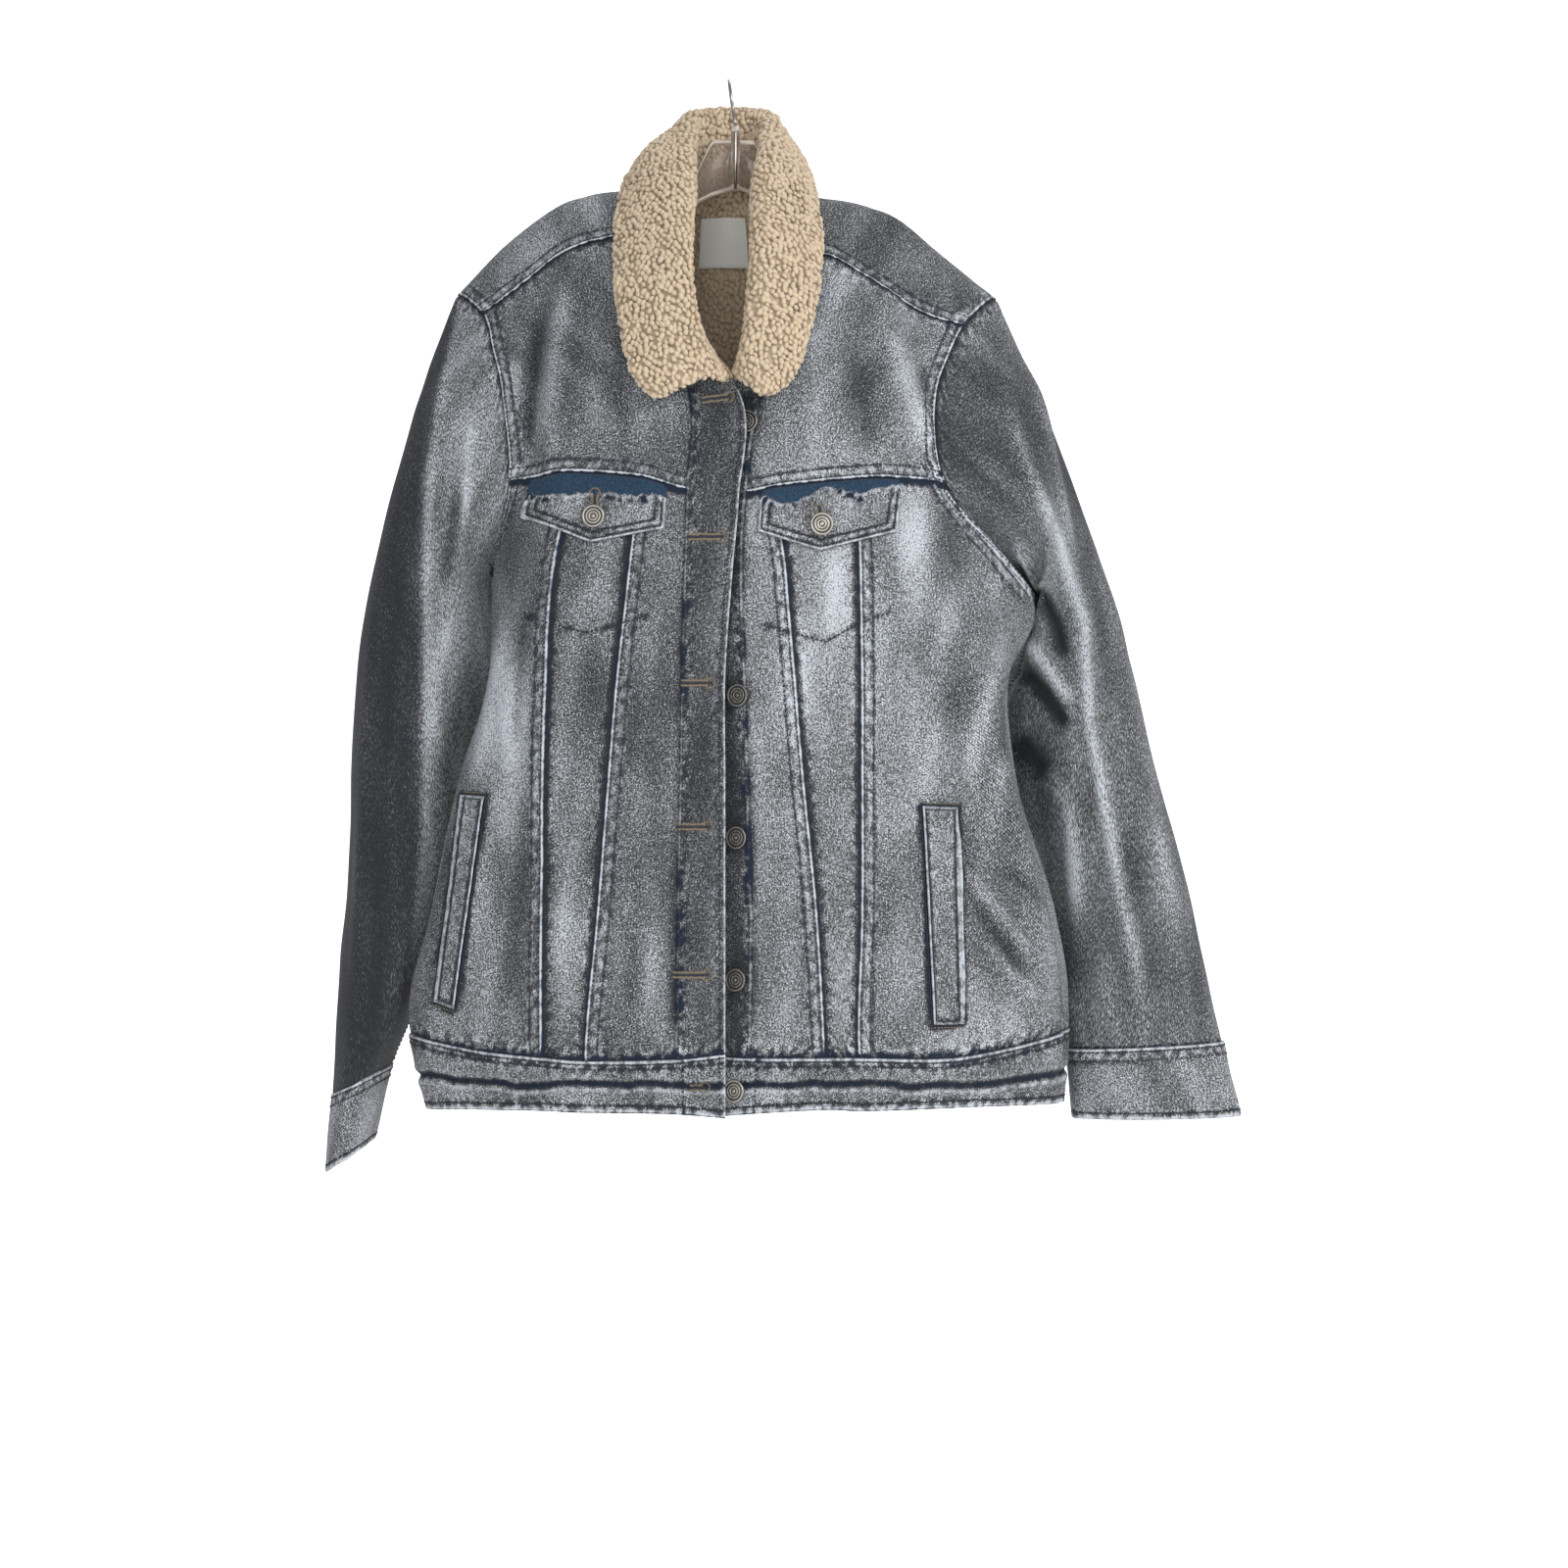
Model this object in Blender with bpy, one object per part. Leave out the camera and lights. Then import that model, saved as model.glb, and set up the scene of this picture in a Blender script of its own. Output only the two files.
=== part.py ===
"""A women's sherpa lined denim trucker jacket that hangs on a clear plastic hanger.

Tables are in millimetres, the scene is in metres, +Z is up and the fronts face -Y.
The origin is the inside of the hook's crook at its top, where a rod would carry it.
Right and left are the wearer's, so the right front lies at -X and laps over the left.
"""

import math

import bmesh
import bpy
import numpy as np
from mathutils import Vector
from mathutils.bvhtree import BVHTree

MM = 0.001

# Cloth
WALL = 2.2  # denim with the flattened lining behind it
SEAM = 0.3  # between neighbouring pieces
LAP = 0.7  # between a panel and what lies on it
SEAT = 0.3  # between a button and the cloth it is set in
DOUBLED = 3.2  # placket, cuffs and waistband, folded from two layers
PROUD = 0.8  # how far a doubled band stands out from the panels
FLAP = 1.8
SHERPA = 6.5  # collar pile and backing
LINING = 4.5
UNDERCOLLAR = 1.5
LABEL = 0.8

# Collar
ROLL = 9.5  # radius of the collar where it folds over
COLLAR_SEAM = 1.3  # between the collar's base and the neck edge
COLLAR_LIFT = 1.2  # between the undercollar and the fronts

# Buttons
BUTTON_RADIUS = 8.5
BUTTON_HEIGHT = 3.4
SHANK_RADIUS = 3.0
BUTTON_SIDES = 14

# Hanger
WIRE = 3.0
CROOK = 15.0  # inside radius of the hook
ARM_HALF = 4.0
WEB_HALF = 1.6
ARM_DEPTH = 17.0

SIDE_SPACING = 40.0  # from a side seam to the nearest column of the front and of the back

# Levels of the body, from the shoulder fold to the hem. Each cell is (x, y, z).
FRONT_COLUMNS = ("front edge", "placket", "inner seam", "outer seam", "flank", "side")
FRONT_RIGHT = (
    ("shoulder", (-63, 0, -81), (-72, 0, -81), (-89, 0, -84), (-126, 0, -92), (-166, 0, -120), (-206, 0, -161)),
    ("yoke seam", (-56, -30, -122), (-67, -32, -123), (-89, -35, -123), (-121, -35, -133), (-153, -32, -156),
     (-184, -25, -179)),
    ("collarbone", (-39, -55, -179), (-55, -55, -179), (-82, -55, -181), (-120, -52, -183), (-148, -45, -192),
     (-176, -35, -206)),
    ("collar point", (10, -77, -247), (-28, -70, -245), (-71, -68, -243), (-118, -60, -242), (-142, -50, -242),
     (-168, -38, -242)),
    ("chest seam", (8, -83, -320), (-30, -78, -314), (-67, -76, -304), (-116, -66, -300), (-142, -54, -303),
     (-163, -40, -305)),
    ("underarm", (3, -85, -379), (-32, -82, -379), (-74, -80, -379), (-129, -70, -379), (-155, -50, -377),
     (-178, -5, -373)),
    ("pocket", (-2, -86, -451), (-34, -84, -451), (-82, -83, -451), (-133, -74, -451), (-158, -58, -450),
     (-180, -20, -451)),
    ("waist", (-2, -87, -523), (-35, -86, -523), (-88, -85, -523), (-135, -79, -523), (-169, -60, -523),
     (-200, -28, -521)),
    ("hip", (-2, -87, -623), (-37, -87, -623), (-96, -86, -623), (-136, -82, -623), (-181, -62, -624),
     (-222, -28, -625)),
    ("band seam", (-2, -87, -727), (-38, -87, -731), (-105, -86, -732), (-136, -83, -730), (-186, -64, -726),
     (-237, -25, -717)),
    ("band fold", (-2, -82, -751), (-38, -81, -751), (-105, -80, -751), (-136, -77, -750), (-186, -58, -750),
     (-231, -23, -747)),
    ("hem", (-2, -86, -774), (-38, -86, -771), (-105, -85, -770), (-136, -81, -769), (-186, -60, -770),
     (-225, -22, -772)),
)
FRONT_LEFT = (
    ("shoulder", (56, 0, -86), (64, 0, -87), (81, 0, -90), (120, 0, -100), (159, 0, -130), (201, 0, -164)),
    ("yoke seam", (49, -35, -137), (60, -36, -137), (77, -38, -138), (110, -40, -158), (139, -38, -177),
     (174, -32, -189)),
    ("collarbone", (33, -55, -182), (45, -55, -184), (71, -55, -186), (113, -55, -193), (139, -50, -200),
     (162, -42, -214)),
    ("collar point", (-8, -60, -246), (22, -67, -249), (62, -70, -250), (108, -65, -250), (131, -58, -248),
     (153, -50, -247)),
    ("chest seam", (-10, -65, -317), (13, -76, -316), (39, -77, -311), (96, -72, -305), (131, -64, -305),
     (159, -52, -308)),
    ("underarm", (-11, -68, -379), (10, -80, -379), (43, -80, -379), (96, -78, -379), (156, -66, -383),
     (228, -8, -394)),
    ("pocket", (-11, -70, -451), (12, -84, -451), (49, -83, -451), (97, -80, -451), (152, -66, -451),
     (205, -36, -450)),
    ("waist", (-10, -72, -523), (14, -85, -523), (55, -85, -523), (97, -82, -523), (156, -68, -523),
     (211, -38, -523)),
    ("hip", (-9, -73, -623), (17, -86, -623), (65, -86, -623), (97, -84, -623), (162, -72, -623),
     (238, -30, -625)),
    ("band seam", (-7, -73, -730), (16, -86, -730), (71, -86, -730), (95, -85, -730), (168, -70, -731),
     (248, -24, -715)),
    ("band fold", (-8, -68, -753), (16, -80, -752), (72, -80, -751), (97, -79, -751), (168, -65, -751),
     (246, -22, -746)),
    ("hem", (-8, -71, -774), (16, -84, -771), (71, -84, -768), (98, -83, -769), (168, -68, -768),
     (245, -20, -768)),
)
BACK_COLUMNS = ("right side", "right flank", "right seam", "centre", "left seam", "left flank", "left side")
BACK = (
    ("shoulder", (-206, 0, -161), (-126, 0, -92), (-63, 0, -81), (-3, 48, -90), (56, 0, -86), (120, 0, -100),
     (201, 0, -164)),
    ("blade top", (-192, 22, -182), (-138, 33, -140), (-75, 36, -118), (-3, 58, -125), (68, 36, -122),
     (135, 33, -148), (186, 26, -188)),
    ("blade", (-182, 36, -212), (-145, 50, -195), (-90, 58, -178), (-2, 66, -175), (84, 58, -180),
     (140, 50, -200), (172, 40, -218)),
    ("back yoke seam", (-178, 42, -248), (-148, 56, -248), (-100, 66, -244), (-1, 70, -242), (98, 66, -246),
     (142, 56, -250), (166, 46, -252)),
    ("chest", (-178, 40, -310), (-152, 56, -308), (-102, 70, -305), (0, 75, -303), (102, 70, -307),
     (150, 58, -312), (174, 42, -318)),
    ("underarm", (-178, -5, -373), (-152, 44, -375), (-103, 68, -378), (0, 74, -379), (103, 68, -379),
     (170, 48, -385), (228, -8, -394)),
    ("pocket", (-180, -20, -451), (-152, 36, -451), (-104, 64, -451), (1, 71, -451), (106, 64, -451),
     (165, 40, -451), (205, -36, -450)),
    ("waist", (-200, -28, -521), (-164, 32, -523), (-105, 62, -523), (2, 69, -523), (108, 63, -523),
     (170, 36, -523), (211, -38, -523)),
    ("hip", (-222, -28, -625), (-182, 32, -625), (-108, 64, -624), (4, 71, -623), (112, 65, -624),
     (190, 36, -625), (238, -30, -625)),
    ("band seam", (-237, -25, -717), (-194, 34, -724), (-110, 66, -728), (5, 73, -729), (115, 66, -728),
     (200, 38, -722), (248, -24, -715)),
    ("band fold", (-231, -23, -747), (-191, 31, -750), (-110, 61, -751), (5, 67, -752), (115, 61, -751),
     (198, 34, -749), (246, -22, -746)),
    ("hem", (-225, -22, -772), (-188, 33, -771), (-110, 64, -771), (5, 71, -771), (115, 64, -770),
     (196, 36, -769), (245, -20, -768)),
)
LEVELS = tuple(row[0] for row in FRONT_RIGHT)
YOKE_SEAM = LEVELS.index("yoke seam")
COLLAR_POINT = LEVELS.index("collar point")
CHEST_SEAM = LEVELS.index("chest seam")
UNDERARM = LEVELS.index("underarm")
BAND_SEAM = LEVELS.index("band seam")
HEM = LEVELS.index("hem")
WRAPPED_FROM = UNDERARM  # the front runs on into the back from here down

LEVEL_STEPS = (3, 2, 2, 2, 2, 2, 2, 3, 2, 1, 1)
FRONT_STEPS = (2, 2, 2, 2, 3)
BACK_STEPS = (5, 6, 4, 4, 6, 5)

# Sleeve sections: outer edge, inner edge, half depth, and how far the front crease leans along X.
RIGHT_SLEEVE = (
    ("armhole", (-206, 0, -161), (-178, -5, -373), 40, 0),
    ("cap", (-227, 8, -214), (-180, 10, -384), 46, -5),
    ("upper arm", (-253, 15, -299), (-178, 28, -411), 54, -9),
    ("upper elbow", (-274, 20, -388), (-180, 36, -455), 62, -8),
    ("elbow", (-286, 24, -485), (-194, 40, -515), 66, -4),
    ("lower elbow", (-291, 26, -590), (-207, 42, -590), 66, 0),
    ("forearm", (-298, 24, -679), (-222, 38, -657), 64, 0),
    ("cuff seam", (-301, 20, -765), (-259, 26, -743), 60, 0),
    ("wrist", (-305, 16, -823), (-272, 20, -800), 57, 0),
)
LEFT_SLEEVE = (
    ("armhole", (201, 0, -164), (228, -8, -394), 40, 0),
    ("cap", (222, 5, -211), (239, 8, -404), 44, 1),
    ("upper arm", (250, 12, -277), (219, 25, -446), 50, 4),
    ("upper elbow", (279, 15, -359), (202, 32, -485), 52, 9),
    ("elbow", (305, 15, -448), (208, 34, -530), 52, 8),
    ("lower elbow", (323, 12, -522), (234, 28, -582), 48, 6),
    ("upper forearm", (344, 8, -604), (236, 22, -634), 42, 4),
    ("forearm", (360, 5, -671), (242, 16, -686), 36, 0),
    ("cuff seam", (371, 0, -724), (254, 8, -730), 30, 0),
    ("wrist", (385, 0, -780), (260, 5, -782), 26, 0),
)
SLEEVE_STEPS = 2
CAP_REACH = 2.4  # sections over which a sleeve loses the armhole's shape

# Largest folds: from and to across the front (x, z), half width and height.
FOLDS = (
    ((-118, -150), (-128, -290), 13, 4.0),  # right chest ridge
    ((-140, -175), (-146, -290), 9, -3.5),  # right chest valley
    ((112, -175), (150, -300), 12, 3.5),  # left chest ridge
    ((80, -200), (100, -290), 12, -2.0),
    ((-150, -420), (-176, -560), 12, 3.0),  # drag from the right side
    ((178, -600), (225, -680), 11, 3.5),  # left hip drag
    ((190, -420), (160, -560), 16, 2.5),
)

# Collar stations from the right front end to the left one: place on the neckline, roll, outer edge and
# bulge of the fall.
COLLAR = (
    ("right end", ("right", 2.78), (-12, -90, -232), (-54, -89, -249), 4),
    ("right point", ("right", 2.57), (-19, -89, -214), (-70, -87, -231), 4),
    ("right leaf", ("right", 2.25), (-27, -86, -186), (-78, -78, -203), 4),
    ("right fall", ("right", 1.85), (-31, -80, -149), (-84, -66, -165), 4),
    ("right neck", ("right", 1.25), (-30, -62, -112), (-86, -48, -128), 4),
    ("right shoulder", ("right", 0.65), (-28, -40, -77), (-84, -28, -97), 6),
    ("right crest", ("right", 0.15), (-29, -22, -57), (-79, -5, -75), 9),
    ("right rise", ("back", 2.20), (-30, 0, -37), (-71, 20, -70), 12),
    ("right back", ("back", 2.55), (-29, 29, -18), (-57, 58, -78), 9),
    ("centre back", ("back", 3.00), (-1, 45, -12), (-1, 80, -76), 4),
    ("left back", ("back", 3.45), (28, 29, -18), (50, 60, -78), 6),
    ("left rise", ("back", 3.80), (27, 0, -38), (62, 20, -74), 7),
    ("left crest", ("left", 0.15), (24, -22, -57), (63, -5, -79), 6),
    ("left shoulder", ("left", 0.65), (20, -40, -79), (67, -28, -99), 5),
    ("left neck", ("left", 1.25), (20, -62, -114), (70, -48, -132), 4),
    ("left fall", ("left", 1.85), (19, -78, -153), (66, -66, -169), 4),
    ("left leaf", ("left", 2.28), (16, -83, -187), (57, -76, -208), 4),
    ("left point", ("left", 2.55), (13, -85, -213), (45, -82, -236), 4),
    ("left end", ("left", 2.72), (9, -84, -233), (26, -86, -247), 4),
)
COLLAR_STEPS = 2
STAND_STEPS, ROLL_STEPS, FALL_STEPS = 2, 5, 4

# What lies on the fronts, as (x, z) corners.
FLAPS = (
    ("flap_right", "right", (-148, -317), (-45, -320), (-47, -343), (-101, -353), (-152, -332)),
    ("flap_left", "left", (127, -317), (23, -324), (21, -345), (67, -359), (123, -345)),
)
FLAP_LIFT = 1.6  # extra distance of a flap's lower edge from the pocket
WELTS = (
    ("welt_right", "right", (-198, -538), (-180, -539), (-202, -696), (-217, -691), 0.0),
    ("welt_left", "left", (142, -546), (168, -547), (172, -706), (150, -706), 3.0),
)
LABEL_BOX = ((-27, -93), (16, -131))

FLAP_BUTTONS = (("button_flap_right", "right", -98, -334), ("button_flap_left", "left", 68, -340))
FRONT_BUTTON_HEIGHTS = (-264, -365, -465, -569, -673, -755)
FRONT_BUTTON_X = (14, -3, 8, 7, 7, 6)

# Hanger plate between the arms: x, top, bottom, half thickness.
PLATE = (
    (-62, -95, -109, 3.5),
    (-44, -93, -105, 3.5),
    (-33, -84, -98, 3.0),
    (-27, -72, -93, 2.4),
    (-21, -58, -90, 2.2),
    (-15, -46, -87, 2.2),
    (-12, -43, -86, 2.2),
    (0.5, -43, -82, 2.2),
    (1, -33, -81.8, 3.2),
    (7, -33, -81.6, 3.2),
    (7.5, -43.5, -81.7, 2.2),
    (18, -44, -86, 2.2),
    (20, -47, -87, 2.2),
    (22, -58, -90, 2.2),
    (25, -74, -93, 2.4),
    (34, -88, -100, 3.0),
    (46, -96, -108, 3.5),
    (56, -100, -113, 3.5),
)
ARM_END_RIGHT = -172
ARM_END_LEFT = 168

COLOURS = {
    "denim": ((0.30, 0.34, 0.41, 1.0), 0.90, 0.0),
    "denim_dark": ((0.20, 0.25, 0.33, 1.0), 0.90, 0.0),
    "sherpa": ((0.72, 0.58, 0.42, 1.0), 0.95, 0.0),
    "label": ((0.62, 0.65, 0.62, 1.0), 0.60, 0.0),
    "button": ((0.45, 0.44, 0.42, 1.0), 0.35, 1.0),
    "clear_plastic": ((0.55, 0.50, 0.46, 1.0), 0.15, 0.0),
    "steel": ((0.55, 0.55, 0.56, 1.0), 0.25, 1.0),
}


def clear_scene():
    """Remove every object, so that only this model is left."""
    for old in list(bpy.data.objects):
        bpy.data.objects.remove(old, do_unlink=True)


def material(name):
    """The Principled material of that name, made once."""
    found = bpy.data.materials.get(name)
    if found:
        return found
    colour, roughness, metallic = COLOURS[name]
    made = bpy.data.materials.new(name)
    made.use_nodes = True
    shader = made.node_tree.nodes["Principled BSDF"]
    shader.inputs["Base Color"].default_value = colour
    shader.inputs["Roughness"].default_value = roughness
    shader.inputs["Metallic"].default_value = metallic
    made.diffuse_color = colour
    return made


def unit(vectors):
    """The vectors at length one, along the last axis."""
    return vectors / np.maximum(np.linalg.norm(vectors, axis=-1, keepdims=True), 1e-9)


def cardinal(knots, at):
    """Weights that each knot has in the smooth curve at the places given, and in its slope.

    The curve is a cubic between knots whose slope at a knot is that of the parabola through
    it and its neighbours, so unevenly spaced sections do not overshoot.
    """
    knots = np.asarray(knots, float)
    count = len(knots)
    slopes = np.zeros((count, count))
    for i in range(count):
        low, high = max(i - 1, 0), min(i + 1, count - 1)
        if i in (0, count - 1):
            step = knots[high] - knots[low]
            slopes[i, low] -= 1 / step
            slopes[i, high] += 1 / step
            continue
        before, after = knots[i] - knots[i - 1], knots[i + 1] - knots[i]
        total = before + after
        slopes[i, i + 1] += before / after / total
        slopes[i, i] += (after / before - before / after) / total
        slopes[i, i - 1] -= after / before / total
    at = np.asarray(at, float)
    cell = np.clip(np.searchsorted(knots, at, side="right") - 1, 0, count - 2)
    step = knots[cell + 1] - knots[cell]
    s = (at - knots[cell]) / step
    eye = np.eye(count)
    value = (
        (2 * s**3 - 3 * s**2 + 1)[:, None] * eye[cell]
        + (s**3 - 2 * s**2 + s)[:, None] * step[:, None] * slopes[cell]
        + (3 * s**2 - 2 * s**3)[:, None] * eye[cell + 1]
        + (s**3 - s**2)[:, None] * step[:, None] * slopes[cell + 1]
    )
    slope = (
        ((6 * s**2 - 6 * s) / step)[:, None] * eye[cell]
        + (3 * s**2 - 4 * s + 1)[:, None] * slopes[cell]
        + ((6 * s - 6 * s**2) / step)[:, None] * eye[cell + 1]
        + (3 * s**2 - 2 * s)[:, None] * slopes[cell + 1]
    )
    return value, slope


def spacing(points):
    """Knots whose gaps are the mean distances between neighbours along the second axis."""
    gaps = np.linalg.norm(np.diff(points, axis=1), axis=2).mean(axis=0)
    return np.concatenate([[0.0], np.cumsum(gaps)])


def folded(points, normals):
    """The points moved out or in along their normals by the largest folds."""
    height = np.zeros(points.shape[:-1])
    for (x0, z0), (x1, z1), half_width, rise in FOLDS:
        run = np.array([x1 - x0, z1 - z0], float)
        off = points[..., [0, 2]] - np.array([x0, z0], float)
        along = np.clip((off @ run) / (run @ run), 0, 1)
        away = np.linalg.norm(off - along[..., None] * run, axis=-1)
        height += rise * np.exp(-((away / half_width) ** 2)) * (points[..., 1] < 0)
    return points + normals * height[..., None]


class Surface:
    """A smooth cloth surface through a table of levels and columns, looked up as (column, level)."""

    def __init__(self, rows, outward, over=None, past_first=None, past_last=None):
        table = np.array([row[1:] for row in rows], float)
        self.levels, self.columns = table.shape[:2]
        self.outward = outward
        wide = [2 * table[:, 0] - table[:, 1], *np.moveaxis(table, 1, 0), 2 * table[:, -1] - table[:, -2]]
        if past_first is not None:
            wide[0][WRAPPED_FROM:] = past_first[WRAPPED_FROM:]
        if past_last is not None:
            wide[-1][WRAPPED_FROM:] = past_last[WRAPPED_FROM:]
        wide = np.stack(wide, axis=1)
        above = 2 * wide[0] - wide[1]
        if over is not None:
            above[1:-1] = over
        below = 2 * wide[-1] - wide[-2]
        self.points = np.concatenate([above[None], wide, below[None]])
        across = spacing(self.points[1:-1, 1:-1])
        self.across = np.concatenate([[-SIDE_SPACING], across, [across[-1] + SIDE_SPACING]])
        down = spacing(np.moveaxis(self.points, 0, 1)[1:-1])
        self.down = down - down[1]

    def evaluate(self, column, level):
        """Points and outward normals on the grid of the column and level values given."""
        knots_u = np.interp(column, np.arange(-1, self.columns + 1), self.across)
        knots_v = np.interp(level, np.arange(-1, self.levels + 1), self.down)
        u, du = cardinal(self.across, knots_u)
        v, dv = cardinal(self.down, knots_v)
        points = np.einsum("vi,ijk,uj->vuk", v, self.points, u)
        along_u = np.einsum("vi,ijk,uj->vuk", v, self.points, du)
        along_v = np.einsum("vi,ijk,uj->vuk", dv, self.points, u)
        normals = unit(np.cross(along_u, along_v)) * self.outward
        return folded(points, normals), normals

    def place(self, x, z):
        """The column and level whose point has the x and z given."""
        at = np.array([self.columns / 2, self.levels / 2])
        columns = np.linspace(0, self.columns - 1, 41)
        levels = np.linspace(0, self.levels - 1, 81)
        points, _ = self.evaluate(columns, levels)
        miss = (points[..., 0] - x) ** 2 + (points[..., 2] - z) ** 2
        row, col = np.unravel_index(np.argmin(miss), miss.shape)
        at = np.array([columns[col], levels[row]])
        step = 1e-3
        for _ in range(12):
            around, _ = self.evaluate([at[0], at[0] + step], [at[1], at[1] + step])
            here = around[0, 0, [0, 2]]
            grad = np.stack([around[0, 1, [0, 2]] - here, around[1, 0, [0, 2]] - here], axis=1) / step
            at = at + np.linalg.solve(grad, np.array([x, z]) - here)
            at[0] = np.clip(at[0], 0, self.columns - 1)
            at[1] = np.clip(at[1], 0, self.levels - 1)
        return at

    def at(self, x, z):
        """The point and normal of the surface behind (x, z)."""
        column, level = self.place(x, z)
        points, normals = self.evaluate([column], [level])
        return points[0, 0], normals[0, 0]


def steps_between(counts):
    """Evenly divided values from 0 up, with counts[i] steps between i and i + 1."""
    values = [0.0]
    for index, count in enumerate(counts):
        values += [index + (k + 1) / count for k in range(count)]
    return np.array(values)


class Grid:
    """Sampled points and normals of a surface, with the sample at which each column and level lies."""

    def __init__(self, points, normals, column_steps, level_steps, flip):
        self.points, self.normals, self.flip = points, normals, flip
        self.column_at = np.concatenate([[0], np.cumsum(column_steps)]).astype(int)
        self.level_at = np.concatenate([[0], np.cumsum(level_steps)]).astype(int)

    def cells(self, columns, levels):
        """The quads between two columns and two levels, as corner samples (row, column)."""
        found = []
        for row in range(self.level_at[levels[0]], self.level_at[levels[1]]):
            for col in range(self.column_at[columns[0]], self.column_at[columns[1]]):
                quad = [(row, col), (row, col + 1), (row + 1, col + 1), (row + 1, col)]
                found.append(quad[::-1] if self.flip else quad)
        return found


class Cloth:
    """An open sheet of quads that becomes a closed wall: outer points, outward normals and faces."""

    def __init__(self):
        self.points, self.normals, self.faces = [], [], []
        self.index = {}

    def vertex(self, point, normal):
        """The sheet's vertex at that point, shared by pieces of the sheet that meet there."""
        key = tuple(np.round(point, 3))
        if key not in self.index:
            self.index[key] = len(self.points)
            self.points.append(np.array(point, float))
            self.normals.append(np.zeros(3))
        found = self.index[key]
        self.normals[found] = self.normals[found] + normal
        return found

    def add(self, grid, quads):
        """Take the given quads of a grid into the sheet."""
        for quad in quads:
            self.faces.append([self.vertex(grid.points[row, col], grid.normals[row, col]) for row, col in quad])
        return self

    def border(self):
        """Directed edges that only one face uses."""
        edges = {}
        for face in self.faces:
            for a, b in zip(face, face[1:] + face[:1]):
                edges[(a, b)] = True
        return [edge for edge in edges if (edge[1], edge[0]) not in edges]

    def draw_in(self, distance):
        """Pull the sheet's border back along the cloth, which opens the seams around it."""
        points = np.array(self.points)
        normals = unit(np.array(self.normals))
        pulls = {}
        for a, b in self.border():
            inward = unit(np.cross(normals[a] + normals[b], points[b] - points[a]))
            for corner in (a, b):
                pulls.setdefault(corner, []).append(inward)
        for corner, ways in pulls.items():
            mean = unit(np.sum(ways, axis=0))
            reach = max(float(mean @ ways[0]), 0.5)
            points[corner] = points[corner] + mean * distance / reach
        self.points = list(points)
        return self

    def solid(self, name, finish, thickness, out=0.0):
        """Close the sheet into a wall of that thickness whose outer side stands out by a distance."""
        points = np.array(self.points)
        normals = unit(np.array(self.normals))
        outer = points + normals * out
        inner = outer - normals * thickness
        return walled(name, finish, outer, inner, self.faces, self.border())


def walled(name, finish, outer, inner, faces, border):
    """A closed solid between an outer and an inner copy of a sheet."""
    count = len(outer)
    mesh = bmesh.new()
    corners = [mesh.verts.new(Vector(p) * MM) for p in (*outer, *inner)]
    for a, b, c, d in faces:
        for one, two, three in ((a, b, c), (a, c, d)):
            mesh.faces.new([corners[one], corners[two], corners[three]])
            mesh.faces.new([corners[three + count], corners[two + count], corners[one + count]])
    for a, b in border:
        # neighbouring pieces split their end faces the same way, so the seam between them stays even
        if tuple(np.round(outer[a], 0)[::-1]) > tuple(np.round(outer[b], 0)[::-1]):
            mesh.faces.new([corners[b], corners[a], corners[b + count]])
            mesh.faces.new([corners[a], corners[a + count], corners[b + count]])
        else:
            mesh.faces.new([corners[b], corners[a], corners[a + count]])
            mesh.faces.new([corners[b], corners[a + count], corners[b + count]])
    return finished(name, finish, mesh)


def finished(name, finish, mesh, smooth_deg=40):
    """Turn a bmesh into a named object with its material, as triangles."""
    bmesh.ops.triangulate(mesh, faces=mesh.faces)
    data = bpy.data.meshes.new(name)
    mesh.to_mesh(data)
    mesh.free()
    data.shade_smooth()
    data.set_sharp_from_angle(angle=math.radians(smooth_deg))
    data.materials.append(material(finish))
    made = bpy.data.objects.new(name, data)
    bpy.context.scene.collection.objects.link(made)
    return made


def body_surfaces():
    """The right front, the left front and the back, which share their side and shoulder lines."""
    right = np.array([row[1:] for row in FRONT_RIGHT], float)
    left = np.array([row[1:] for row in FRONT_LEFT], float)
    back = np.array([row[1:] for row in BACK], float)
    over_right = np.stack([back[1, 2], back[1, 2], back[1, 2], back[1, 1], back[1, 1], back[1, 0]])
    over_left = np.stack([back[1, 4], back[1, 4], back[1, 4], back[1, 5], back[1, 5], back[1, 6]])
    over_right[:, 0] = right[0, :, 0]
    over_left[:, 0] = left[0, :, 0]
    under_neck = 2 * back[0, 3] - back[1, 3]
    over_back = np.stack([right[1, 5], right[1, 3], right[1, 0], under_neck, left[1, 0], left[1, 3], left[1, 5]])
    over_back[:, 0] = back[0, :, 0]
    return {
        "right": Surface(FRONT_RIGHT, 1, over_right, past_last=back[:, 1]),
        "left": Surface(FRONT_LEFT, -1, over_left, past_last=back[:, -2]),
        "back": Surface(BACK, 1, over_back, past_first=right[:, -2], past_last=left[:, -2]),
    }


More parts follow.
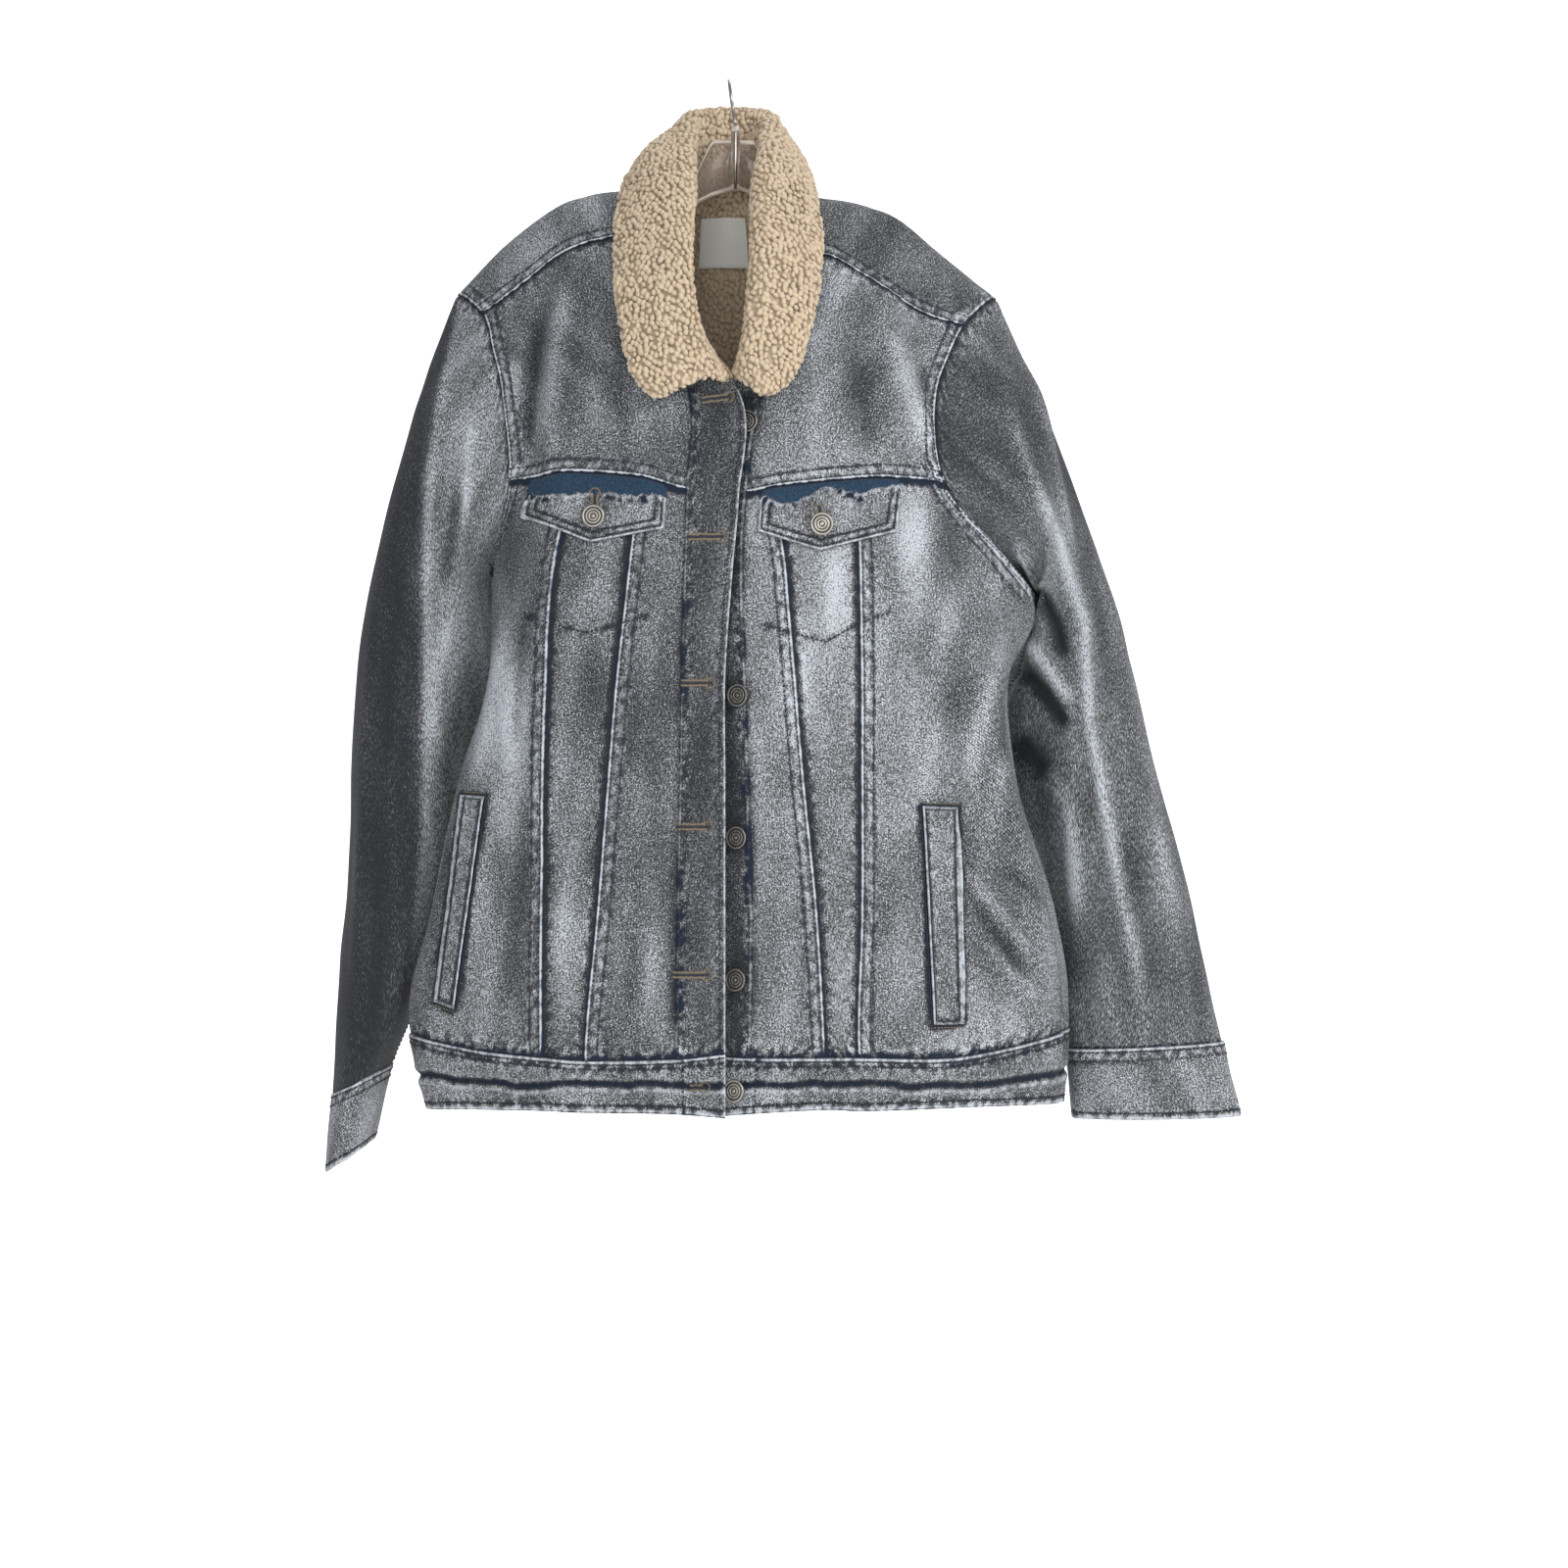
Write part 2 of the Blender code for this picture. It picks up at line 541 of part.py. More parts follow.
def body_grids(surfaces):
    """Samples of the three body surfaces, with the shoulder folds and side seams shared exactly."""
    levels = steps_between(LEVEL_STEPS)
    grids = {}
    for side in ("right", "left"):
        points, normals = surfaces[side].evaluate(steps_between(FRONT_STEPS), levels)
        grids[side] = Grid(points, normals, FRONT_STEPS, LEVEL_STEPS, side == "left")
    points, normals = surfaces["back"].evaluate(steps_between(BACK_STEPS), levels)
    back = Grid(points, normals, BACK_STEPS, LEVEL_STEPS, False)
    neck_right, neck_left = back.column_at[2], back.column_at[4]
    fold_right = grids["right"].points[0, ::-1]
    fold_left = grids["left"].points[0]
    back.points[0, : neck_right + 1] = resampled(fold_right, neck_right + 1)
    back.points[0, neck_left:] = resampled(fold_left, back.points.shape[1] - neck_left)
    under = back.level_at[UNDERARM]
    for side, column in (("right", 0), ("left", -1)):
        grids[side].points[under:, -1] = back.points[under:, column]
        shared = unit(grids[side].normals[under:, -1] + back.normals[under:, column])
        grids[side].normals[under:, -1] = shared
        back.normals[under:, column] = shared
    grids["back"] = back
    return grids


def resampled(line, count):
    """The same points where the counts agree, which the shoulder folds rely on."""
    if len(line) != count:
        raise ValueError(f"the fold has {len(line)} samples and the back has {count}")
    return line


class Sleeve:
    """A tube from the armhole ring through its sections to the wrist."""

    def __init__(self, sections, side, grids):
        self.sections = sections
        front, back = grids[side], grids["back"]
        self.front, self.back, self.side = front, back, side
        self.under = front.level_at[UNDERARM]
        self.column = 0 if side == "right" else -1
        hole = [*front.points[: self.under + 1, -1], *back.points[self.under - 1 : 0 : -1, self.column]]
        self.hole = np.array(hole)
        self.count = len(self.hole)
        angles = []
        for half, start in ((self.hole[: self.under + 1], 0.0), (self.hole[self.under :], math.pi)):
            closed = half if start == 0 else np.concatenate([half, self.hole[:1]])
            run = np.concatenate([[0.0], np.cumsum(np.linalg.norm(np.diff(closed, axis=0), axis=1))])
            angles.append(start + math.pi * run[:-1] / run[-1])
        self.angles = np.concatenate(angles)

    def ring(self, station):
        """The ring's points at a station counted in sections, which may lie between two."""
        count = len(self.sections)
        table = np.array([[*s[1], *s[2], s[3], s[4]] for s in self.sections], float)
        knots = spacing(((table[:, :3] + table[:, 3:6]) / 2)[None])
        weight, _ = cardinal(knots, [np.interp(station, np.arange(count), knots)])
        row = (weight @ table)[0]
        outer, inner, depth, lean = row[:3], row[3:6], row[6], row[7]
        start = table[0]
        centre, half = (outer + inner) / 2, (outer - inner) / 2
        cos, sin = np.cos(self.angles)[:, None], np.sin(self.angles)[:, None]
        ring = centre + half * cos + np.array([lean, -depth, 0.0]) * sin
        first_centre, first_half = (start[:3] + start[3:6]) / 2, (start[:3] - start[3:6]) / 2
        first = first_centre + first_half * cos + np.array([start[7], -start[6], 0.0]) * sin
        slow = max(0.0, 1 - station / CAP_REACH)
        quick = max(0.0, 1 - station / CAP_REACH * 1.7)
        hold = np.array([quick**2 * (3 - 2 * quick), slow**2 * (3 - 2 * slow), slow**2 * (3 - 2 * slow)])
        return ring + (self.hole - first) * hold

    def grid(self):
        """The sleeve as a grid whose columns run round the ring and whose levels run down it."""
        stations = steps_between((SLEEVE_STEPS,) * (len(self.sections) - 1))
        rings = np.array([self.ring(s) for s in stations])
        rings = np.concatenate([rings, rings[:, :1]], axis=1)
        around = np.roll(rings[:, :-1], -1, axis=1) - np.roll(rings[:, :-1], 1, axis=1)
        around = np.concatenate([around, around[:, :1]], axis=1)
        down = np.gradient(rings, axis=0)
        normals = unit(np.cross(around, down)) * (-1 if self.side == "right" else 1)
        quarter = (self.count - self.under) // 2
        steps = (self.under, quarter, self.count - self.under - quarter)
        made = Grid(rings, normals, steps, (SLEEVE_STEPS,) * (len(self.sections) - 1), self.side == "right")
        self.share_armhole(made)
        return made

    def share_armhole(self, made):
        """Give the armhole's edge on body and sleeve the same normals, so their end faces are parallel."""
        body = [*self.front.normals[: self.under + 1, -1], *self.back.normals[self.under - 1 : 0 : -1, self.column]]
        shared = unit(np.array(body) + made.normals[0, :-1])
        made.normals[0] = np.concatenate([shared, shared[:1]])
        self.front.normals[: self.under + 1, -1] = shared[: self.under + 1]
        self.back.normals[0, self.column] = shared[0]
        for row in range(1, self.under + 1):
            index = row if row == self.under else self.count - row
            self.back.normals[row, self.column] = shared[index]


def sew(name, finish, pieces, thickness, out=0.0, seam=SEAM):
    """A named piece from ranges of grids: each is (grid, columns, levels)."""
    cloth = Cloth()
    for grid, columns, levels in pieces:
        cloth.add(grid, grid.cells(columns, levels))
    return cloth.draw_in(seam / 2).solid(name, finish, thickness, out)


def make_body(grids):
    """Yoke, fronts, backs, plackets and waistband."""
    right, left, back = grids["right"], grids["left"], grids["back"]
    sew("yoke", "denim", [(back, (0, 6), (0, COLLAR_POINT)), (right, (0, 5), (0, YOKE_SEAM)),
                          (left, (0, 5), (0, YOKE_SEAM))], WALL)
    for side, grid in (("right", right), ("left", left)):
        sew(f"front_upper_{side}", "denim", [(grid, (0, 5), (YOKE_SEAM, COLLAR_POINT)),
                                             (grid, (1, 5), (COLLAR_POINT, CHEST_SEAM))], WALL)
        for part, columns in (("center", (1, 2)), ("middle", (2, 3)), ("side", (3, 5))):
            sew(f"front_{part}_{side}", "denim", [(grid, columns, (CHEST_SEAM, BAND_SEAM))], WALL)
        placket = "placket_right" if side == "right" else "button_stand_left"
        sew(placket, "denim", [(grid, (0, 1), (COLLAR_POINT, BAND_SEAM))], DOUBLED, PROUD)
        sew(f"waistband_{side}", "denim_dark", [(grid, (0, 5), (BAND_SEAM, HEM))], DOUBLED, PROUD)
    for part, columns in (("side_right", (0, 2)), ("center", (2, 4)), ("side_left", (4, 6))):
        sew(f"back_{part}", "denim", [(back, columns, (COLLAR_POINT, BAND_SEAM))], WALL)
    sew("waistband_back", "denim_dark", [(back, (0, 6), (BAND_SEAM, HEM))], DOUBLED, PROUD)


def make_sleeve(sleeve, grid):
    """Top sleeve in front, under sleeve behind, and the cuff's two halves, seamed along both edges."""
    side = sleeve.side
    cuff = len(sleeve.sections) - 2
    sew(f"sleeve_top_{side}", "denim", [(grid, (0, 1), (0, cuff))], WALL)
    sew(f"sleeve_under_{side}", "denim", [(grid, (1, 3), (0, cuff))], WALL)
    sew(f"cuff_front_{side}", "denim", [(grid, (0, 1), (cuff, cuff + 1))], DOUBLED, PROUD)
    sew(f"cuff_back_{side}", "denim", [(grid, (1, 3), (cuff, cuff + 1))], DOUBLED, PROUD)


def make_lining(grids):
    """The sherpa lining of the back, from the neck to the waistband."""
    back = grids["back"]
    columns = (1, 5)
    cloth = Cloth()
    cloth.add(back, back.cells((2, 4), (0, 1)))
    cloth.add(back, back.cells(columns, (1, BAND_SEAM)))
    return cloth.draw_in(SEAM).solid("lining_back", "sherpa", LINING, -(WALL + SEAM))


class Ground:
    """The faces of finished pieces, on which others are laid."""

    def __init__(self, *names):
        points, faces = [], []
        for name in names:
            mesh = bpy.data.objects[name].data
            start = len(points)
            points += [v.co / MM for v in mesh.vertices]
            faces += [[start + i for i in face.vertices] for face in mesh.polygons]
        self.tree = BVHTree.FromPolygons(points, faces)

    def under(self, point, normal, reach=12.0):
        """Where a line along the normal through the point first meets the pieces from outside."""
        start = Vector(point) + Vector(normal) * reach
        hit, _, _, _ = self.tree.ray_cast(start, -Vector(normal), 3 * reach)
        return np.array(hit) if hit is not None else np.array(point)


def patch_grid(surface, ground, corners, across, down, lift, lift_low, tip=None):
    """Points and normals over four corners (top first) of a piece that lies on the ground given.

    A tip is a fifth corner that the lower edge runs down to.
    """
    top_a, top_b, low_b, low_a = (np.array(c, float) for c in corners)
    if tip is not None:
        tip = np.array(tip, float)
        share = float(np.clip((tip - low_a) @ (low_b - low_a) / ((low_b - low_a) @ (low_b - low_a)), 0.1, 0.9))
    points, normals = [], []
    for j in range(down + 1):
        row_points, row_normals = [], []
        for i in range(across + 1):
            s, t = i / across, j / down
            if tip is None:
                low = low_a + (low_b - low_a) * s
            elif s <= share:
                low = low_a + (tip - low_a) * s / share
            else:
                low = tip + (low_b - tip) * (s - share) / (1 - share)
            x, z = (top_a + (top_b - top_a) * s) * (1 - t) + low * t
            point, normal = surface.at(x, z)
            if ground:
                point = ground.under(point, normal)
            row_points.append(point + normal * (lift + (lift_low - lift) * t))
            row_normals.append(normal)
        points.append(row_points)
        normals.append(row_normals)
    return np.array(points), np.array(normals)


def lay(name, finish, points, normals, thickness, flip):
    """A piece of cloth that lies on a panel: its underside at the points, its outer side above."""
    down, across = points.shape[0] - 1, points.shape[1] - 1
    grid = Grid(points + normals * thickness, normals, (across,), (down,), flip)
    cloth = Cloth().add(grid, grid.cells((0, 1), (0, 1)))
    return cloth.solid(name, finish, thickness)


def make_flaps(surfaces):
    """Pointed pocket flaps below the chest seam."""
    for name, side, top_a, top_b, low_b, tip, low_a in FLAPS:
        ground = Ground(*(f"front_{part}_{side}" for part in ("center", "middle", "side")))
        corners = (top_a, top_b, low_b, low_a)
        points, normals = patch_grid(surfaces[side], ground, corners, 8, 3, LAP, LAP + FLAP_LIFT, tip)
        lay(name, "denim", points, normals, FLAP, side == "right")


def make_welts(surfaces):
    """Welts of the side pockets; the gaping one stands off along its outer edge."""
    for name, side, top_a, top_b, low_b, low_a, gape in WELTS:
        ground = Ground(f"front_side_{side}")
        points, normals = patch_grid(surfaces[side], ground, (top_a, top_b, low_b, low_a), 3, 8, LAP, LAP)
        ajar = np.linspace(0, 1, points.shape[1])[None, :, None]
        belly = np.sin(np.linspace(0, math.pi, points.shape[0]))[:, None, None]
        points = points + normals * gape * ajar * belly
        lay(name, "denim", points, normals, FLAP, True)


def make_label(surfaces):
    """The blank neck label on the back lining."""
    (x0, z0), (x1, z1) = LABEL_BOX
    corners = ((x1, z0), (x0, z0), (x0, z1), (x1, z1))
    points, normals = patch_grid(surfaces["back"], None, corners, 6, 5, 0.0, 0.0)
    under = WALL + SEAM + LINING + 2 * LAP
    points = points - normals * (under + LABEL)
    return lay("neck_label", "label", points, normals, LABEL, True)


def belt(base, roll, edge, radius, bulge):
    """The section of a collar: from its base, round a roll of that radius, and out to its edge."""
    to_base, to_edge = unit(base - roll), unit(edge - roll)
    into = unit(to_base + to_edge)
    side = unit(to_edge - (to_edge @ into) * into)
    centre = roll + into * radius

    def flat(point):
        return np.array([(point - centre) @ side, -(point - centre) @ into])

    def world(point):
        return centre + side * point[0] - into * point[1]

    def touch(point, sign):
        reach = max(np.linalg.norm(point), radius * 1.001)
        angle = math.atan2(point[1], point[0]) + sign * math.acos(radius / reach)
        return math.pi / 2 + math.remainder(angle - math.pi / 2, 2 * math.pi)

    start, stop = touch(flat(base), -1), touch(flat(edge), 1)
    points = []
    first = radius * np.array([math.cos(start), math.sin(start)])
    last = radius * np.array([math.cos(stop), math.sin(stop)])
    for k in range(STAND_STEPS):
        points.append(base + (world(first) - base) * k / STAND_STEPS)
    for k in range(ROLL_STEPS):
        angle = start + (stop - start) * k / ROLL_STEPS
        points.append(world(radius * np.array([math.cos(angle), math.sin(angle)])))
    run = flat(edge) - last
    away = unit(np.array([-run[1], run[0]]))
    if away @ last < 0:
        away = -away
    for k in range(FALL_STEPS + 1):
        s = k / FALL_STEPS
        points.append(world(last + run * s + away * bulge * math.sin(math.pi * s) * (1 - s / 2)))
    return np.array(points)


def neck_edge(grids):
    """The neck edge from the right front down to up, round the back and down the left front.

    Returns its points, normals, ways out of the cloth, and where each collar station stands on it.
    """
    right, left, back = grids["right"], grids["left"], grids["back"]
    low = right.level_at[COLLAR_POINT] + 1
    first, last = back.column_at[2], back.column_at[4]
    parts = (
        (right.points[low::-1, 0], right.normals[low::-1, 0], right.points[low::-1, 1]),
        (back.points[0, first + 1 : last], back.normals[0, first + 1 : last], back.points[1, first + 1 : last]),
        (left.points[: low + 1, 0], left.normals[: low + 1, 0], left.points[: low + 1, 1]),
    )
    points = np.concatenate([part[0] for part in parts])
    normals = np.concatenate([part[1] for part in parts])
    inside = np.concatenate([part[2] for part in parts])
    along = unit(np.gradient(points, axis=0))
    into = inside - points
    into = into - (into * along).sum(axis=1, keepdims=True) * along
    run = np.concatenate([[0.0], np.cumsum(np.linalg.norm(np.diff(points, axis=0), axis=1))])
    samples = steps_between(LEVEL_STEPS)[: low + 1]
    columns = steps_between(BACK_STEPS)[first : last + 1]
    stations = []
    for _, (where, at), *_ in COLLAR:
        if where == "right":
            stations.append(np.interp(-at, -samples[::-1], run[: low + 1]))
        elif where == "back":
            stations.append(np.interp(at, columns, run[low : low + len(columns)]))
        else:
            stations.append(np.interp(at, samples, run[-low - 1 :]))
    return run, points, normals, -unit(into), np.array(stations)


def body_cloud(surfaces):
    """Close samples of the outer body surface, for keeping the collar clear of it."""
    points, normals = [], []
    for surface in surfaces.values():
        levels = np.linspace(0, CHEST_SEAM, 60)
        found, facing = surface.evaluate(np.linspace(0, surface.columns - 1, 70), levels)
        points.append(found.reshape(-1, 3))
        normals.append(facing.reshape(-1, 3))
    return np.concatenate(points), np.concatenate(normals)


def shortfall(points, cloud, distance, reach=14.0):
    """Moves that bring points close to the body's surface up to a distance above it."""
    on_body, facing = cloud
    moves = np.zeros(points.shape)
    for index in np.ndindex(points.shape[:-1]):
        offsets = points[index] - on_body
        squares = (offsets**2).sum(axis=1)
        nearest = np.argmin(squares)
        height = offsets[nearest] @ facing[nearest]
        if height < distance and squares[nearest] < reach**2:
            moves[index] = facing[nearest] * (distance - height)
    return moves


def at_run(run, values, where):
    """Values along the neck edge at other places on it."""
    return np.stack([np.interp(where, run, values[:, axis]) for axis in range(3)], axis=1)


def collar_layers(surfaces, grids):
    """The collar's visible side, its back, and the undercollar's two sides.

    Columns run over the section from the neck seam to the outer edge, rows round the neck.
    """
    run, edge, normals, outs, stations = neck_edge(grids)
    table = np.array([[*roll, *outer, bulge] for _, _, roll, outer, bulge in COLLAR], float)
    knots = spacing(table[None, :, :3])
    fine = steps_between((COLLAR_STEPS,) * (len(COLLAR) - 1))
    weight, _ = cardinal(knots, np.interp(fine, np.arange(len(COLLAR)), knots))
    rows = weight @ table
    where = np.interp(fine, np.arange(len(COLLAR)), stations)
    inner_base = at_run(run, edge, where) + unit(at_run(run, outs, where)) * COLLAR_SEAM
    base = inner_base - unit(at_run(run, normals, where)) * SHERPA
    points = np.array([belt(b, r[:3], r[3:6], ROLL, r[6]) for b, r in zip(base, rows)])
    cloud = body_cloud(surfaces)
    under = SHERPA + 3 * SEAM
    for _ in range(4):
        over, around = np.gradient(points, axis=1), np.gradient(points, axis=0)
        facing = unit(np.cross(around, over))
        low = points - facing * (under + UNDERCOLLAR)
        moves = shortfall(low, cloud, COLLAR_LIFT)
        moves[:, : STAND_STEPS + 1] = 0
        moves[1:-1] = (moves[:-2] + 2 * moves[1:-1] + moves[2:]) / 4
        points = points + moves
    inner = points - facing * SHERPA
    inner = inner + shortfall(inner, cloud, COLLAR_LIFT, 2 * SHERPA)
    inner[:, 0] = inner_base
    first = STAND_STEPS + ROLL_STEPS + 1
    top = (points - facing * under)[:, first:]
    reach = unit(points[:, -1] - points[:, -2]) * 1.2
    top[:, -1] += reach
    return points, inner, top, top - facing[:, first:] * UNDERCOLLAR


def quads(rows, columns):
    """The cells of a block of points numbered row by row."""
    found = []
    for i in range(rows - 1):
        for k in range(columns - 1):
            a = i * columns + k
            found.append([a, a + columns, a + columns + 1, a + 1])
    return found


def make_collar(surfaces, grids):
    """The sherpa collar and the denim undercollar below its fall."""
    points, inner, top, low = collar_layers(surfaces, grids)
    for name, finish, outer, under in (
        ("collar_sherpa", "sherpa", points, inner),
        ("undercollar_denim", "denim_dark", top, low),
    ):
        sheet = Cloth()
        sheet.faces = quads(*outer.shape[:2])
        walled(name, finish, outer.reshape(-1, 3), under.reshape(-1, 3), sheet.faces, sheet.border())


def make_button(name, point, normal):
    """A shank button: a domed disc with a raised rim on a short post."""
    profile = (
        (0.0, BUTTON_HEIGHT - 0.6),
        (BUTTON_RADIUS * 0.72, BUTTON_HEIGHT - 0.4),
        (BUTTON_RADIUS * 0.9, BUTTON_HEIGHT),
        (BUTTON_RADIUS, BUTTON_HEIGHT - 0.7),
        (BUTTON_RADIUS * 0.96, BUTTON_HEIGHT - 1.7),
        (SHANK_RADIUS, BUTTON_HEIGHT - 1.9),
        (SHANK_RADIUS, 0.0),
        (0.0, 0.0),
    )
    mesh = bmesh.new()
    turn = Vector((0, 0, 1)).rotation_difference(Vector(normal))
    rings = []
    for radius, height in profile:
        if radius == 0:
            rings.append([mesh.verts.new((turn @ Vector((0, 0, height)) + Vector(point)) * MM)])
            continue
        ring = []
        for k in range(BUTTON_SIDES):
            angle = 2 * math.pi * k / BUTTON_SIDES
            local = Vector((radius * math.cos(angle), radius * math.sin(angle), height))
            ring.append(mesh.verts.new((turn @ local + Vector(point)) * MM))
        rings.append(ring)
    for upper, lower in zip(rings, rings[1:]):
        for k in range(BUTTON_SIDES):
            after = (k + 1) % BUTTON_SIDES
            if len(upper) == 1:
                mesh.faces.new([upper[0], lower[k], lower[after]])
            elif len(lower) == 1:
                mesh.faces.new([upper[k], lower[0], upper[after]])
            else:
                mesh.faces.new([upper[k], lower[k], lower[after], upper[after]])
    return finished(name, "button", mesh)


def make_buttons(surfaces):
    """Two flap buttons and six down the front."""
    for name, side, x, z in FLAP_BUTTONS:
        point, normal = surfaces[side].at(x, z)
        point = Ground(f"flap_{side}").under(point, normal)
        make_button(name, point + normal * SEAT, normal)
    stand = Ground("button_stand_left", "waistband_left", "front_upper_left")
    for number, (x, z) in enumerate(zip(FRONT_BUTTON_X, FRONT_BUTTON_HEIGHTS), start=1):
        point, normal = surfaces["left"].at(x, z)
        make_button(f"button_front_{number}", stand.under(point, normal) + normal * SEAT, normal)


def shoulder_line(grids, side):
    """The fold's samples from the neck to the tip, as (x, z)."""
    return grids[side].points[0][:, [0, 2]]


def make_hanger(grids):
    """A clear plastic hanger: a web below the hook and an arm under each shoulder."""
    stations = [(x, top, bottom, half) for x, top, bottom, half in PLATE]
    drop = WALL + SEAM + 3.2
    right = [(x, z - drop, z - drop - ARM_DEPTH, ARM_HALF) for x, z in shoulder_line(grids, "right")
             if ARM_END_RIGHT < x < -70]
    left = [(x, z - drop, z - drop - ARM_DEPTH, ARM_HALF) for x, z in shoulder_line(grids, "left")
            if 62 < x < ARM_END_LEFT]
    tip_right, tip_left = right[-1], left[-1]
    right.append((ARM_END_RIGHT, tip_right[1] + (ARM_END_RIGHT - tip_right[0]) * 1.6, tip_right[2] - 10, 2.5))
    left.append((ARM_END_LEFT, tip_left[1] - (ARM_END_LEFT - tip_left[0]) * 0.95, tip_left[2] - 10, 2.5))
    stations = sorted(right) + stations + sorted(left)
    mesh = bmesh.new()
    rings = []
    for x, top, bottom, half in stations:
        ring = []
        for side, z, turn in ((1, top, 1), (-1, top, 1), (-1, bottom, -1), (1, bottom, -1)):
            angles = (0.0, 30.0, 60.0) if side * turn > 0 else (60.0, 30.0, 0.0)
            for degrees in angles:
                angle = math.radians(degrees)
                y = side * half * math.cos(angle)
                ring.append(mesh.verts.new(Vector((x, y, z - turn * half * (1 - math.sin(angle)))) * MM))
        rings.append(ring)
    count = len(rings[0])
    for a, b in zip(rings, rings[1:]):
        for k in range(count):
            mesh.faces.new([a[k], a[(k + 1) % count], b[(k + 1) % count], b[k]])
    mesh.faces.new(rings[0][::-1])
    mesh.faces.new(rings[-1])
    bmesh.ops.recalc_face_normals(mesh, faces=mesh.faces)
    finished("hanger_body", "clear_plastic", mesh)


def make_hook():
    """The steel hook: a short stem and a crook in the plane through the wearer's chest and back."""
    radius = CROOK + WIRE / 2
    middle = WIRE / 2 - radius
    route = [(4.0, 0.0, -32.7), (4.0, 0.0, -31.5)]
    for degrees in range(-78, 206, 12):
        angle = math.radians(degrees)
        height = middle + radius * math.sin(angle)
        route.append((4.0 - 5.0 * (height + 33) / 34, radius * math.cos(angle), height))
    curve = bpy.data.curves.new("hook", "CURVE")
    curve.dimensions = "3D"
    curve.bevel_depth = WIRE / 2 * MM
    curve.bevel_resolution = 2
    curve.use_fill_caps = True
    spline = curve.splines.new("POLY")
    spline.points.add(len(route) - 1)
    for slot, point in zip(spline.points, route):
        slot.co = (*(Vector(point) * MM), 1.0)
    curve.materials.append(material("steel"))
    made = bpy.data.objects.new("hook", curve)
    bpy.context.scene.collection.objects.link(made)


def main():
    clear_scene()
    surfaces = body_surfaces()
    grids = body_grids(surfaces)
    sleeves = [Sleeve(RIGHT_SLEEVE, "right", grids), Sleeve(LEFT_SLEEVE, "left", grids)]
    sleeve_grids = [sleeve.grid() for sleeve in sleeves]
    make_body(grids)
    for sleeve, grid in zip(sleeves, sleeve_grids):
        make_sleeve(sleeve, grid)
    make_lining(grids)
    make_label(surfaces)
    make_flaps(surfaces)
    make_welts(surfaces)
    make_collar(surfaces, grids)
    make_buttons(surfaces)
    make_hanger(grids)
    make_hook()


main()
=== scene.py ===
"""A sherpa lined denim jacket on a clear hanger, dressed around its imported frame.

Tables are in millimetres and meshes in metres, +Z is up and the fronts face -Y.
Right and left are the wearer's, so the right front lies at -X.
"""

import logging
import math
from dataclasses import dataclass
from enum import Enum

import bmesh
import bpy
import numpy as np
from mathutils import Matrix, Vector
from mathutils.bvhtree import BVHTree

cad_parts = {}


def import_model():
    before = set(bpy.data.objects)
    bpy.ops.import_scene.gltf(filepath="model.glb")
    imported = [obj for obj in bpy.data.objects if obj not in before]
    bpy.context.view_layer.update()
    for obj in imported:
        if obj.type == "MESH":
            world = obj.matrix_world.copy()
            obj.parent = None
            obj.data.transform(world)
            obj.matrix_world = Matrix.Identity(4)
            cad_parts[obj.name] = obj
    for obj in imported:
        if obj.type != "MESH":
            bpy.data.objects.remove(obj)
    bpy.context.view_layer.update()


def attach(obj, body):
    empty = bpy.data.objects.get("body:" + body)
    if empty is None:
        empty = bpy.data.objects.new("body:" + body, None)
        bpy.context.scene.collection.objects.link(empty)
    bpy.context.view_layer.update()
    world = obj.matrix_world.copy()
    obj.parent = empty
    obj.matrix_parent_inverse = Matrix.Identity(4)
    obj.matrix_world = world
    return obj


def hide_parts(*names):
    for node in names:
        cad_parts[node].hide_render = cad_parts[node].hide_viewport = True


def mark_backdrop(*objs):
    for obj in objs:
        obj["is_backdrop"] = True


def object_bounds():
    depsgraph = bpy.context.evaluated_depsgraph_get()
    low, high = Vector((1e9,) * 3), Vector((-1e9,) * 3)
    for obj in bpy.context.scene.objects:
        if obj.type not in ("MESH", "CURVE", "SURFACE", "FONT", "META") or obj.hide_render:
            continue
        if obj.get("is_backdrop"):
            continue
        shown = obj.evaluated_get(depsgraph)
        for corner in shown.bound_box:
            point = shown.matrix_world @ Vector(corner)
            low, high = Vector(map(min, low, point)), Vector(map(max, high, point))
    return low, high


LOG = logging.getLogger("jacket")
Array, Piece, Material = np.ndarray, bpy.types.Object, bpy.types.Material
MM = 0.001  # metres in a millimetre

# Sizes in mm that several sub-assemblies share.
WALL = 2.2  # the solids' cloth, denim with the flattened lining behind it
SEAM = 0.3  # between pieces that are sewn together
LAP = 0.7  # between a piece and the one that it lies on
DENIM = 1.3  # one layer of denim
DOUBLED = 2.9  # a waistband or a cuff with its turnings
FLAP = 1.8  # a flap or a welt
SHERPA, LINING = 6.5, 4.5  # the collar and the back's lining
UNDERCOLLAR = 1.5  # the denim under the collar's fall
STITCH = 3.6  # from one stitch to the next
TWIN_ROWS = (2.3, 9.4)  # the two rows of stitches along a lapped seam
BAND_ROWS = (2.3, 6.0)  # those along the top of the waistband
BAND_FOOT = 5.0  # the row along the foot of waistband and cuffs, from their lower edge
SIDE_SPACING = 40.0  # how far the knot past a table's first and last column lies


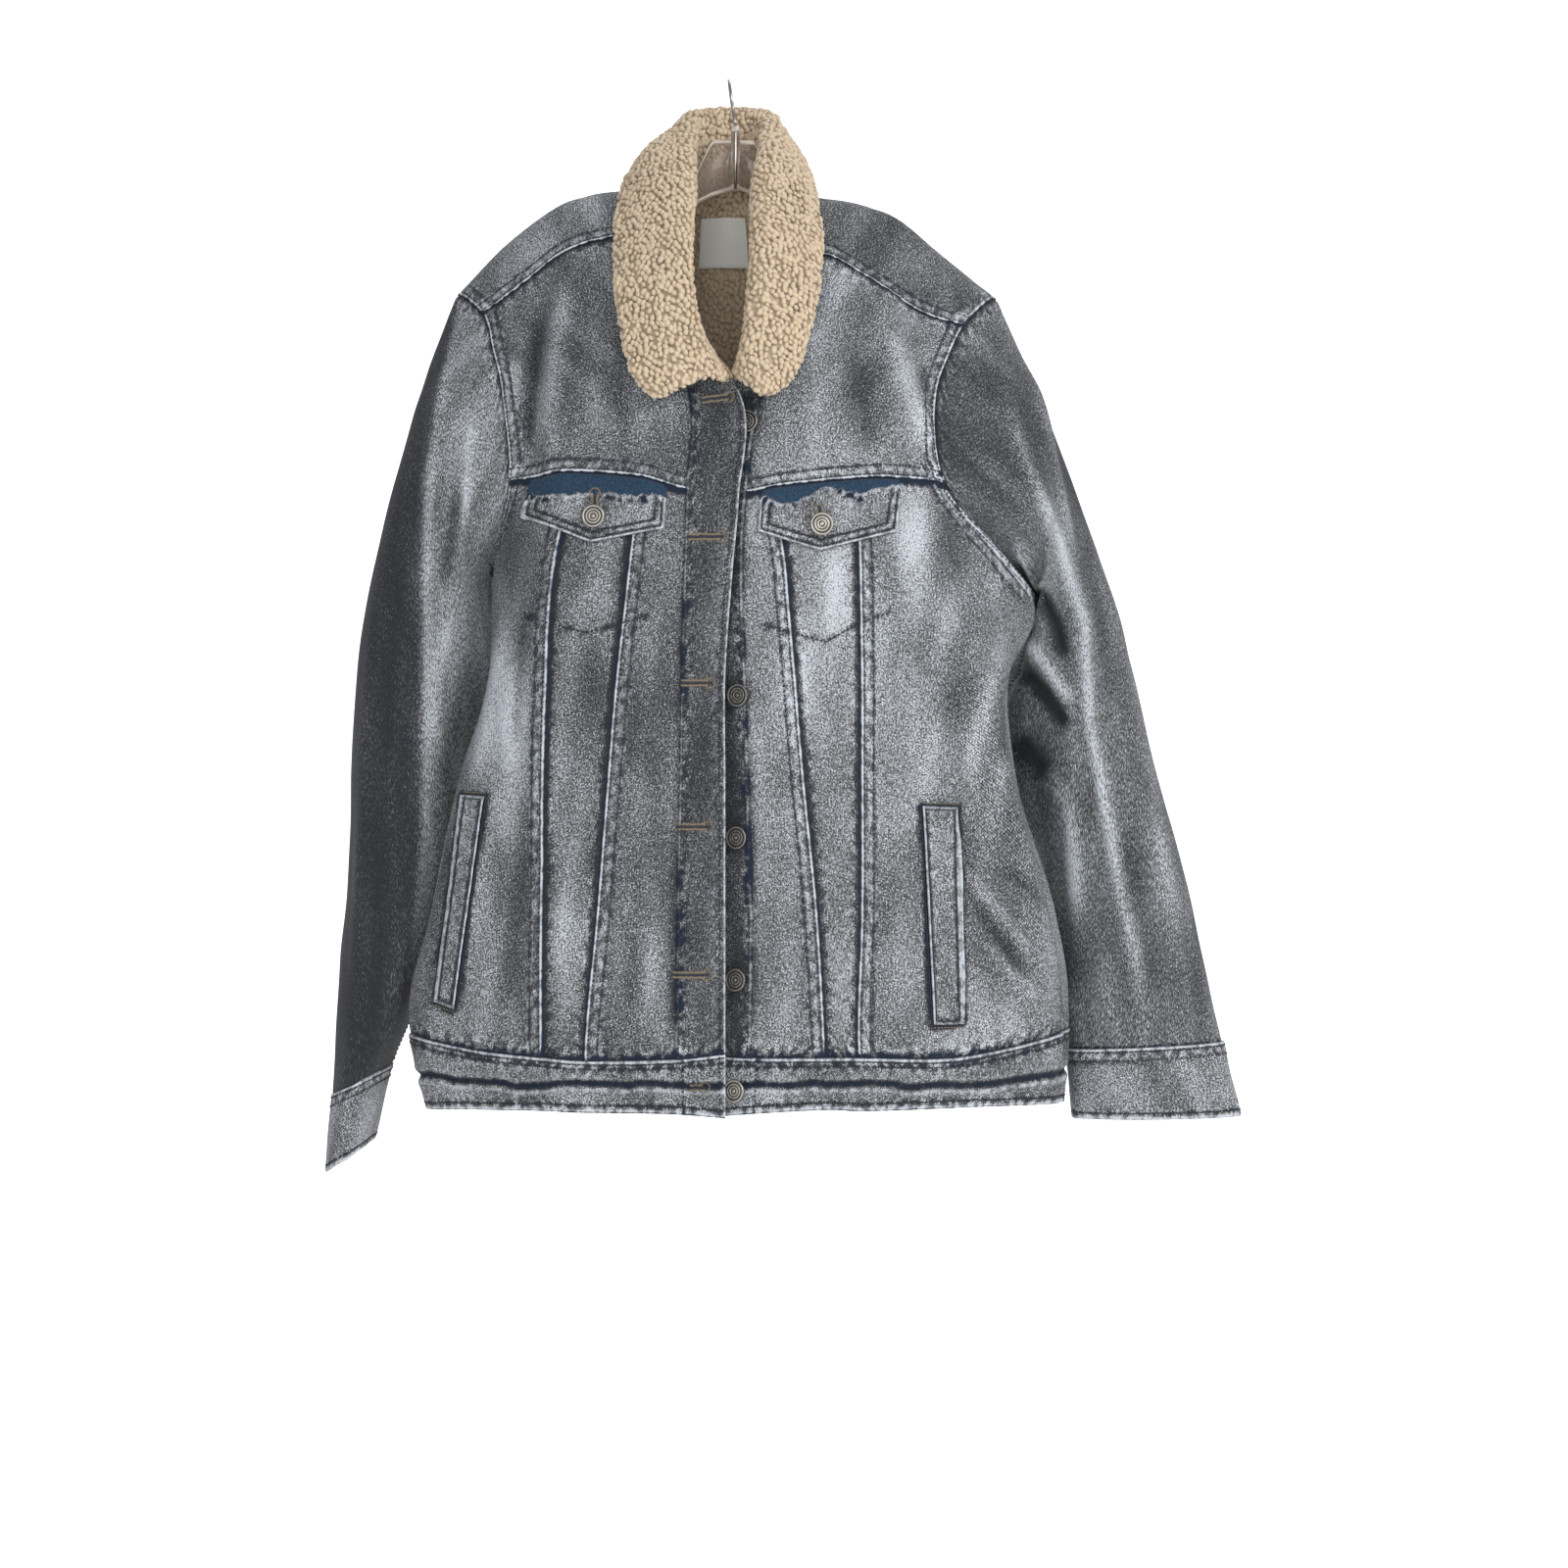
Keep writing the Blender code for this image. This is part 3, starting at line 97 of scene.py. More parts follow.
# Levels of the body, from the shoulder fold to the hem. Each cell is (x, y, z).
# Columns of a front: front edge, placket, inner seam, outer seam, flank and side.
FRONT_RIGHT = (
    ("shoulder", (-63, 0, -81), (-72, 0, -81), (-89, 0, -84), (-126, 0, -92), (-166, 0, -120),
     (-206, 0, -161)),
    ("yoke seam", (-56, -30, -122), (-67, -32, -123), (-89, -35, -123), (-121, -35, -133), (-153, -32, -156),
     (-184, -25, -179)),
    ("collarbone", (-39, -55, -179), (-55, -55, -179), (-82, -55, -181), (-120, -52, -183), (-148, -45, -192),
     (-176, -35, -206)),
    ("collar point", (10, -77, -247), (-28, -70, -245), (-71, -68, -243), (-118, -60, -242),
     (-142, -50, -242), (-168, -38, -242)),
    ("chest seam", (8, -83, -320), (-30, -78, -314), (-67, -76, -304), (-116, -66, -300), (-142, -54, -303),
     (-163, -40, -305)),
    ("underarm", (3, -85, -379), (-32, -82, -379), (-74, -80, -379), (-129, -70, -379), (-155, -50, -377),
     (-178, -5, -373)),
    ("pocket", (-2, -86, -451), (-34, -84, -451), (-82, -83, -451), (-133, -74, -451), (-158, -58, -450),
     (-180, -20, -451)),
    ("waist", (-2, -87, -523), (-35, -86, -523), (-88, -85, -523), (-135, -79, -523), (-169, -60, -523),
     (-200, -28, -521)),
    ("hip", (-2, -87, -623), (-37, -87, -623), (-96, -86, -623), (-136, -82, -623), (-181, -62, -624),
     (-222, -28, -625)),
    ("band seam", (-2, -87, -727), (-38, -87, -731), (-105, -86, -732), (-136, -83, -730), (-186, -64, -726),
     (-237, -25, -717)),
    ("band fold", (-2, -82, -751), (-38, -81, -751), (-105, -80, -751), (-136, -77, -750), (-186, -58, -750),
     (-231, -23, -747)),
    ("hem", (-2, -86, -774), (-38, -86, -771), (-105, -85, -770), (-136, -81, -769), (-186, -60, -770),
     (-225, -22, -772)),
)
FRONT_LEFT = (
    ("shoulder", (56, 0, -86), (64, 0, -87), (81, 0, -90), (120, 0, -100), (159, 0, -130), (201, 0, -164)),
    ("yoke seam", (49, -35, -137), (60, -36, -137), (77, -38, -138), (110, -40, -158), (139, -38, -177),
     (174, -32, -189)),
    ("collarbone", (33, -55, -182), (45, -55, -184), (71, -55, -186), (113, -55, -193), (139, -50, -200),
     (162, -42, -214)),
    ("collar point", (-8, -60, -246), (22, -67, -249), (62, -70, -250), (108, -65, -250), (131, -58, -248),
     (153, -50, -247)),
    ("chest seam", (-10, -65, -317), (13, -76, -316), (39, -77, -311), (96, -72, -305), (131, -64, -305),
     (159, -52, -308)),
    ("underarm", (-11, -68, -379), (10, -80, -379), (43, -80, -379), (96, -78, -379), (156, -66, -383),
     (228, -8, -394)),
    ("pocket", (-11, -70, -451), (12, -84, -451), (49, -83, -451), (97, -80, -451), (152, -66, -451),
     (205, -36, -450)),
    ("waist", (-10, -72, -523), (14, -85, -523), (55, -85, -523), (97, -82, -523), (156, -68, -523),
     (211, -38, -523)),
    ("hip", (-9, -73, -623), (17, -86, -623), (65, -86, -623), (97, -84, -623), (162, -72, -623),
     (238, -30, -625)),
    ("band seam", (-7, -73, -730), (16, -86, -730), (71, -86, -730), (95, -85, -730), (168, -70, -731),
     (248, -24, -715)),
    ("band fold", (-8, -68, -753), (16, -80, -752), (72, -80, -751), (97, -79, -751), (168, -65, -751),
     (246, -22, -746)),
    ("hem", (-8, -71, -774), (16, -84, -771), (71, -84, -768), (98, -83, -769), (168, -68, -768),
     (245, -20, -768)),
)
# Columns of the back: right side, flank and seam, centre, left seam, flank and side.
BACK = (
    ("shoulder", (-206, 0, -161), (-126, 0, -92), (-63, 0, -81), (-3, 48, -90), (56, 0, -86), (120, 0, -100),
     (201, 0, -164)),
    ("blade top", (-192, 22, -182), (-138, 33, -140), (-75, 36, -118), (-3, 58, -125), (68, 36, -122),
     (135, 33, -148), (186, 26, -188)),
    ("blade", (-182, 36, -212), (-145, 50, -195), (-90, 58, -178), (-2, 66, -175), (84, 58, -180),
     (140, 50, -200), (172, 40, -218)),
    ("back yoke seam", (-178, 42, -248), (-148, 56, -248), (-100, 66, -244), (-1, 70, -242), (98, 66, -246),
     (142, 56, -250), (166, 46, -252)),
    ("chest", (-178, 40, -310), (-152, 56, -308), (-102, 70, -305), (0, 75, -303), (102, 70, -307),
     (150, 58, -312), (174, 42, -318)),
    ("underarm", (-178, -5, -373), (-152, 44, -375), (-103, 68, -378), (0, 74, -379), (103, 68, -379),
     (170, 48, -385), (228, -8, -394)),
    ("pocket", (-180, -20, -451), (-152, 36, -451), (-104, 64, -451), (1, 71, -451), (106, 64, -451),
     (165, 40, -451), (205, -36, -450)),
    ("waist", (-200, -28, -521), (-164, 32, -523), (-105, 62, -523), (2, 69, -523), (108, 63, -523),
     (170, 36, -523), (211, -38, -523)),
    ("hip", (-222, -28, -625), (-182, 32, -625), (-108, 64, -624), (4, 71, -623), (112, 65, -624),
     (190, 36, -625), (238, -30, -625)),
    ("band seam", (-237, -25, -717), (-194, 34, -724), (-110, 66, -728), (5, 73, -729), (115, 66, -728),
     (200, 38, -722), (248, -24, -715)),
    ("band fold", (-231, -23, -747), (-191, 31, -750), (-110, 61, -751), (5, 67, -752), (115, 61, -751),
     (198, 34, -749), (246, -22, -746)),
    ("hem", (-225, -22, -772), (-188, 33, -771), (-110, 64, -771), (5, 71, -771), (115, 64, -770),
     (196, 36, -769), (245, -20, -768)),
)
LEVELS = tuple(row[0] for row in FRONT_RIGHT)
YOKE_SEAM = LEVELS.index("yoke seam")
COLLAR_POINT = LEVELS.index("collar point")
CHEST_SEAM = LEVELS.index("chest seam")
UNDERARM = LEVELS.index("underarm")
BAND_SEAM = LEVELS.index("band seam")
HEM = LEVELS.index("hem")


# Sleeve sections: outer edge, inner edge, half depth, and how far the front crease leans along X.
RIGHT_SLEEVE = (
    ("armhole", (-206, 0, -161), (-178, -5, -373), 40, 0),
    ("cap", (-227, 8, -214), (-180, 10, -384), 46, -5),
    ("upper arm", (-253, 15, -299), (-178, 28, -411), 54, -9),
    ("upper elbow", (-274, 20, -388), (-180, 36, -455), 62, -8),
    ("elbow", (-286, 24, -485), (-194, 40, -515), 66, -4),
    ("lower elbow", (-291, 26, -590), (-207, 42, -590), 66, 0),
    ("forearm", (-298, 24, -679), (-222, 38, -657), 64, 0),
    ("cuff seam", (-301, 20, -765), (-259, 26, -743), 60, 0),
    ("wrist", (-305, 16, -823), (-272, 20, -800), 57, 0),
)
LEFT_SLEEVE = (
    ("armhole", (201, 0, -164), (228, -8, -394), 40, 0),
    ("cap", (222, 5, -211), (239, 8, -404), 44, 1),
    ("upper arm", (250, 12, -277), (219, 25, -446), 50, 4),
    ("upper elbow", (279, 15, -359), (202, 32, -485), 52, 9),
    ("elbow", (305, 15, -448), (208, 34, -530), 52, 8),
    ("lower elbow", (323, 12, -522), (234, 28, -582), 48, 6),
    ("upper forearm", (344, 8, -604), (236, 22, -634), 42, 4),
    ("forearm", (360, 5, -671), (242, 16, -686), 36, 0),
    ("cuff seam", (371, 0, -724), (254, 8, -730), 30, 0),
    ("wrist", (385, 0, -780), (260, 5, -782), 26, 0),
)

# Largest folds: from and to across the front (x, z), half width and height.
FOLDS = (
    ((-118, -150), (-128, -290), 13, 4.0),  # right chest ridge
    ((-140, -175), (-146, -290), 9, -3.5),  # right chest valley
    ((112, -175), (150, -300), 12, 3.5),  # left chest ridge
    ((80, -200), (100, -290), 12, -2.0),
    ((-150, -420), (-176, -560), 12, 3.0),  # drag from the right side
    ((178, -600), (225, -680), 11, 3.5),  # left hip drag
    ((190, -420), (160, -560), 16, 2.5),
)

# Collar stations from the right front end to the left one: place on the neckline, roll, outer edge and
# bulge of the fall.
COLLAR = (
    ("right end", ("right", 2.78), (-12, -90, -232), (-54, -89, -249), 4),
    ("right point", ("right", 2.57), (-19, -89, -214), (-70, -87, -231), 4),
    ("right leaf", ("right", 2.25), (-27, -86, -186), (-78, -78, -203), 4),
    ("right fall", ("right", 1.85), (-31, -80, -149), (-84, -66, -165), 4),
    ("right neck", ("right", 1.25), (-30, -62, -112), (-86, -48, -128), 4),
    ("right shoulder", ("right", 0.65), (-28, -40, -77), (-84, -28, -97), 6),
    ("right crest", ("right", 0.15), (-29, -22, -57), (-79, -5, -75), 9),
    ("right rise", ("back", 2.20), (-30, 0, -37), (-71, 20, -70), 12),
    ("right back", ("back", 2.55), (-29, 29, -18), (-57, 58, -78), 9),
    ("centre back", ("back", 3.00), (-1, 45, -12), (-1, 80, -76), 4),
    ("left back", ("back", 3.45), (28, 29, -18), (50, 60, -78), 6),
    ("left rise", ("back", 3.80), (27, 0, -38), (62, 20, -74), 7),
    ("left crest", ("left", 0.15), (24, -22, -57), (63, -5, -79), 6),
    ("left shoulder", ("left", 0.65), (20, -40, -79), (67, -28, -99), 5),
    ("left neck", ("left", 1.25), (20, -62, -114), (70, -48, -132), 4),
    ("left fall", ("left", 1.85), (19, -78, -153), (66, -66, -169), 4),
    ("left leaf", ("left", 2.28), (16, -83, -187), (57, -76, -208), 4),
    ("left point", ("left", 2.55), (13, -85, -213), (45, -82, -236), 4),
    ("left end", ("left", 2.72), (9, -84, -233), (26, -86, -247), 4),
)

# What lies on the fronts: name, side and (x, z) corners. A welt's last number is how far it gapes.
FLAPS = (
    ("flap_right", "right", (-148, -317), (-45, -320), (-47, -343), (-101, -353), (-152, -332)),
    ("flap_left", "left", (127, -317), (23, -324), (21, -345), (67, -359), (123, -345)),
)
WELTS = (
    ("welt_right", "right", (-198, -538), (-180, -539), (-202, -696), (-217, -691), 0.0),
    ("welt_left", "left", (142, -546), (168, -547), (172, -706), (150, -706), 3.0),
)
LABEL_BOX = ((-27, -93), (16, -131))

FLAP_BUTTONS = (("button_flap_right", "right", -98, -334), ("button_flap_left", "left", 68, -340))
FRONT_BUTTON_HEIGHTS = (-264, -365, -465, -569, -673, -755)
FRONT_BUTTON_X = (14, -3, 8, 7, 7, 6)

# Hanger plate between the arms: x, top, bottom, half thickness.
PLATE = (
    (-62, -95, -109, 3.5),
    (-44, -93, -105, 3.5),
    (-33, -84, -98, 3.0),
    (-27, -72, -93, 2.4),
    (-21, -58, -90, 2.2),
    (-15, -46, -87, 2.2),
    (-12, -43, -86, 2.2),
    (0.5, -43, -82, 2.2),
    (1, -33, -81.8, 3.2),
    (7, -33, -81.6, 3.2),
    (7.5, -43.5, -81.7, 2.2),
    (18, -44, -86, 2.2),
    (20, -47, -87, 2.2),
    (22, -58, -90, 2.2),
    (25, -74, -93, 2.4),
    (34, -88, -100, 3.0),
    (46, -96, -108, 3.5),
    (56, -100, -113, 3.5),
)
ARM_END_RIGHT = -172
ARM_END_LEFT = 168



class Slot(Enum):
    """The record's material slots."""

    DENIM = "denim"
    DARK = "denim_dark"
    SHERPA = "sherpa"
    LABEL = "label"
    BUTTON = "button"
    CLEAR = "clear_plastic"
    STEEL = "steel"


class Value:
    """A number in a shader that takes Python's operators.

    Args:
        net: The material's net.
        socket: The output socket that gives the number.
    """

    def __init__(self, net: "Net", socket: bpy.types.NodeSocket) -> None:
        """Take the net and the socket."""
        self.net, self.socket = net, socket

    def math(self, operation: str, *others: object) -> "Value":
        """This number put through a Math node with the others."""
        return self.net.math(operation, self, *others)

    def __add__(self, other: object) -> "Value":
        """This number plus another."""
        return self.math("ADD", other)

    __radd__ = __add__

    def __mul__(self, other: object) -> "Value":
        """This number times another."""
        return self.math("MULTIPLY", other)

    __rmul__ = __mul__

    def __sub__(self, other: object) -> "Value":
        """This number less another."""
        return self.math("SUBTRACT", other)

    def __rsub__(self, other: object) -> "Value":
        """Another number less this one."""
        return self.net.math("SUBTRACT", other, self)

    def ramp(self, low: float, high: float) -> "Value":
        """A smooth step from 0 at low to 1 at high.

        Args:
            low: Where the step starts.
            high: Where it ends.

        Returns:
            The step.
        """
        sockets = {0: self, 1: low, 2: high}
        made = self.net.node("ShaderNodeMapRange", {"interpolation_type": "SMOOTHSTEP"}, sockets)
        return Value(self.net, made.outputs[0])


class Tree:
    """A node tree that is built by script."""

    tree: bpy.types.NodeTree

    def node(self, kind: str, settings: dict | None = None, sockets: dict | None = None) -> bpy.types.Node:
        """Add a node.

        Args:
            kind: The node's type.
            settings: Its properties, set first.
            sockets: What goes into its inputs, by name or number.

        Returns:
            The node.
        """
        made = self.tree.nodes.new(kind)
        for key, value in (settings or {}).items():
            setattr(made, key, value)
        for key, value in (sockets or {}).items():
            self.feed(made.inputs[key], value)
        return made

    def feed(self, socket: bpy.types.NodeSocket, value: object) -> None:
        """Link a value or a socket into an input, or set it there.

        Args:
            socket: The input.
            value: A value, a socket or a plain number or colour.
        """
        if isinstance(value, Value):
            value = value.socket
        if isinstance(value, bpy.types.NodeSocket):
            self.tree.links.new(value, socket)
        else:
            socket.default_value = value


class Net(Tree):
    """The node tree of one material.

    Args:
        name: The material's name.
    """

    def __init__(self, name: str) -> None:
        """Start an empty material of this name, with its shader."""
        self.material = bpy.data.materials.new(name)
        self.material.use_nodes = True
        self.tree = self.material.node_tree
        self.shader = self.tree.nodes["Principled BSDF"]

    def math(self, operation: str, *terms: object) -> Value:
        """A Math node over the terms."""
        made = self.node("ShaderNodeMath", {"operation": operation}, dict(enumerate(terms)))
        return Value(self, made.outputs[0])

    def mix(self, factor: object, first: object, second: object) -> bpy.types.NodeSocket:
        """The colour between two, the first at 0 and the second at 1.

        Args:
            factor: The share of the second.
            first: A colour or its socket.
            second: A colour or its socket.

        Returns:
            The mixed colour's socket.
        """
        made = self.node("ShaderNodeMix", {"data_type": "RGBA", "clamp_factor": True},
                         {0: factor, 6: first, 7: second})
        return made.outputs[2]

    def scale(self, colour: object, by: object) -> bpy.types.NodeSocket:
        """A colour made lighter or darker by a number."""
        made = self.node("ShaderNodeVectorMath", {"operation": "SCALE"}, {0: colour, "Scale": by})
        return made.outputs[0]

    def attribute(self, name: str) -> Value:
        """A number stored on the piece's points."""
        return Value(self, self.node("ShaderNodeAttribute", {"attribute_name": name}).outputs["Fac"])

    def place(self, uv: bool, stretch: tuple[float, float, float]) -> bpy.types.NodeSocket:
        """Cloth or object coordinates in metres, multiplied along each axis."""
        where = self.node("ShaderNodeTexCoord").outputs["UV" if uv else "Object"]
        return self.node("ShaderNodeVectorMath", {"operation": "MULTIPLY"}, {0: where, 1: stretch}).outputs[0]

    def noise(self, where: object, detail: float = 2.0, rough: float = 0.5) -> Value:
        """Smooth noise around 0.5 with one feature per unit of the coordinates.

        Args:
            where: The coordinates, already scaled.
            detail: The noise's detail.
            rough: Its roughness.

        Returns:
            The noise.
        """
        made = self.node("ShaderNodeTexNoise", None,
                         {"Vector": where, "Scale": 1.0, "Detail": detail, "Roughness": rough})
        return Value(self, made.outputs[0])

    def bump(self, height: Value, strength: float, distance: float) -> None:
        """Relief from a height, into the shader's normal.

        Args:
            height: The height.
            strength: The relief's strength, 0 to 1.
            distance: How far it rises, in metres.
        """
        sockets = {"Strength": strength, "Distance": distance, "Height": height}
        made = self.node("ShaderNodeBump", None, sockets)
        self.feed(self.shader.inputs["Normal"], made.outputs[0])

    def finish(self, **values: object) -> Material:
        """Set the shader's inputs, spaces written as underscores, and give the material.

        Args:
            values: The shader's inputs by name.

        Returns:
            The material.
        """
        for key, value in values.items():
            self.feed(self.shader.inputs[key.replace("_", " ")], value)
        return self.material


Colour = tuple[float, float, float, float]


@dataclass(frozen=True)
class Denim:
    """Washed denim: twill, slubs, fades, indigo left along the seams, and the painted light and shade that
    its points carry.
    """

    name: str = "denim_washed"
    body: Colour = (0.119, 0.1215, 0.1215, 1.0)
    pale: Colour = (0.55, 0.58, 0.62, 1.0)
    shade: Colour = (0.020, 0.022, 0.026, 1.0)
    indigo: Colour = (0.011, 0.017, 0.034, 1.0)
    band: Colour = (0.006, 0.032, 0.068, 1.0)
    twill_slope: float = 0.62
    twill_pitch: float = 0.00135  # metres from one twill line to the next

    def make(self) -> Material:
        """The finish as a material.

        Returns:
            The material.
        """
        net = Net(self.name)
        cloud = net.noise(net.place(True, (34.0, 12.0, 1.0)), 3.0, 0.6)
        crease = net.noise(net.place(True, (190.0, 150.0, 1.0)), 2.0, 0.5).ramp(0.36, 0.64)
        slub = net.noise(net.place(True, (760.0, 210.0, 1.0)), 2.0, 0.6)
        speck = net.noise(net.place(True, (900.0, 760.0, 1.0)), 1.0, 0.8)
        blot = net.noise(net.place(True, (330.0, 270.0, 1.0)), 3.0, 0.65).ramp(0.36, 0.66)
        smear = net.noise(net.place(True, (120.0, 90.0, 1.0)), 2.0, 0.6).ramp(0.34, 0.66)
        where = net.node("ShaderNodeSeparateXYZ", None, {0: net.place(True, (1.0, 1.0, 1.0))})
        run = Value(net, where.outputs[0]) + Value(net, where.outputs[1]) * self.twill_slope
        twill = (run * (2 * math.pi / self.twill_pitch)).math("SINE") * 0.5 + 0.5
        grain = (slub - 0.5) * 1.9 + (speck - 0.5) * 4.2 + (twill - 0.5) * 0.5
        # the points' tone is random tone plus painted light on fold ridges and painted shade along seams,
        # stitches, creases and folds
        light = (cloud - 0.5) * 1.25 + grain + net.attribute("tone") * 1.35 - 0.03
        light = light + (crease - 0.5) * net.attribute("pucker") * 0.85
        colour = net.mix(light.ramp(-0.85, 0.05), self.shade, self.body)
        colour = net.mix(light.ramp(-0.05, 0.95), colour, self.pale)
        pale = net.attribute("pale") * (0.45 + crease * 0.55 + blot * 0.15) + grain * 0.10
        colour = net.mix(pale.ramp(0.06, 1.0), colour, self.pale)
        dark = net.attribute("indigo") * (1.15 - crease * 0.8 + smear * 0.25) + grain * 0.08
        colour = net.mix(dark.ramp(0.28, 0.78), colour, self.indigo)
        fresh = net.attribute("fresh") + (blot - 0.5) * 0.35 + (crease - 0.5) * 0.45 + grain * 0.12
        unworn = net.mix((grain * 0.6 + 0.4).ramp(0.0, 2.2), self.band, self.body)
        colour = net.mix(fresh.ramp(0.25, 0.8), colour, unworn)
        net.bump(twill * 0.4 + slub * 0.9 + speck * 0.9, 0.5, 0.0004)
        return net.finish(Base_Color=colour, Roughness=0.88, Sheen_Weight=0.08, Sheen_Roughness=0.5,
                          Specular_IOR_Level=0.2)


@dataclass(frozen=True)
class Pile:
    """Sherpa: cream curls, with painted shade where they part and painted light on their tops."""

    name: str = "sherpa_pile"
    light: Colour = (0.62, 0.49, 0.335, 1.0)
    deep: Colour = (0.40, 0.30, 0.195, 1.0)

    def make(self) -> Material:
        """The finish as a material.

        Returns:
            The material.
        """
        net = Net(self.name)
        curl = net.noise(net.place(False, (420.0, 420.0, 420.0)), 3.0, 0.6)
        patch = net.noise(net.place(False, (40.0, 40.0, 40.0)), 2.0, 0.5)
        depth = net.attribute("depth")
        # the points' depth paints curl tops lighter and the gaps between them darker, painted light and shade
        light = depth * 0.9 + (curl - 0.5) * 0.35 + (patch - 0.5) * 0.35
        colour = net.mix(light.ramp(0.05, 0.95), self.deep, self.light)
        net.bump(curl, 0.6, 0.0012)
        return net.finish(Base_Color=colour, Roughness=0.95, Sheen_Weight=0.35, Sheen_Roughness=0.6,
                          Specular_IOR_Level=0.15)


@dataclass(frozen=True)
class Plain:
    """A fine woven, spun or moulded finish in one colour with small variation."""

    name: str
    colour: Colour
    roughness: float = 0.7
    metallic: float = 0.0
    grain: float = 900.0
    vary: float = 0.25
    relief: float = 0.0002

    def make(self) -> Material:
        """The finish as a material.

        Returns:
            The material.
        """
        net = Net(self.name)
        fine = net.noise(net.place(False, (self.grain, self.grain, self.grain)), 2.0, 0.6)
        colour = net.scale(self.colour[:3], 1.0 + (fine - 0.5) * (2 * self.vary))
        net.bump(fine, 0.3, self.relief)
        return net.finish(Base_Color=colour, Roughness=self.roughness, Metallic=self.metallic)


@dataclass(frozen=True)
class Antique:
    """Silver with darkened recesses."""

    name: str = "antique_silver"
    bright: Colour = (0.40, 0.375, 0.335, 1.0)
    dark: Colour = (0.045, 0.042, 0.038, 1.0)

    def make(self) -> Material:
        """The finish as a material.

        Returns:
            The material.
        """
        net = Net(self.name)
        wear = net.noise(net.place(False, (700.0, 700.0, 700.0)), 3.0, 0.6)
        recess = net.attribute("depth") + (wear - 0.5) * 0.5
        colour = net.mix(recess.ramp(0.2, 0.8), self.dark, self.bright)
        net.bump(wear, 0.2, 0.0001)
        return net.finish(Base_Color=colour, Roughness=0.38 + wear * 0.2, Metallic=0.9)


@dataclass(frozen=True)
class Clear:
    """Clear plastic with a faint warm cast, whose rims catch the light."""

    name: str = "clear_plastic_body"
    web: Colour = (0.22, 0.165, 0.125, 1.0)
    lit: Colour = (0.58, 0.49, 0.42, 1.0)

    def make(self) -> Material:
        """The finish as a material.

        Returns:
            The material.
        """
        net = Net(self.name)
        rim = net.attribute("rim")
        scuff = net.noise(net.place(False, (160.0, 160.0, 160.0)), 3.0, 0.6)
        colour = net.mix(rim, self.web, self.lit)
        net.bump(scuff, 0.15, 0.0003)
        return net.finish(Base_Color=colour, Roughness=0.10 + scuff * 0.15, Alpha=0.36 + rim * 0.45,
                          Coat_Weight=0.6)


def unit(vectors: Array) -> Array:
    """The vectors at length one, along the last axis."""
    return vectors / np.maximum(np.linalg.norm(vectors, axis=-1, keepdims=True), 1e-9)


def ease(value: Array) -> Array:
    """A smooth step from 0 to 1."""
    value = np.clip(value, 0, 1)
    return value * value * (3 - 2 * value)


def bell(distance: Array, width: float) -> Array:
    """1 at no distance, falling away smoothly over a width."""
    return np.exp(-((distance / width) ** 2))


def ripple(at: Array, pitch: float, seed: int) -> Array:
    """Smooth random values along a length.

    Args:
        at: Places along it.
        pitch: Distance between the random values.
        seed: Seed of the draw.

    Returns:
        Values from -1 to 1.
    """
    knots = np.random.default_rng(seed).uniform(-1, 1, 512)
    place = at / pitch + 100
    cell = np.floor(place).astype(int)
    share = ease(place - cell)
    return knots[cell % 512] * (1 - share) + knots[(cell + 1) % 512] * share


def clouds(points: Array, size: float, seed: int) -> Array:
    """Smooth random values in space.

    Args:
        points: Points in mm.
        size: Size of the features.
        seed: Seed of the draw.

    Returns:
        Values from -1 to 1.
    """
    lattice = np.random.default_rng(seed).uniform(-1, 1, (24, 24, 24))
    place = points / size + 500.0
    cell = np.floor(place).astype(int)
    share = ease(place - cell)
    total = np.zeros(points.shape[:-1])
    for corner in np.ndindex(2, 2, 2):
        index = (cell + np.array(corner)) % 24
        weight = np.prod(np.where(np.array(corner) == 1, share, 1 - share), axis=-1)
        total += weight * lattice[index[..., 0], index[..., 1], index[..., 2]]
    return total


def cardinal(knots: Array, at: Array) -> tuple[Array, Array]:
    """The smooth curve through knots, as weights.

    Args:
        knots: Rising places of the knots.
        at: Where the curve is wanted.

    Returns:
        For each place, the weight of each knot in the curve and in its slope.
    """
    knots = np.asarray(knots, float)
    count = len(knots)
    slopes = np.zeros((count, count))
    for i in range(count):
        low, high = max(i - 1, 0), min(i + 1, count - 1)
        if i in (0, count - 1):
            step = knots[high] - knots[low]
            slopes[i, low] -= 1 / step
            slopes[i, high] += 1 / step
            continue
        before, after = knots[i] - knots[i - 1], knots[i + 1] - knots[i]
        total = before + after
        slopes[i, i + 1] += before / after / total
        slopes[i, i] += (after / before - before / after) / total
        slopes[i, i - 1] -= after / before / total
    at = np.asarray(at, float)
    cell = np.clip(np.searchsorted(knots, at, side="right") - 1, 0, count - 2)
    step = knots[cell + 1] - knots[cell]
    s = (at - knots[cell]) / step
    eye = np.eye(count)
    value = (
        (2 * s**3 - 3 * s**2 + 1)[:, None] * eye[cell]
        + (s**3 - 2 * s**2 + s)[:, None] * step[:, None] * slopes[cell]
        + (3 * s**2 - 2 * s**3)[:, None] * eye[cell + 1]
        + (s**3 - s**2)[:, None] * step[:, None] * slopes[cell + 1]
    )
    slope = (
        ((6 * s**2 - 6 * s) / step)[:, None] * eye[cell]
        + (3 * s**2 - 4 * s + 1)[:, None] * slopes[cell]
        + ((6 * s - 6 * s**2) / step)[:, None] * eye[cell + 1]
        + (3 * s**2 - 2 * s)[:, None] * slopes[cell + 1]
    )
    return value, slope


def spacing(points: Array) -> Array:
    """Knots whose gaps are the mean distances between neighbours along the second axis."""
    gaps = np.linalg.norm(np.diff(points, axis=1), axis=2).mean(axis=0)
    return np.concatenate([[0.0], np.cumsum(gaps)])


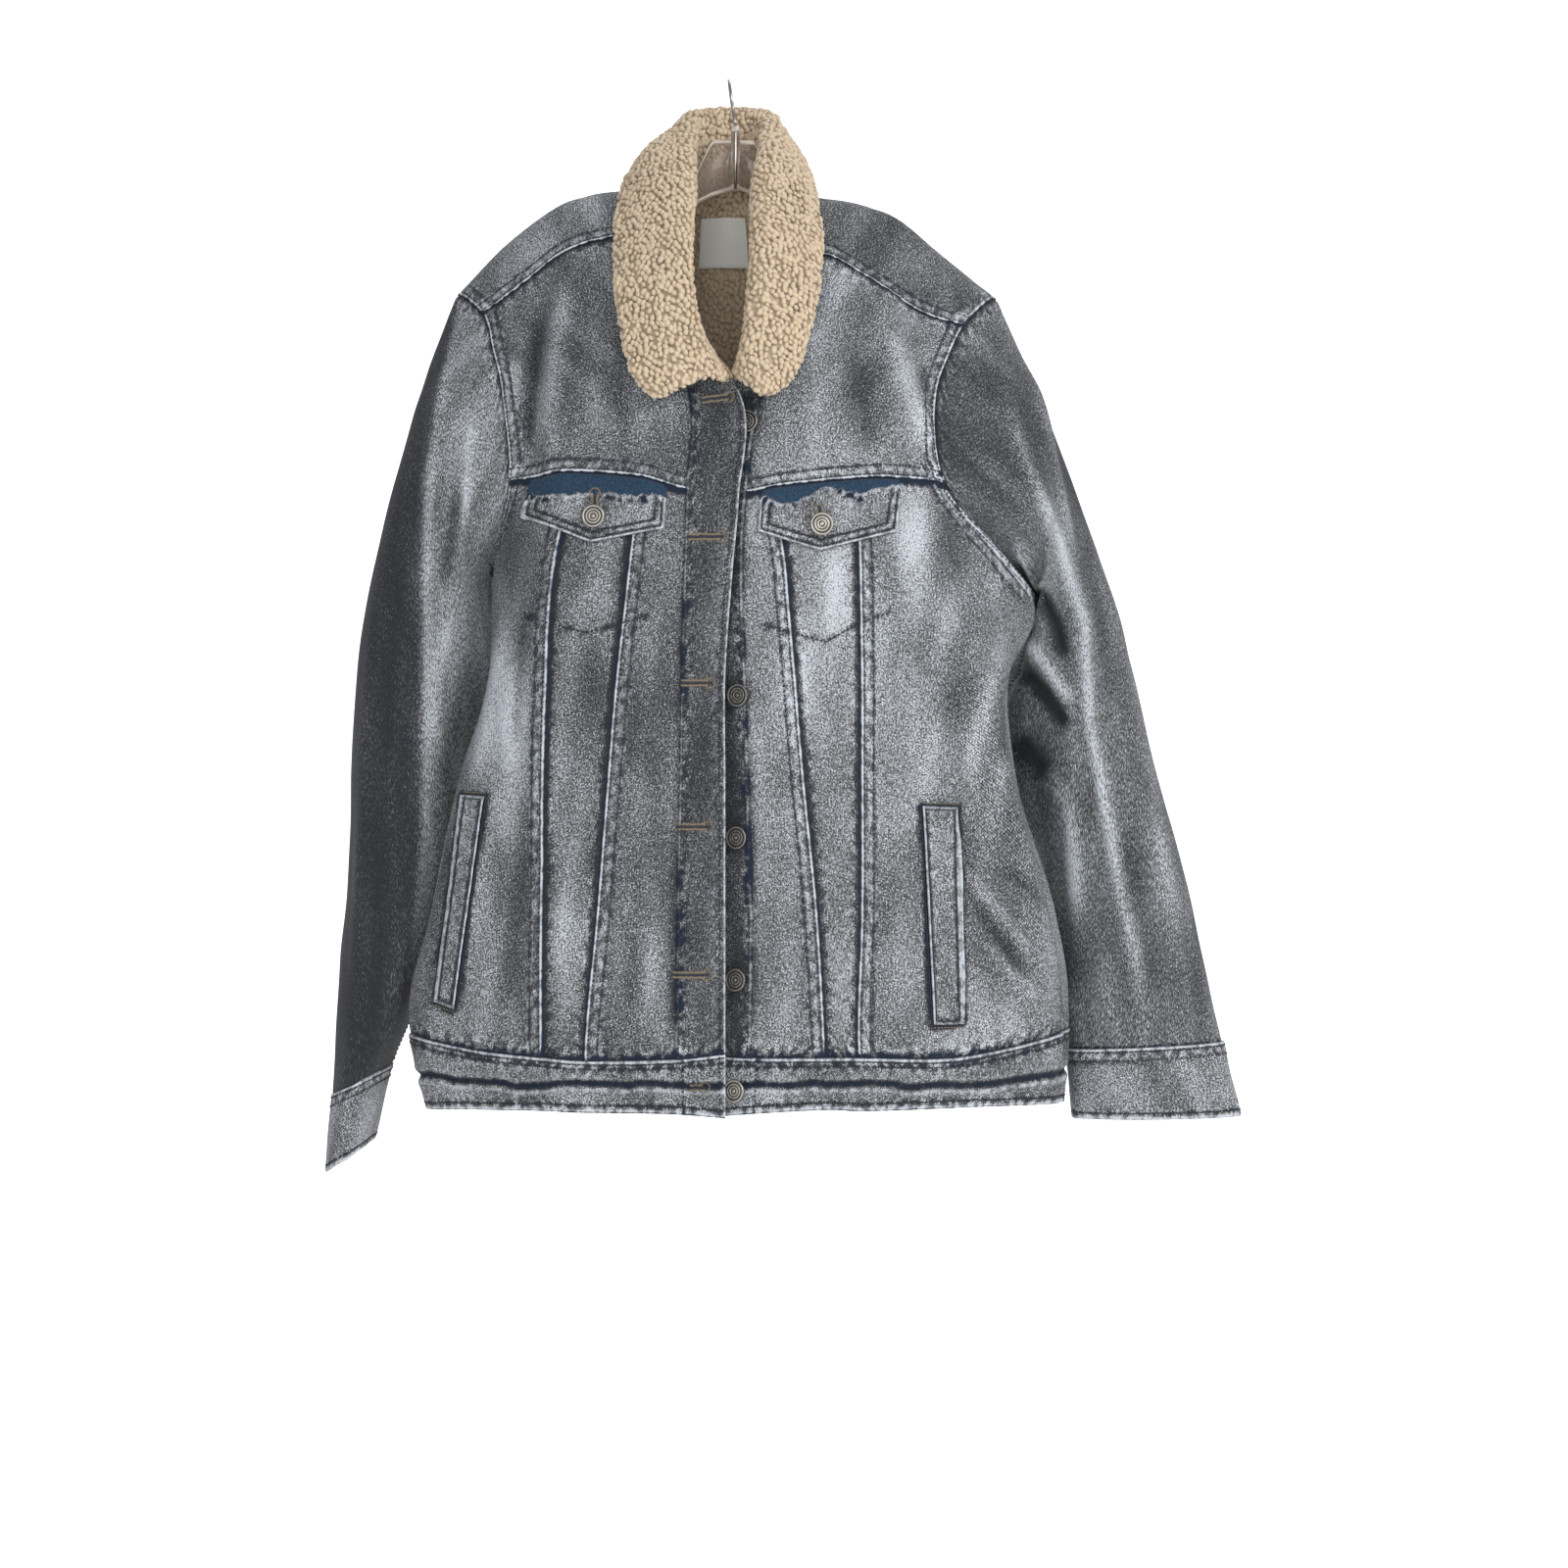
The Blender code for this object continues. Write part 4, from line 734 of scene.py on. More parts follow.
def lengths(points: Array) -> Array:
    """Distance run along the first axis of a block of points."""
    gaps = np.linalg.norm(np.diff(points, axis=0), axis=-1)
    return np.concatenate([np.zeros((1, *gaps.shape[1:])), np.cumsum(gaps, axis=0)])


def looked_up(at: Array, run: Array, vectors: Array) -> Array:
    """The vectors that a run of them has at the places given."""
    return np.stack([np.interp(at, run, vectors[:, axis]) for axis in range(3)], axis=1)


def nearest(flat: Array, route: Array) -> tuple[Array, Array]:
    """Where points lie beside a run of corners.

    Args:
        flat: The points' x and z.
        route: The corners' x and z.

    Returns:
        Each point's distance from the run, and the share of the run's length at which it is nearest.
    """
    run = lengths(route)
    best = np.full(flat.shape[:-1], 1e9)
    place = np.zeros(flat.shape[:-1])
    for k, (a, b) in enumerate(zip(route, route[1:])):
        way = b - a
        t = np.clip(((flat - a) @ way) / (way @ way), 0, 1)
        away = np.linalg.norm(flat - a - t[..., None] * way, axis=-1)
        nearer = away < best
        best = np.where(nearer, away, best)
        place = np.where(nearer, (run[k] + t * (run[k + 1] - run[k])) / run[-1], place)
    return best, place


def ridge(points: Array, spine: tuple, half_width: float, rise: float, taper: float = 0.25) -> Array:
    """Height of a fold.

    Args:
        points: Points in mm.
        spine: The fold's (x, z) points.
        half_width: How far its slopes reach.
        rise: How high it is.
        taper: The share of its length over which each end fades out, or 0.

    Returns:
        The height at each point.
    """
    away, place = nearest(points[..., [0, 2]], np.array(spine, float))
    fade = ease(place / taper) * ease((1 - place) / taper) if taper else 1.0
    return rise * bell(away, half_width) * fade


class Surface:
    """A smooth cloth surface through a table of levels and columns, looked up as (column, level).

    Args:
        rows: The table, a name and then one point for each column.
        outward: 1 where the table's own winding gives the way out, or else -1.
        over: The points past the first level.
        past_first: The points before the first column, from the underarm down.
        past_last: Those after the last one.
    """

    def __init__(self, rows: tuple, outward: int, over: Array | None = None,
                 past_first: Array | None = None, past_last: Array | None = None) -> None:
        """Lay a smooth surface through named rings."""
        table = np.array([row[1:] for row in rows], float)
        self.levels, self.columns = table.shape[:2]
        self.outward = outward
        wide = [2 * table[:, 0] - table[:, 1], *np.moveaxis(table, 1, 0), 2 * table[:, -1] - table[:, -2]]
        if past_first is not None:
            wide[0][UNDERARM:] = past_first[UNDERARM:]
        if past_last is not None:
            wide[-1][UNDERARM:] = past_last[UNDERARM:]
        wide = np.stack(wide, axis=1)
        above = 2 * wide[0] - wide[1]
        if over is not None:
            above[1:-1] = over
        below = 2 * wide[-1] - wide[-2]
        self.points = np.concatenate([above[None], wide, below[None]])
        across = spacing(self.points[1:-1, 1:-1])
        self.across = np.concatenate([[-SIDE_SPACING], across, [across[-1] + SIDE_SPACING]])
        down = spacing(np.moveaxis(self.points, 0, 1)[1:-1])
        self.down = down - down[1]

    def sample(self, column: Array, level: Array) -> tuple[Array, Array]:
        """Look the surface up.

        Args:
            column: Columns, in an array of any shape.
            level: Levels, in one of the same shape.

        Returns:
            Points and outward normals.
        """
        u, du = cardinal(self.across, np.interp(column.ravel(), np.arange(-1, self.columns + 1), self.across))
        v, dv = cardinal(self.down, np.interp(level.ravel(), np.arange(-1, self.levels + 1), self.down))
        rows = [np.einsum("pi,ijk->pjk", way, self.points) for way in (v, dv)]
        points = np.einsum("pjk,pj->pk", rows[0], u).reshape(*column.shape, 3)
        along_u = np.einsum("pjk,pj->pk", rows[0], du).reshape(*column.shape, 3)
        along_v = np.einsum("pjk,pj->pk", rows[1], u).reshape(*column.shape, 3)
        normals = unit(np.cross(along_u, along_v)) * self.outward
        height = np.zeros(column.shape)
        for start, stop, half_width, rise in FOLDS:
            height += ridge(points, (start, stop), half_width, rise, 0) * (points[..., 1] < 0)
        return points + normals * height[..., None], normals

    def grid(self, columns: Array, levels: Array) -> tuple[Array, Array]:
        """Points and normals on a plain grid."""
        column, level = np.meshgrid(columns, levels)
        return self.sample(column, level)

    def place(self, x: float, z: float) -> Array:
        """Find a point of the surface.

        Args:
            x: Its x.
            z: Its z.

        Returns:
            Its column and level.
        """
        columns = np.linspace(0, self.columns - 1, 41)
        levels = np.linspace(0, self.levels - 1, 81)
        if not hasattr(self, "near"):
            self.near = self.grid(columns, levels)[0]
        miss = (self.near[..., 0] - x) ** 2 + (self.near[..., 2] - z) ** 2
        row, col = np.unravel_index(np.argmin(miss), miss.shape)
        at, step = np.array([columns[col], levels[row]]), 1e-3
        for _ in range(6):
            trio = self.sample(at[0] + np.array([0, step, 0]), at[1] + np.array([0, 0, step]))[0][:, [0, 2]]
            grad = np.stack([trio[1] - trio[0], trio[2] - trio[0]], axis=1) / step
            at = at + np.linalg.solve(grad, np.array([x, z]) - trio[0])
            at = np.clip(at, 0, [self.columns - 1, self.levels - 1])
        return at

    def at(self, x: float, z: float) -> tuple[Array, Array]:
        """The point and normal of the surface behind (x, z).

        Args:
            x: How far across, in millimetres.
            z: How high.

        Returns:
            The point and the normal.
        """
        column, level = self.place(x, z)
        points, normals = self.sample(np.array([column]), np.array([level]))
        return points[0], normals[0]


Near = dict[int, tuple[tuple[float, ...], tuple[float, ...]]]


def lines(first: int, last: int, steps: tuple[int, ...], near: Near, widths: Array) -> Array:
    """Places of sample lines between features, close together beside those that have a seam.

    Args:
        first: The first feature, a column or level number.
        last: The last one.
        steps: How many even steps lie between each two features.
        near: Distances in mm of extra lines before and after a feature.
        widths: For each cross line, the distance in mm between each feature and the next.

    Returns:
        For each cross line, the places counted in features.
    """
    found = []
    for off in sorted(near.get(first, ((), ()))[0], reverse=True):
        found.append(first - off / widths[:, 0])
    for k in range(last - first):
        width = widths[:, k]
        after = sorted(near.get(first + k, ((), ()))[1])
        before = sorted(near.get(first + k + 1, ((), ()))[0], reverse=True)
        low, high = (after[-1] if after else 0.0), (before[0] if before else 0.0)
        shrink = np.minimum(1.0, 0.8 * width / (low + high + 1e-6))
        start, stop = low * shrink / width, 1 - high * shrink / width
        found.append(np.full_like(width, first + k))
        found += [first + k + off * shrink / width for off in after]
        found += [first + k + start + (stop - start) * i / steps[k] for i in range(1, steps[k])]
        found += [first + k + 1 - off * shrink / width for off in before]
    found.append(np.full_like(widths[:, 0], last))
    for off in sorted(near.get(last, ((), ()))[1]):
        found.append(last + off / widths[:, -1])
    return np.stack(found, axis=1)


FOLD_RISE, FOLD_LIGHT = 1.7, 1.3  # how much of a front fold's height and light is used
# the tone among these carries painted light and shade as well as random tone
WEAR_AND_SHADING = ("indigo", "pale", "tone", "fresh", "pucker")  # what the denim's finish reads from its points


Line = tuple[Array, Array]


class Patch:
    """A grid of cloth samples with the seams, folds, wear and painted light and shade worked into it.

    Args:
        points: Rows and columns of points on the cloth.
        normals: The way out at each.
        column: Where each sample lies across, in columns of its table.
        level: Where each lies down, in levels.
        flip: Whether the grid's own winding points into the cloth.
    """

    def __init__(self, points: Array, normals: Array, column: Array, level: Array,
                 flip: bool) -> None:
        """Take the grid and start its relief, wear and painted shading at 0."""
        self.base, self.normals, self.column, self.level, self.flip = points, normals, column, level, flip
        self.run = lengths(np.swapaxes(points, 0, 1)).T
        self.fall = lengths(points)
        self.height = np.zeros(column.shape)
        self.indigo, self.pale, self.tone, self.fresh, self.pucker = (np.zeros(column.shape) for _ in WEAR_AND_SHADING)
        self.ready: tuple[Array, Array] | None = None

    @classmethod
    def on(cls, surface: Surface, columns: tuple[int, int], levels: tuple[int, int], across: tuple[int, ...],
           down: tuple[int, ...], near_columns: Near, near_levels: Near, flip: bool) -> "Patch":
        """Sample a surface, with more lines beside the seams.

        Args:
            surface: The surface.
            columns: First and last column.
            levels: First and last level.
            across: Even steps between each two columns.
            down: Even steps between each two levels.
            near_columns: Distances in mm of extra lines before and after a column.
            near_levels: The same for levels.
            flip: Whether the grid's own winding points into the cloth.

        Returns:
            The patch.
        """
        (c0, c1), (l0, l1) = columns, levels
        marks, _ = surface.grid(np.arange(c0, c1 + 1), np.arange(l0, l1 + 1))
        heights = np.linalg.norm(np.diff(marks, axis=0), axis=2)
        level = lines(l0, l1, down, near_levels, heights.mean(axis=1)[None])[0]
        wide, _ = surface.grid(np.arange(c0, c1 + 1), level)
        column = lines(c0, c1, across, near_columns, np.linalg.norm(np.diff(wide, axis=1), axis=2))
        middle = column.mean(axis=0)
        high, _ = surface.grid(middle, np.arange(l0, l1 + 1))
        level = lines(l0, l1, down, near_levels, np.linalg.norm(np.diff(high, axis=0), axis=2).T).T
        points, normals = surface.sample(column, level)
        return cls(points, normals, column, level, flip)

    def across(self, column: float) -> Array:
        """Distance in mm past a column, for every sample."""
        at = np.array([np.interp(column, c, r) for c, r in zip(self.column, self.run)])
        return self.run - at[:, None]

    def down(self, level: float) -> Array:
        """Distance in mm below a level, for every sample."""
        at = np.array([np.interp(level, c, r) for c, r in zip(self.level.T, self.fall.T)])
        return self.fall - at[None]

    def cut(self) -> tuple[float, float]:
        """Mean width and length of the cloth in metres."""
        return float(self.run[:, -1].mean()) * MM, float(self.fall[-1].mean()) * MM

    def shown(self) -> tuple[Array, Array]:
        """Points and normals with the relief in them.

        Returns:
            The points and the normals.
        """
        if self.ready is None:
            points = self.base + self.normals * self.height[..., None]
            cross = np.cross(np.gradient(points, axis=1), np.gradient(points, axis=0))
            sign = np.sign((cross * self.normals).sum(axis=-1, keepdims=True))
            self.ready = points, unit(cross * np.where(sign == 0, 1, sign))
        return self.ready

    def band(self, past: Array, along: Array, seed: int, width: float = 11.5, rise: float = 0.9,
             where: Array | float = 1.0, wear: float = 1.0) -> None:
        """A lapped and topstitched seam: past it the cloth is doubled, grooved under its thread and puckered,
        with painted shade along its edge and its rows.

        Args:
            past: Distance from the seam onto the doubled side.
            along: Distance along the seam, which the puckers follow.
            seed: Seed of the puckers.
            width: How wide the doubled cloth is.
            rise: How far it stands out.
            where: 1 where the seam runs and 0 where it does not.
            wear: How strongly indigo and fading show.
        """
        on = ease(past / 0.7 + 0.2) * ease((width - past) / 1.5 + 0.5)
        pucker = ripple(along, 3.9, seed) * 0.65 + ripple(along, 8.0, seed + 1) * 0.55
        inside = bell(past - width / 2, width * 0.6)
        relief = rise * on + 0.30 * bell(past - 1.0, 0.9) + 0.55 * pucker * inside
        for row in TWIN_ROWS:
            relief -= 0.45 * bell(past - row, 1.0)
        relief += 0.5 * pucker * bell(past + 5, 5.0) - 0.35 * bell(past + 1.2, 1.2)
        self.height += relief * where
        self.pucker += where * (0.8 * on + 0.9 * bell(past + 4.5, 4.0))
        self.indigo += where * wear * (1.5 * bell(past + 0.7, 0.9) + 0.20 * on + 0.40 * bell(past + 3.5, 3.0))
        # painted shade under the seam's lapped edge and in the grooves of its rows
        self.tone -= where * (1.3 * bell(past + 0.8, 1.1) + 0.3 * bell(past + 3, 2.5) + sum(
            0.95 * bell(past - row, 0.9) for row in TWIN_ROWS))
        self.pale += where * (0.85 * bell(past - 0.9, 0.8) + 0.30 * on)

    def fold(self, folds: tuple, behind: bool = False) -> None:
        """Work in folds.

        Args:
            folds: Each one's spine of (x, z) points, half width, rise and light.
            behind: Whether they lie on the side away from the fronts.
        """
        way, much_rise, much_light = (2, 1.0, 1.0) if behind else (-2, FOLD_RISE, FOLD_LIGHT)
        facing = np.clip(self.normals[..., 1] * way + 0.4, 0, 1)
        for spine, half_width, rise, light in folds:
            shape = ridge(self.base, spine, half_width, 1.0) * facing
            self.height += much_rise * rise * shape
            self.tone += much_light * light * shape

    def fade(self, spots: tuple) -> None:
        """Lighten or darken spots, partly wash fades and partly painted light and shade, each (x, z, reach
        across, reach down, light, indigo).

        Args:
            spots: The spots.
        """
        for x, z, wide, high, light, blue in spots:
            shape = bell(np.hypot((self.base[..., 0] - x) / wide, (self.base[..., 2] - z) / high), 1.0)
            shape = shape * (self.normals[..., 1] < 0.3)
            self.tone += light * shape
            self.indigo += blue * shape

    def paint_stitch_shade(self, strength: float, *rows: Array) -> None:
        """Paint shade along rows of stitches, as in their grooves, given as distances from each."""
        self.tone -= strength * sum(bell(row, 0.9) for row in rows)

    def rumple(self, size: float, rise: float, seed: int) -> None:
        """Unevenness all over, with painted light on its rises and painted shade in its hollows.

        Args:
            size: Its size in millimetres.
            rise: Its height in millimetres.
            seed: Its seed.
        """
        lumps = clouds(self.base * np.array([1.7, 1.0, 0.55]), size, seed)
        self.height += rise * lumps
        self.tone += 0.07 * lumps

    def trace(self, past: Array, place: Array, offset: float, low: float, high: float,
              turned: bool = False) -> Line:
        """Follow a line over the cloth.

        Args:
            past: Each sample's distance from a seam.
            place: Where each lies along the seam, in columns or levels.
            offset: The line's distance from the seam.
            low: Where the line starts along the seam.
            high: Where it ends.
            turned: Whether the two grids are given with columns first.

        Returns:
            The line's points and normals.
        """
        blocks = [np.swapaxes(block, 0, 1) if turned else block for block in self.shown()]
        found = []
        for k, row in enumerate(past):
            if low <= np.interp(offset, row, place[k]) <= high and row[0] <= offset <= row[-1]:
                found.append([np.interp(offset, row, block[k, :, axis])
                              for block in blocks for axis in range(3)])
        found = np.array(found).reshape(-1, 6)
        return found[:, :3], unit(found[:, 3:])

    def line_down(self, column: float, offset: float, low: float, high: float) -> Line:
        """The line at a distance past a column, between two levels."""
        return self.trace(self.across(column), self.level, offset, low, high)

    def line_across(self, level: float, offset: float, low: float, high: float) -> Line:
        """The line at a distance below a level, between two columns."""
        return self.trace(self.down(level).T, self.column.T, offset, low, high, turned=True)


def build_mesh(name: str, points: Array, faces: Array, material: Material,
               uv: Array | None = None, **stored: Array) -> Piece:
    """A smooth mesh object from points in mm.

    Args:
        name: The piece's name.
        points: Its points in mm.
        faces: Corner numbers of its faces.
        material: Its finish.
        uv: Cloth coordinates in metres at each point.
        stored: Numbers stored on the points.

    Returns:
        The object.
    """
    name = name + "_shown" if name in bpy.data.objects else name
    data = bpy.data.meshes.new(name)
    data.from_pydata((points * MM).tolist(), [], [list(map(int, face)) for face in faces])
    if uv is not None:
        corners = np.zeros(len(data.loops), np.int32)
        data.loops.foreach_get("vertex_index", corners)
        data.uv_layers.new(name="UVMap").data.foreach_set("uv", uv[corners].astype(np.float32).ravel())
    for key, values in stored.items():
        made = data.attributes.new(key, "FLOAT", "POINT")
        made.data.foreach_set("value", values.astype(np.float32).ravel())
    data.shade_smooth()
    data.materials.append(material)
    data.validate()
    made = bpy.data.objects.new(name, data)
    bpy.context.scene.collection.objects.link(made)
    return made


def quads(rows: int, columns: int, flip: bool, closed: bool = False) -> Array:
    """Faces of a grid of points numbered row by row.

    Args:
        rows: How many rows it has.
        columns: How many points a row has.
        flip: Whether the faces are turned over.
        closed: Whether each row closes on itself.

    Returns:
        Four corner numbers for each face.
    """
    a = np.arange(rows * columns).reshape(rows, columns)
    right = np.roll(a, -1, axis=1) if closed else a[:, 1:]
    left = a if closed else a[:, :-1]
    corners = [left[:-1], right[:-1], right[1:], left[1:]]
    found = np.stack(corners, axis=-1).reshape(-1, 4)
    return found[:, ::-1] if flip else found


def thicken(piece: Piece, thickness: float) -> Piece:
    """Give an open sheet its thickness, inwards.

    Args:
        piece: The sheet.
        thickness: Its thickness in millimetres.

    Returns:
        The same object.
    """
    wall = piece.modifiers.new("wall", "SOLIDIFY")
    wall.thickness, wall.offset, wall.use_even_offset = thickness * MM, -1.0, False
    return piece


def weld(piece: Piece, distance: float) -> None:
    """Merge points that lie together.

    Args:
        piece: The object.
        distance: How near they lie, in millimetres.
    """
    mesh = bmesh.new()
    mesh.from_mesh(piece.data)
    bmesh.ops.remove_doubles(mesh, verts=mesh.verts, dist=distance * MM)
    mesh.to_mesh(piece.data)
    mesh.free()


def declare(piece: Piece, slot: Slot, *nodes: str, flat: tuple[float, float] | None = None,
            held: str = "hung") -> Piece:
    """Put a finished piece under the root, hide the solids that it shows in place of, and log its faces.

    Args:
        piece: The piece.
        slot: Its material slot; not used.
        nodes: The solids that it shows in place of.
        flat: Width and length in metres of the cut, for a sheet; not used.
        held: How that sheet is held; not used.

    Returns:
        The piece.
    """
    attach(piece, "root")
    if nodes:
        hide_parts(*nodes)
    LOG.info("%s: %d faces", piece.name, len(piece.data.polygons))
    return piece


def cloth_piece(name: str, patches: list[Patch], material: Material, thickness: float,
                closed: bool = False) -> Piece:
    """One sheet from patches that share their borders.

    Args:
        name: The piece's name.
        patches: The patches.
        material: Its finish.
        thickness: Its thickness in mm.
        closed: Whether a single patch meets itself.

    Returns:
        The object.
    """
    faces, start = [], 0
    for patch in patches:
        faces.append(quads(*patch.height.shape, patch.flip) + start)
        start += patch.height.size
    points = np.concatenate([patch.shown()[0].reshape(-1, 3) for patch in patches])
    places = [np.stack([patch.run, -patch.fall], axis=-1).reshape(-1, 2) for patch in patches]
    uv = np.concatenate(places) * MM
    stored = {key: np.concatenate([getattr(patch, key).ravel() for patch in patches]) for key in WEAR_AND_SHADING}
    made = build_mesh(name, points, np.concatenate(faces), material, uv, **stored)
    if len(patches) > 1 or closed:
        weld(made, 0.02)
    return thicken(made, thickness)


def rod(name: str, rings: Array, material: Material, **stored: Array) -> Piece:
    """A solid through rings of points.

    Args:
        name: The piece's name.
        rings: Rings of points in mm, each with as many as the next.
        material: Its finish.
        stored: Numbers stored on the points.

    Returns:
        The object, closed at both ends.
    """
    count, total = rings.shape[1], rings.shape[0] * rings.shape[1]
    faces = [list(face) for face in quads(len(rings), count, False, closed=True)]
    faces += [list(range(count))[::-1], list(range(total - count, total))]
    piece = build_mesh(name, rings.reshape(-1, 3), np.array(faces, dtype=object), material, **stored)
    mesh = bmesh.new()
    mesh.from_mesh(piece.data)
    bmesh.ops.recalc_face_normals(mesh, faces=mesh.faces)
    mesh.to_mesh(piece.data)
    mesh.free()
    return piece


class Ground:
    """The faces of finished pieces, on which others are laid.

    Args:
        pieces: The pieces.
    """

    def __init__(self, *pieces: Piece) -> None:
        """Make one search tree of the pieces."""
        points, faces = [], []
        for piece in pieces:
            start = len(points)
            points += [v.co / MM for v in piece.data.vertices]
            faces += [[start + i for i in face.vertices] for face in piece.data.polygons]
        self.tree = BVHTree.FromPolygons(points, faces)

    def under(self, point: Array, normal: Array, reach: float = 14.0) -> Array:
        """Where a line along the normal through a point first meets the pieces from outside."""
        hit = self.tree.ray_cast(Vector(point) + Vector(normal) * reach, -Vector(normal), 3 * reach)[0]
        return np.array(hit) if hit is not None else np.array(point)

    def below(self, x: float, z: float) -> Line | None:
        """The point and normal first met behind (x, z) from the front.

        Args:
            x: How far across, in millimetres.
            z: How high.

        Returns:
            The point and the normal, or None where nothing lies.
        """
        hit, normal, _, _ = self.tree.ray_cast(Vector((x, -300.0, z)), Vector((0, 1, 0)))
        if hit is None:
            return None
        normal = np.array(normal)
        return np.array(hit), normal if normal[1] < 0 else -normal

    def route(self, corners: Array, pitch: float = 2.0) -> Line:
        """Follow straight runs over the pieces.

        Args:
            corners: The runs' (x, z) corners.
            pitch: Distance between the points.

        Returns:
            Points and normals on the pieces.
        """
        corners = np.array(corners, float)
        run = lengths(corners)
        found = []
        for at in np.linspace(0, run[-1], max(3, int(run[-1] / pitch))):
            hit = self.below(np.interp(at, run, corners[:, 0]), np.interp(at, run, corners[:, 1]))
            if hit is not None:
                found.append(np.concatenate(hit))
        found = np.array(found).reshape(-1, 6)
        return found[:, :3], found[:, 3:]


class Repeat(Tree):
    """A Geometry Nodes tree that is built once and grown on several pieces.

    Args:
        name: The tree's name.
        inputs: The socket type and default of each named input.
    """

    def __init__(self, name: str, inputs: dict[str, tuple[str, object]]) -> None:
        """Start a tree of this name with its named inputs."""
        self.tree = bpy.data.node_groups.new(name, "GeometryNodeTree")
        self.tree.interface.new_socket(name="Geometry", in_out="INPUT", socket_type="NodeSocketGeometry")
        for key, (kind, default) in inputs.items():
            made = self.tree.interface.new_socket(name=key, in_out="INPUT", socket_type=kind)
            if default is not None:
                made.default_value = default
        self.tree.interface.new_socket(name="Geometry", in_out="OUTPUT", socket_type="NodeSocketGeometry")
        self.source = self.tree.nodes.new("NodeGroupInput")
        self.result = self.tree.nodes.new("NodeGroupOutput")

    def close(self, geometry: bpy.types.NodeSocket) -> None:
        """End the tree in realized geometry with its material.

        Args:
            geometry: What the tree has made.
        """
        real = self.node("GeometryNodeRealizeInstances", None, {0: geometry})
        finish = self.node("GeometryNodeSetMaterial", None,
                           {"Geometry": real.outputs[0], "Material": self.source.outputs["Material"]})
        self.tree.links.new(finish.outputs[0], self.result.inputs[0])

    def grow(self, name: str, carrier: Piece, **values: object) -> Piece:
        """Run the tree on a carrier and keep the result as a plain mesh piece.

        Args:
            name: The piece's name.
            carrier: The mesh that it grows on.
            values: What goes into the tree's named inputs.

        Returns:
            The piece.
        """
        modifier = carrier.modifiers.new(name, "NODES")
        modifier.node_group = self.tree
        for item in self.tree.interface.items_tree:
            if item.in_out == "INPUT" and item.name.replace(" ", "_") in values:
                modifier[item.identifier] = values[item.name.replace(" ", "_")]
        bpy.context.view_layer.update()
        graph = bpy.context.evaluated_depsgraph_get()
        data = bpy.data.meshes.new_from_object(carrier.evaluated_get(graph), depsgraph=graph)
        carrier.modifiers.remove(modifier)
        data.name = name
        made = bpy.data.objects.new(name, data)
        bpy.context.scene.collection.objects.link(made)
        data.shade_smooth()
        return made


def stitch_tree() -> Repeat:
    """A short rounded stitch on every point, laid along its thread.

    Returns:
        The tree.
    """
    inputs = {"Length": ("NodeSocketFloat", 0.0026), "Width": ("NodeSocketFloat", 0.0008),
              "Height": ("NodeSocketFloat", 0.0006), "Material": ("NodeSocketMaterial", None)}
    made = Repeat("stitches", inputs)
    along, out = (made.node("GeometryNodeInputNamedAttribute", {"data_type": "FLOAT_VECTOR"}, {"Name": key})
                  for key in ("along", "out"))
    first = made.node("FunctionNodeAlignRotationToVector", {"axis": "Z"}, {"Vector": out.outputs[0]})
    turn = made.node("FunctionNodeAlignRotationToVector", {"axis": "X", "pivot_axis": "Z"},
                     {"Rotation": first.outputs[0], "Vector": along.outputs[0]})
    size = made.node("ShaderNodeCombineXYZ", None, {0: made.source.outputs["Length"],
                                                    1: made.source.outputs["Width"],
                                                    2: made.source.outputs["Height"]})
    half = made.node("ShaderNodeVectorMath", {"operation": "SCALE"}, {0: size.outputs[0], "Scale": 0.5})
    ball = made.node("GeometryNodeMeshIcoSphere", None, {"Radius": 1.0, "Subdivisions": 1})
    placed = made.node("GeometryNodeInstanceOnPoints", None,
                       {"Points": made.source.outputs["Geometry"], "Instance": ball.outputs[0],
                        "Rotation": turn.outputs[0], "Scale": half.outputs[0]})
    made.close(placed.outputs[0])
    return made


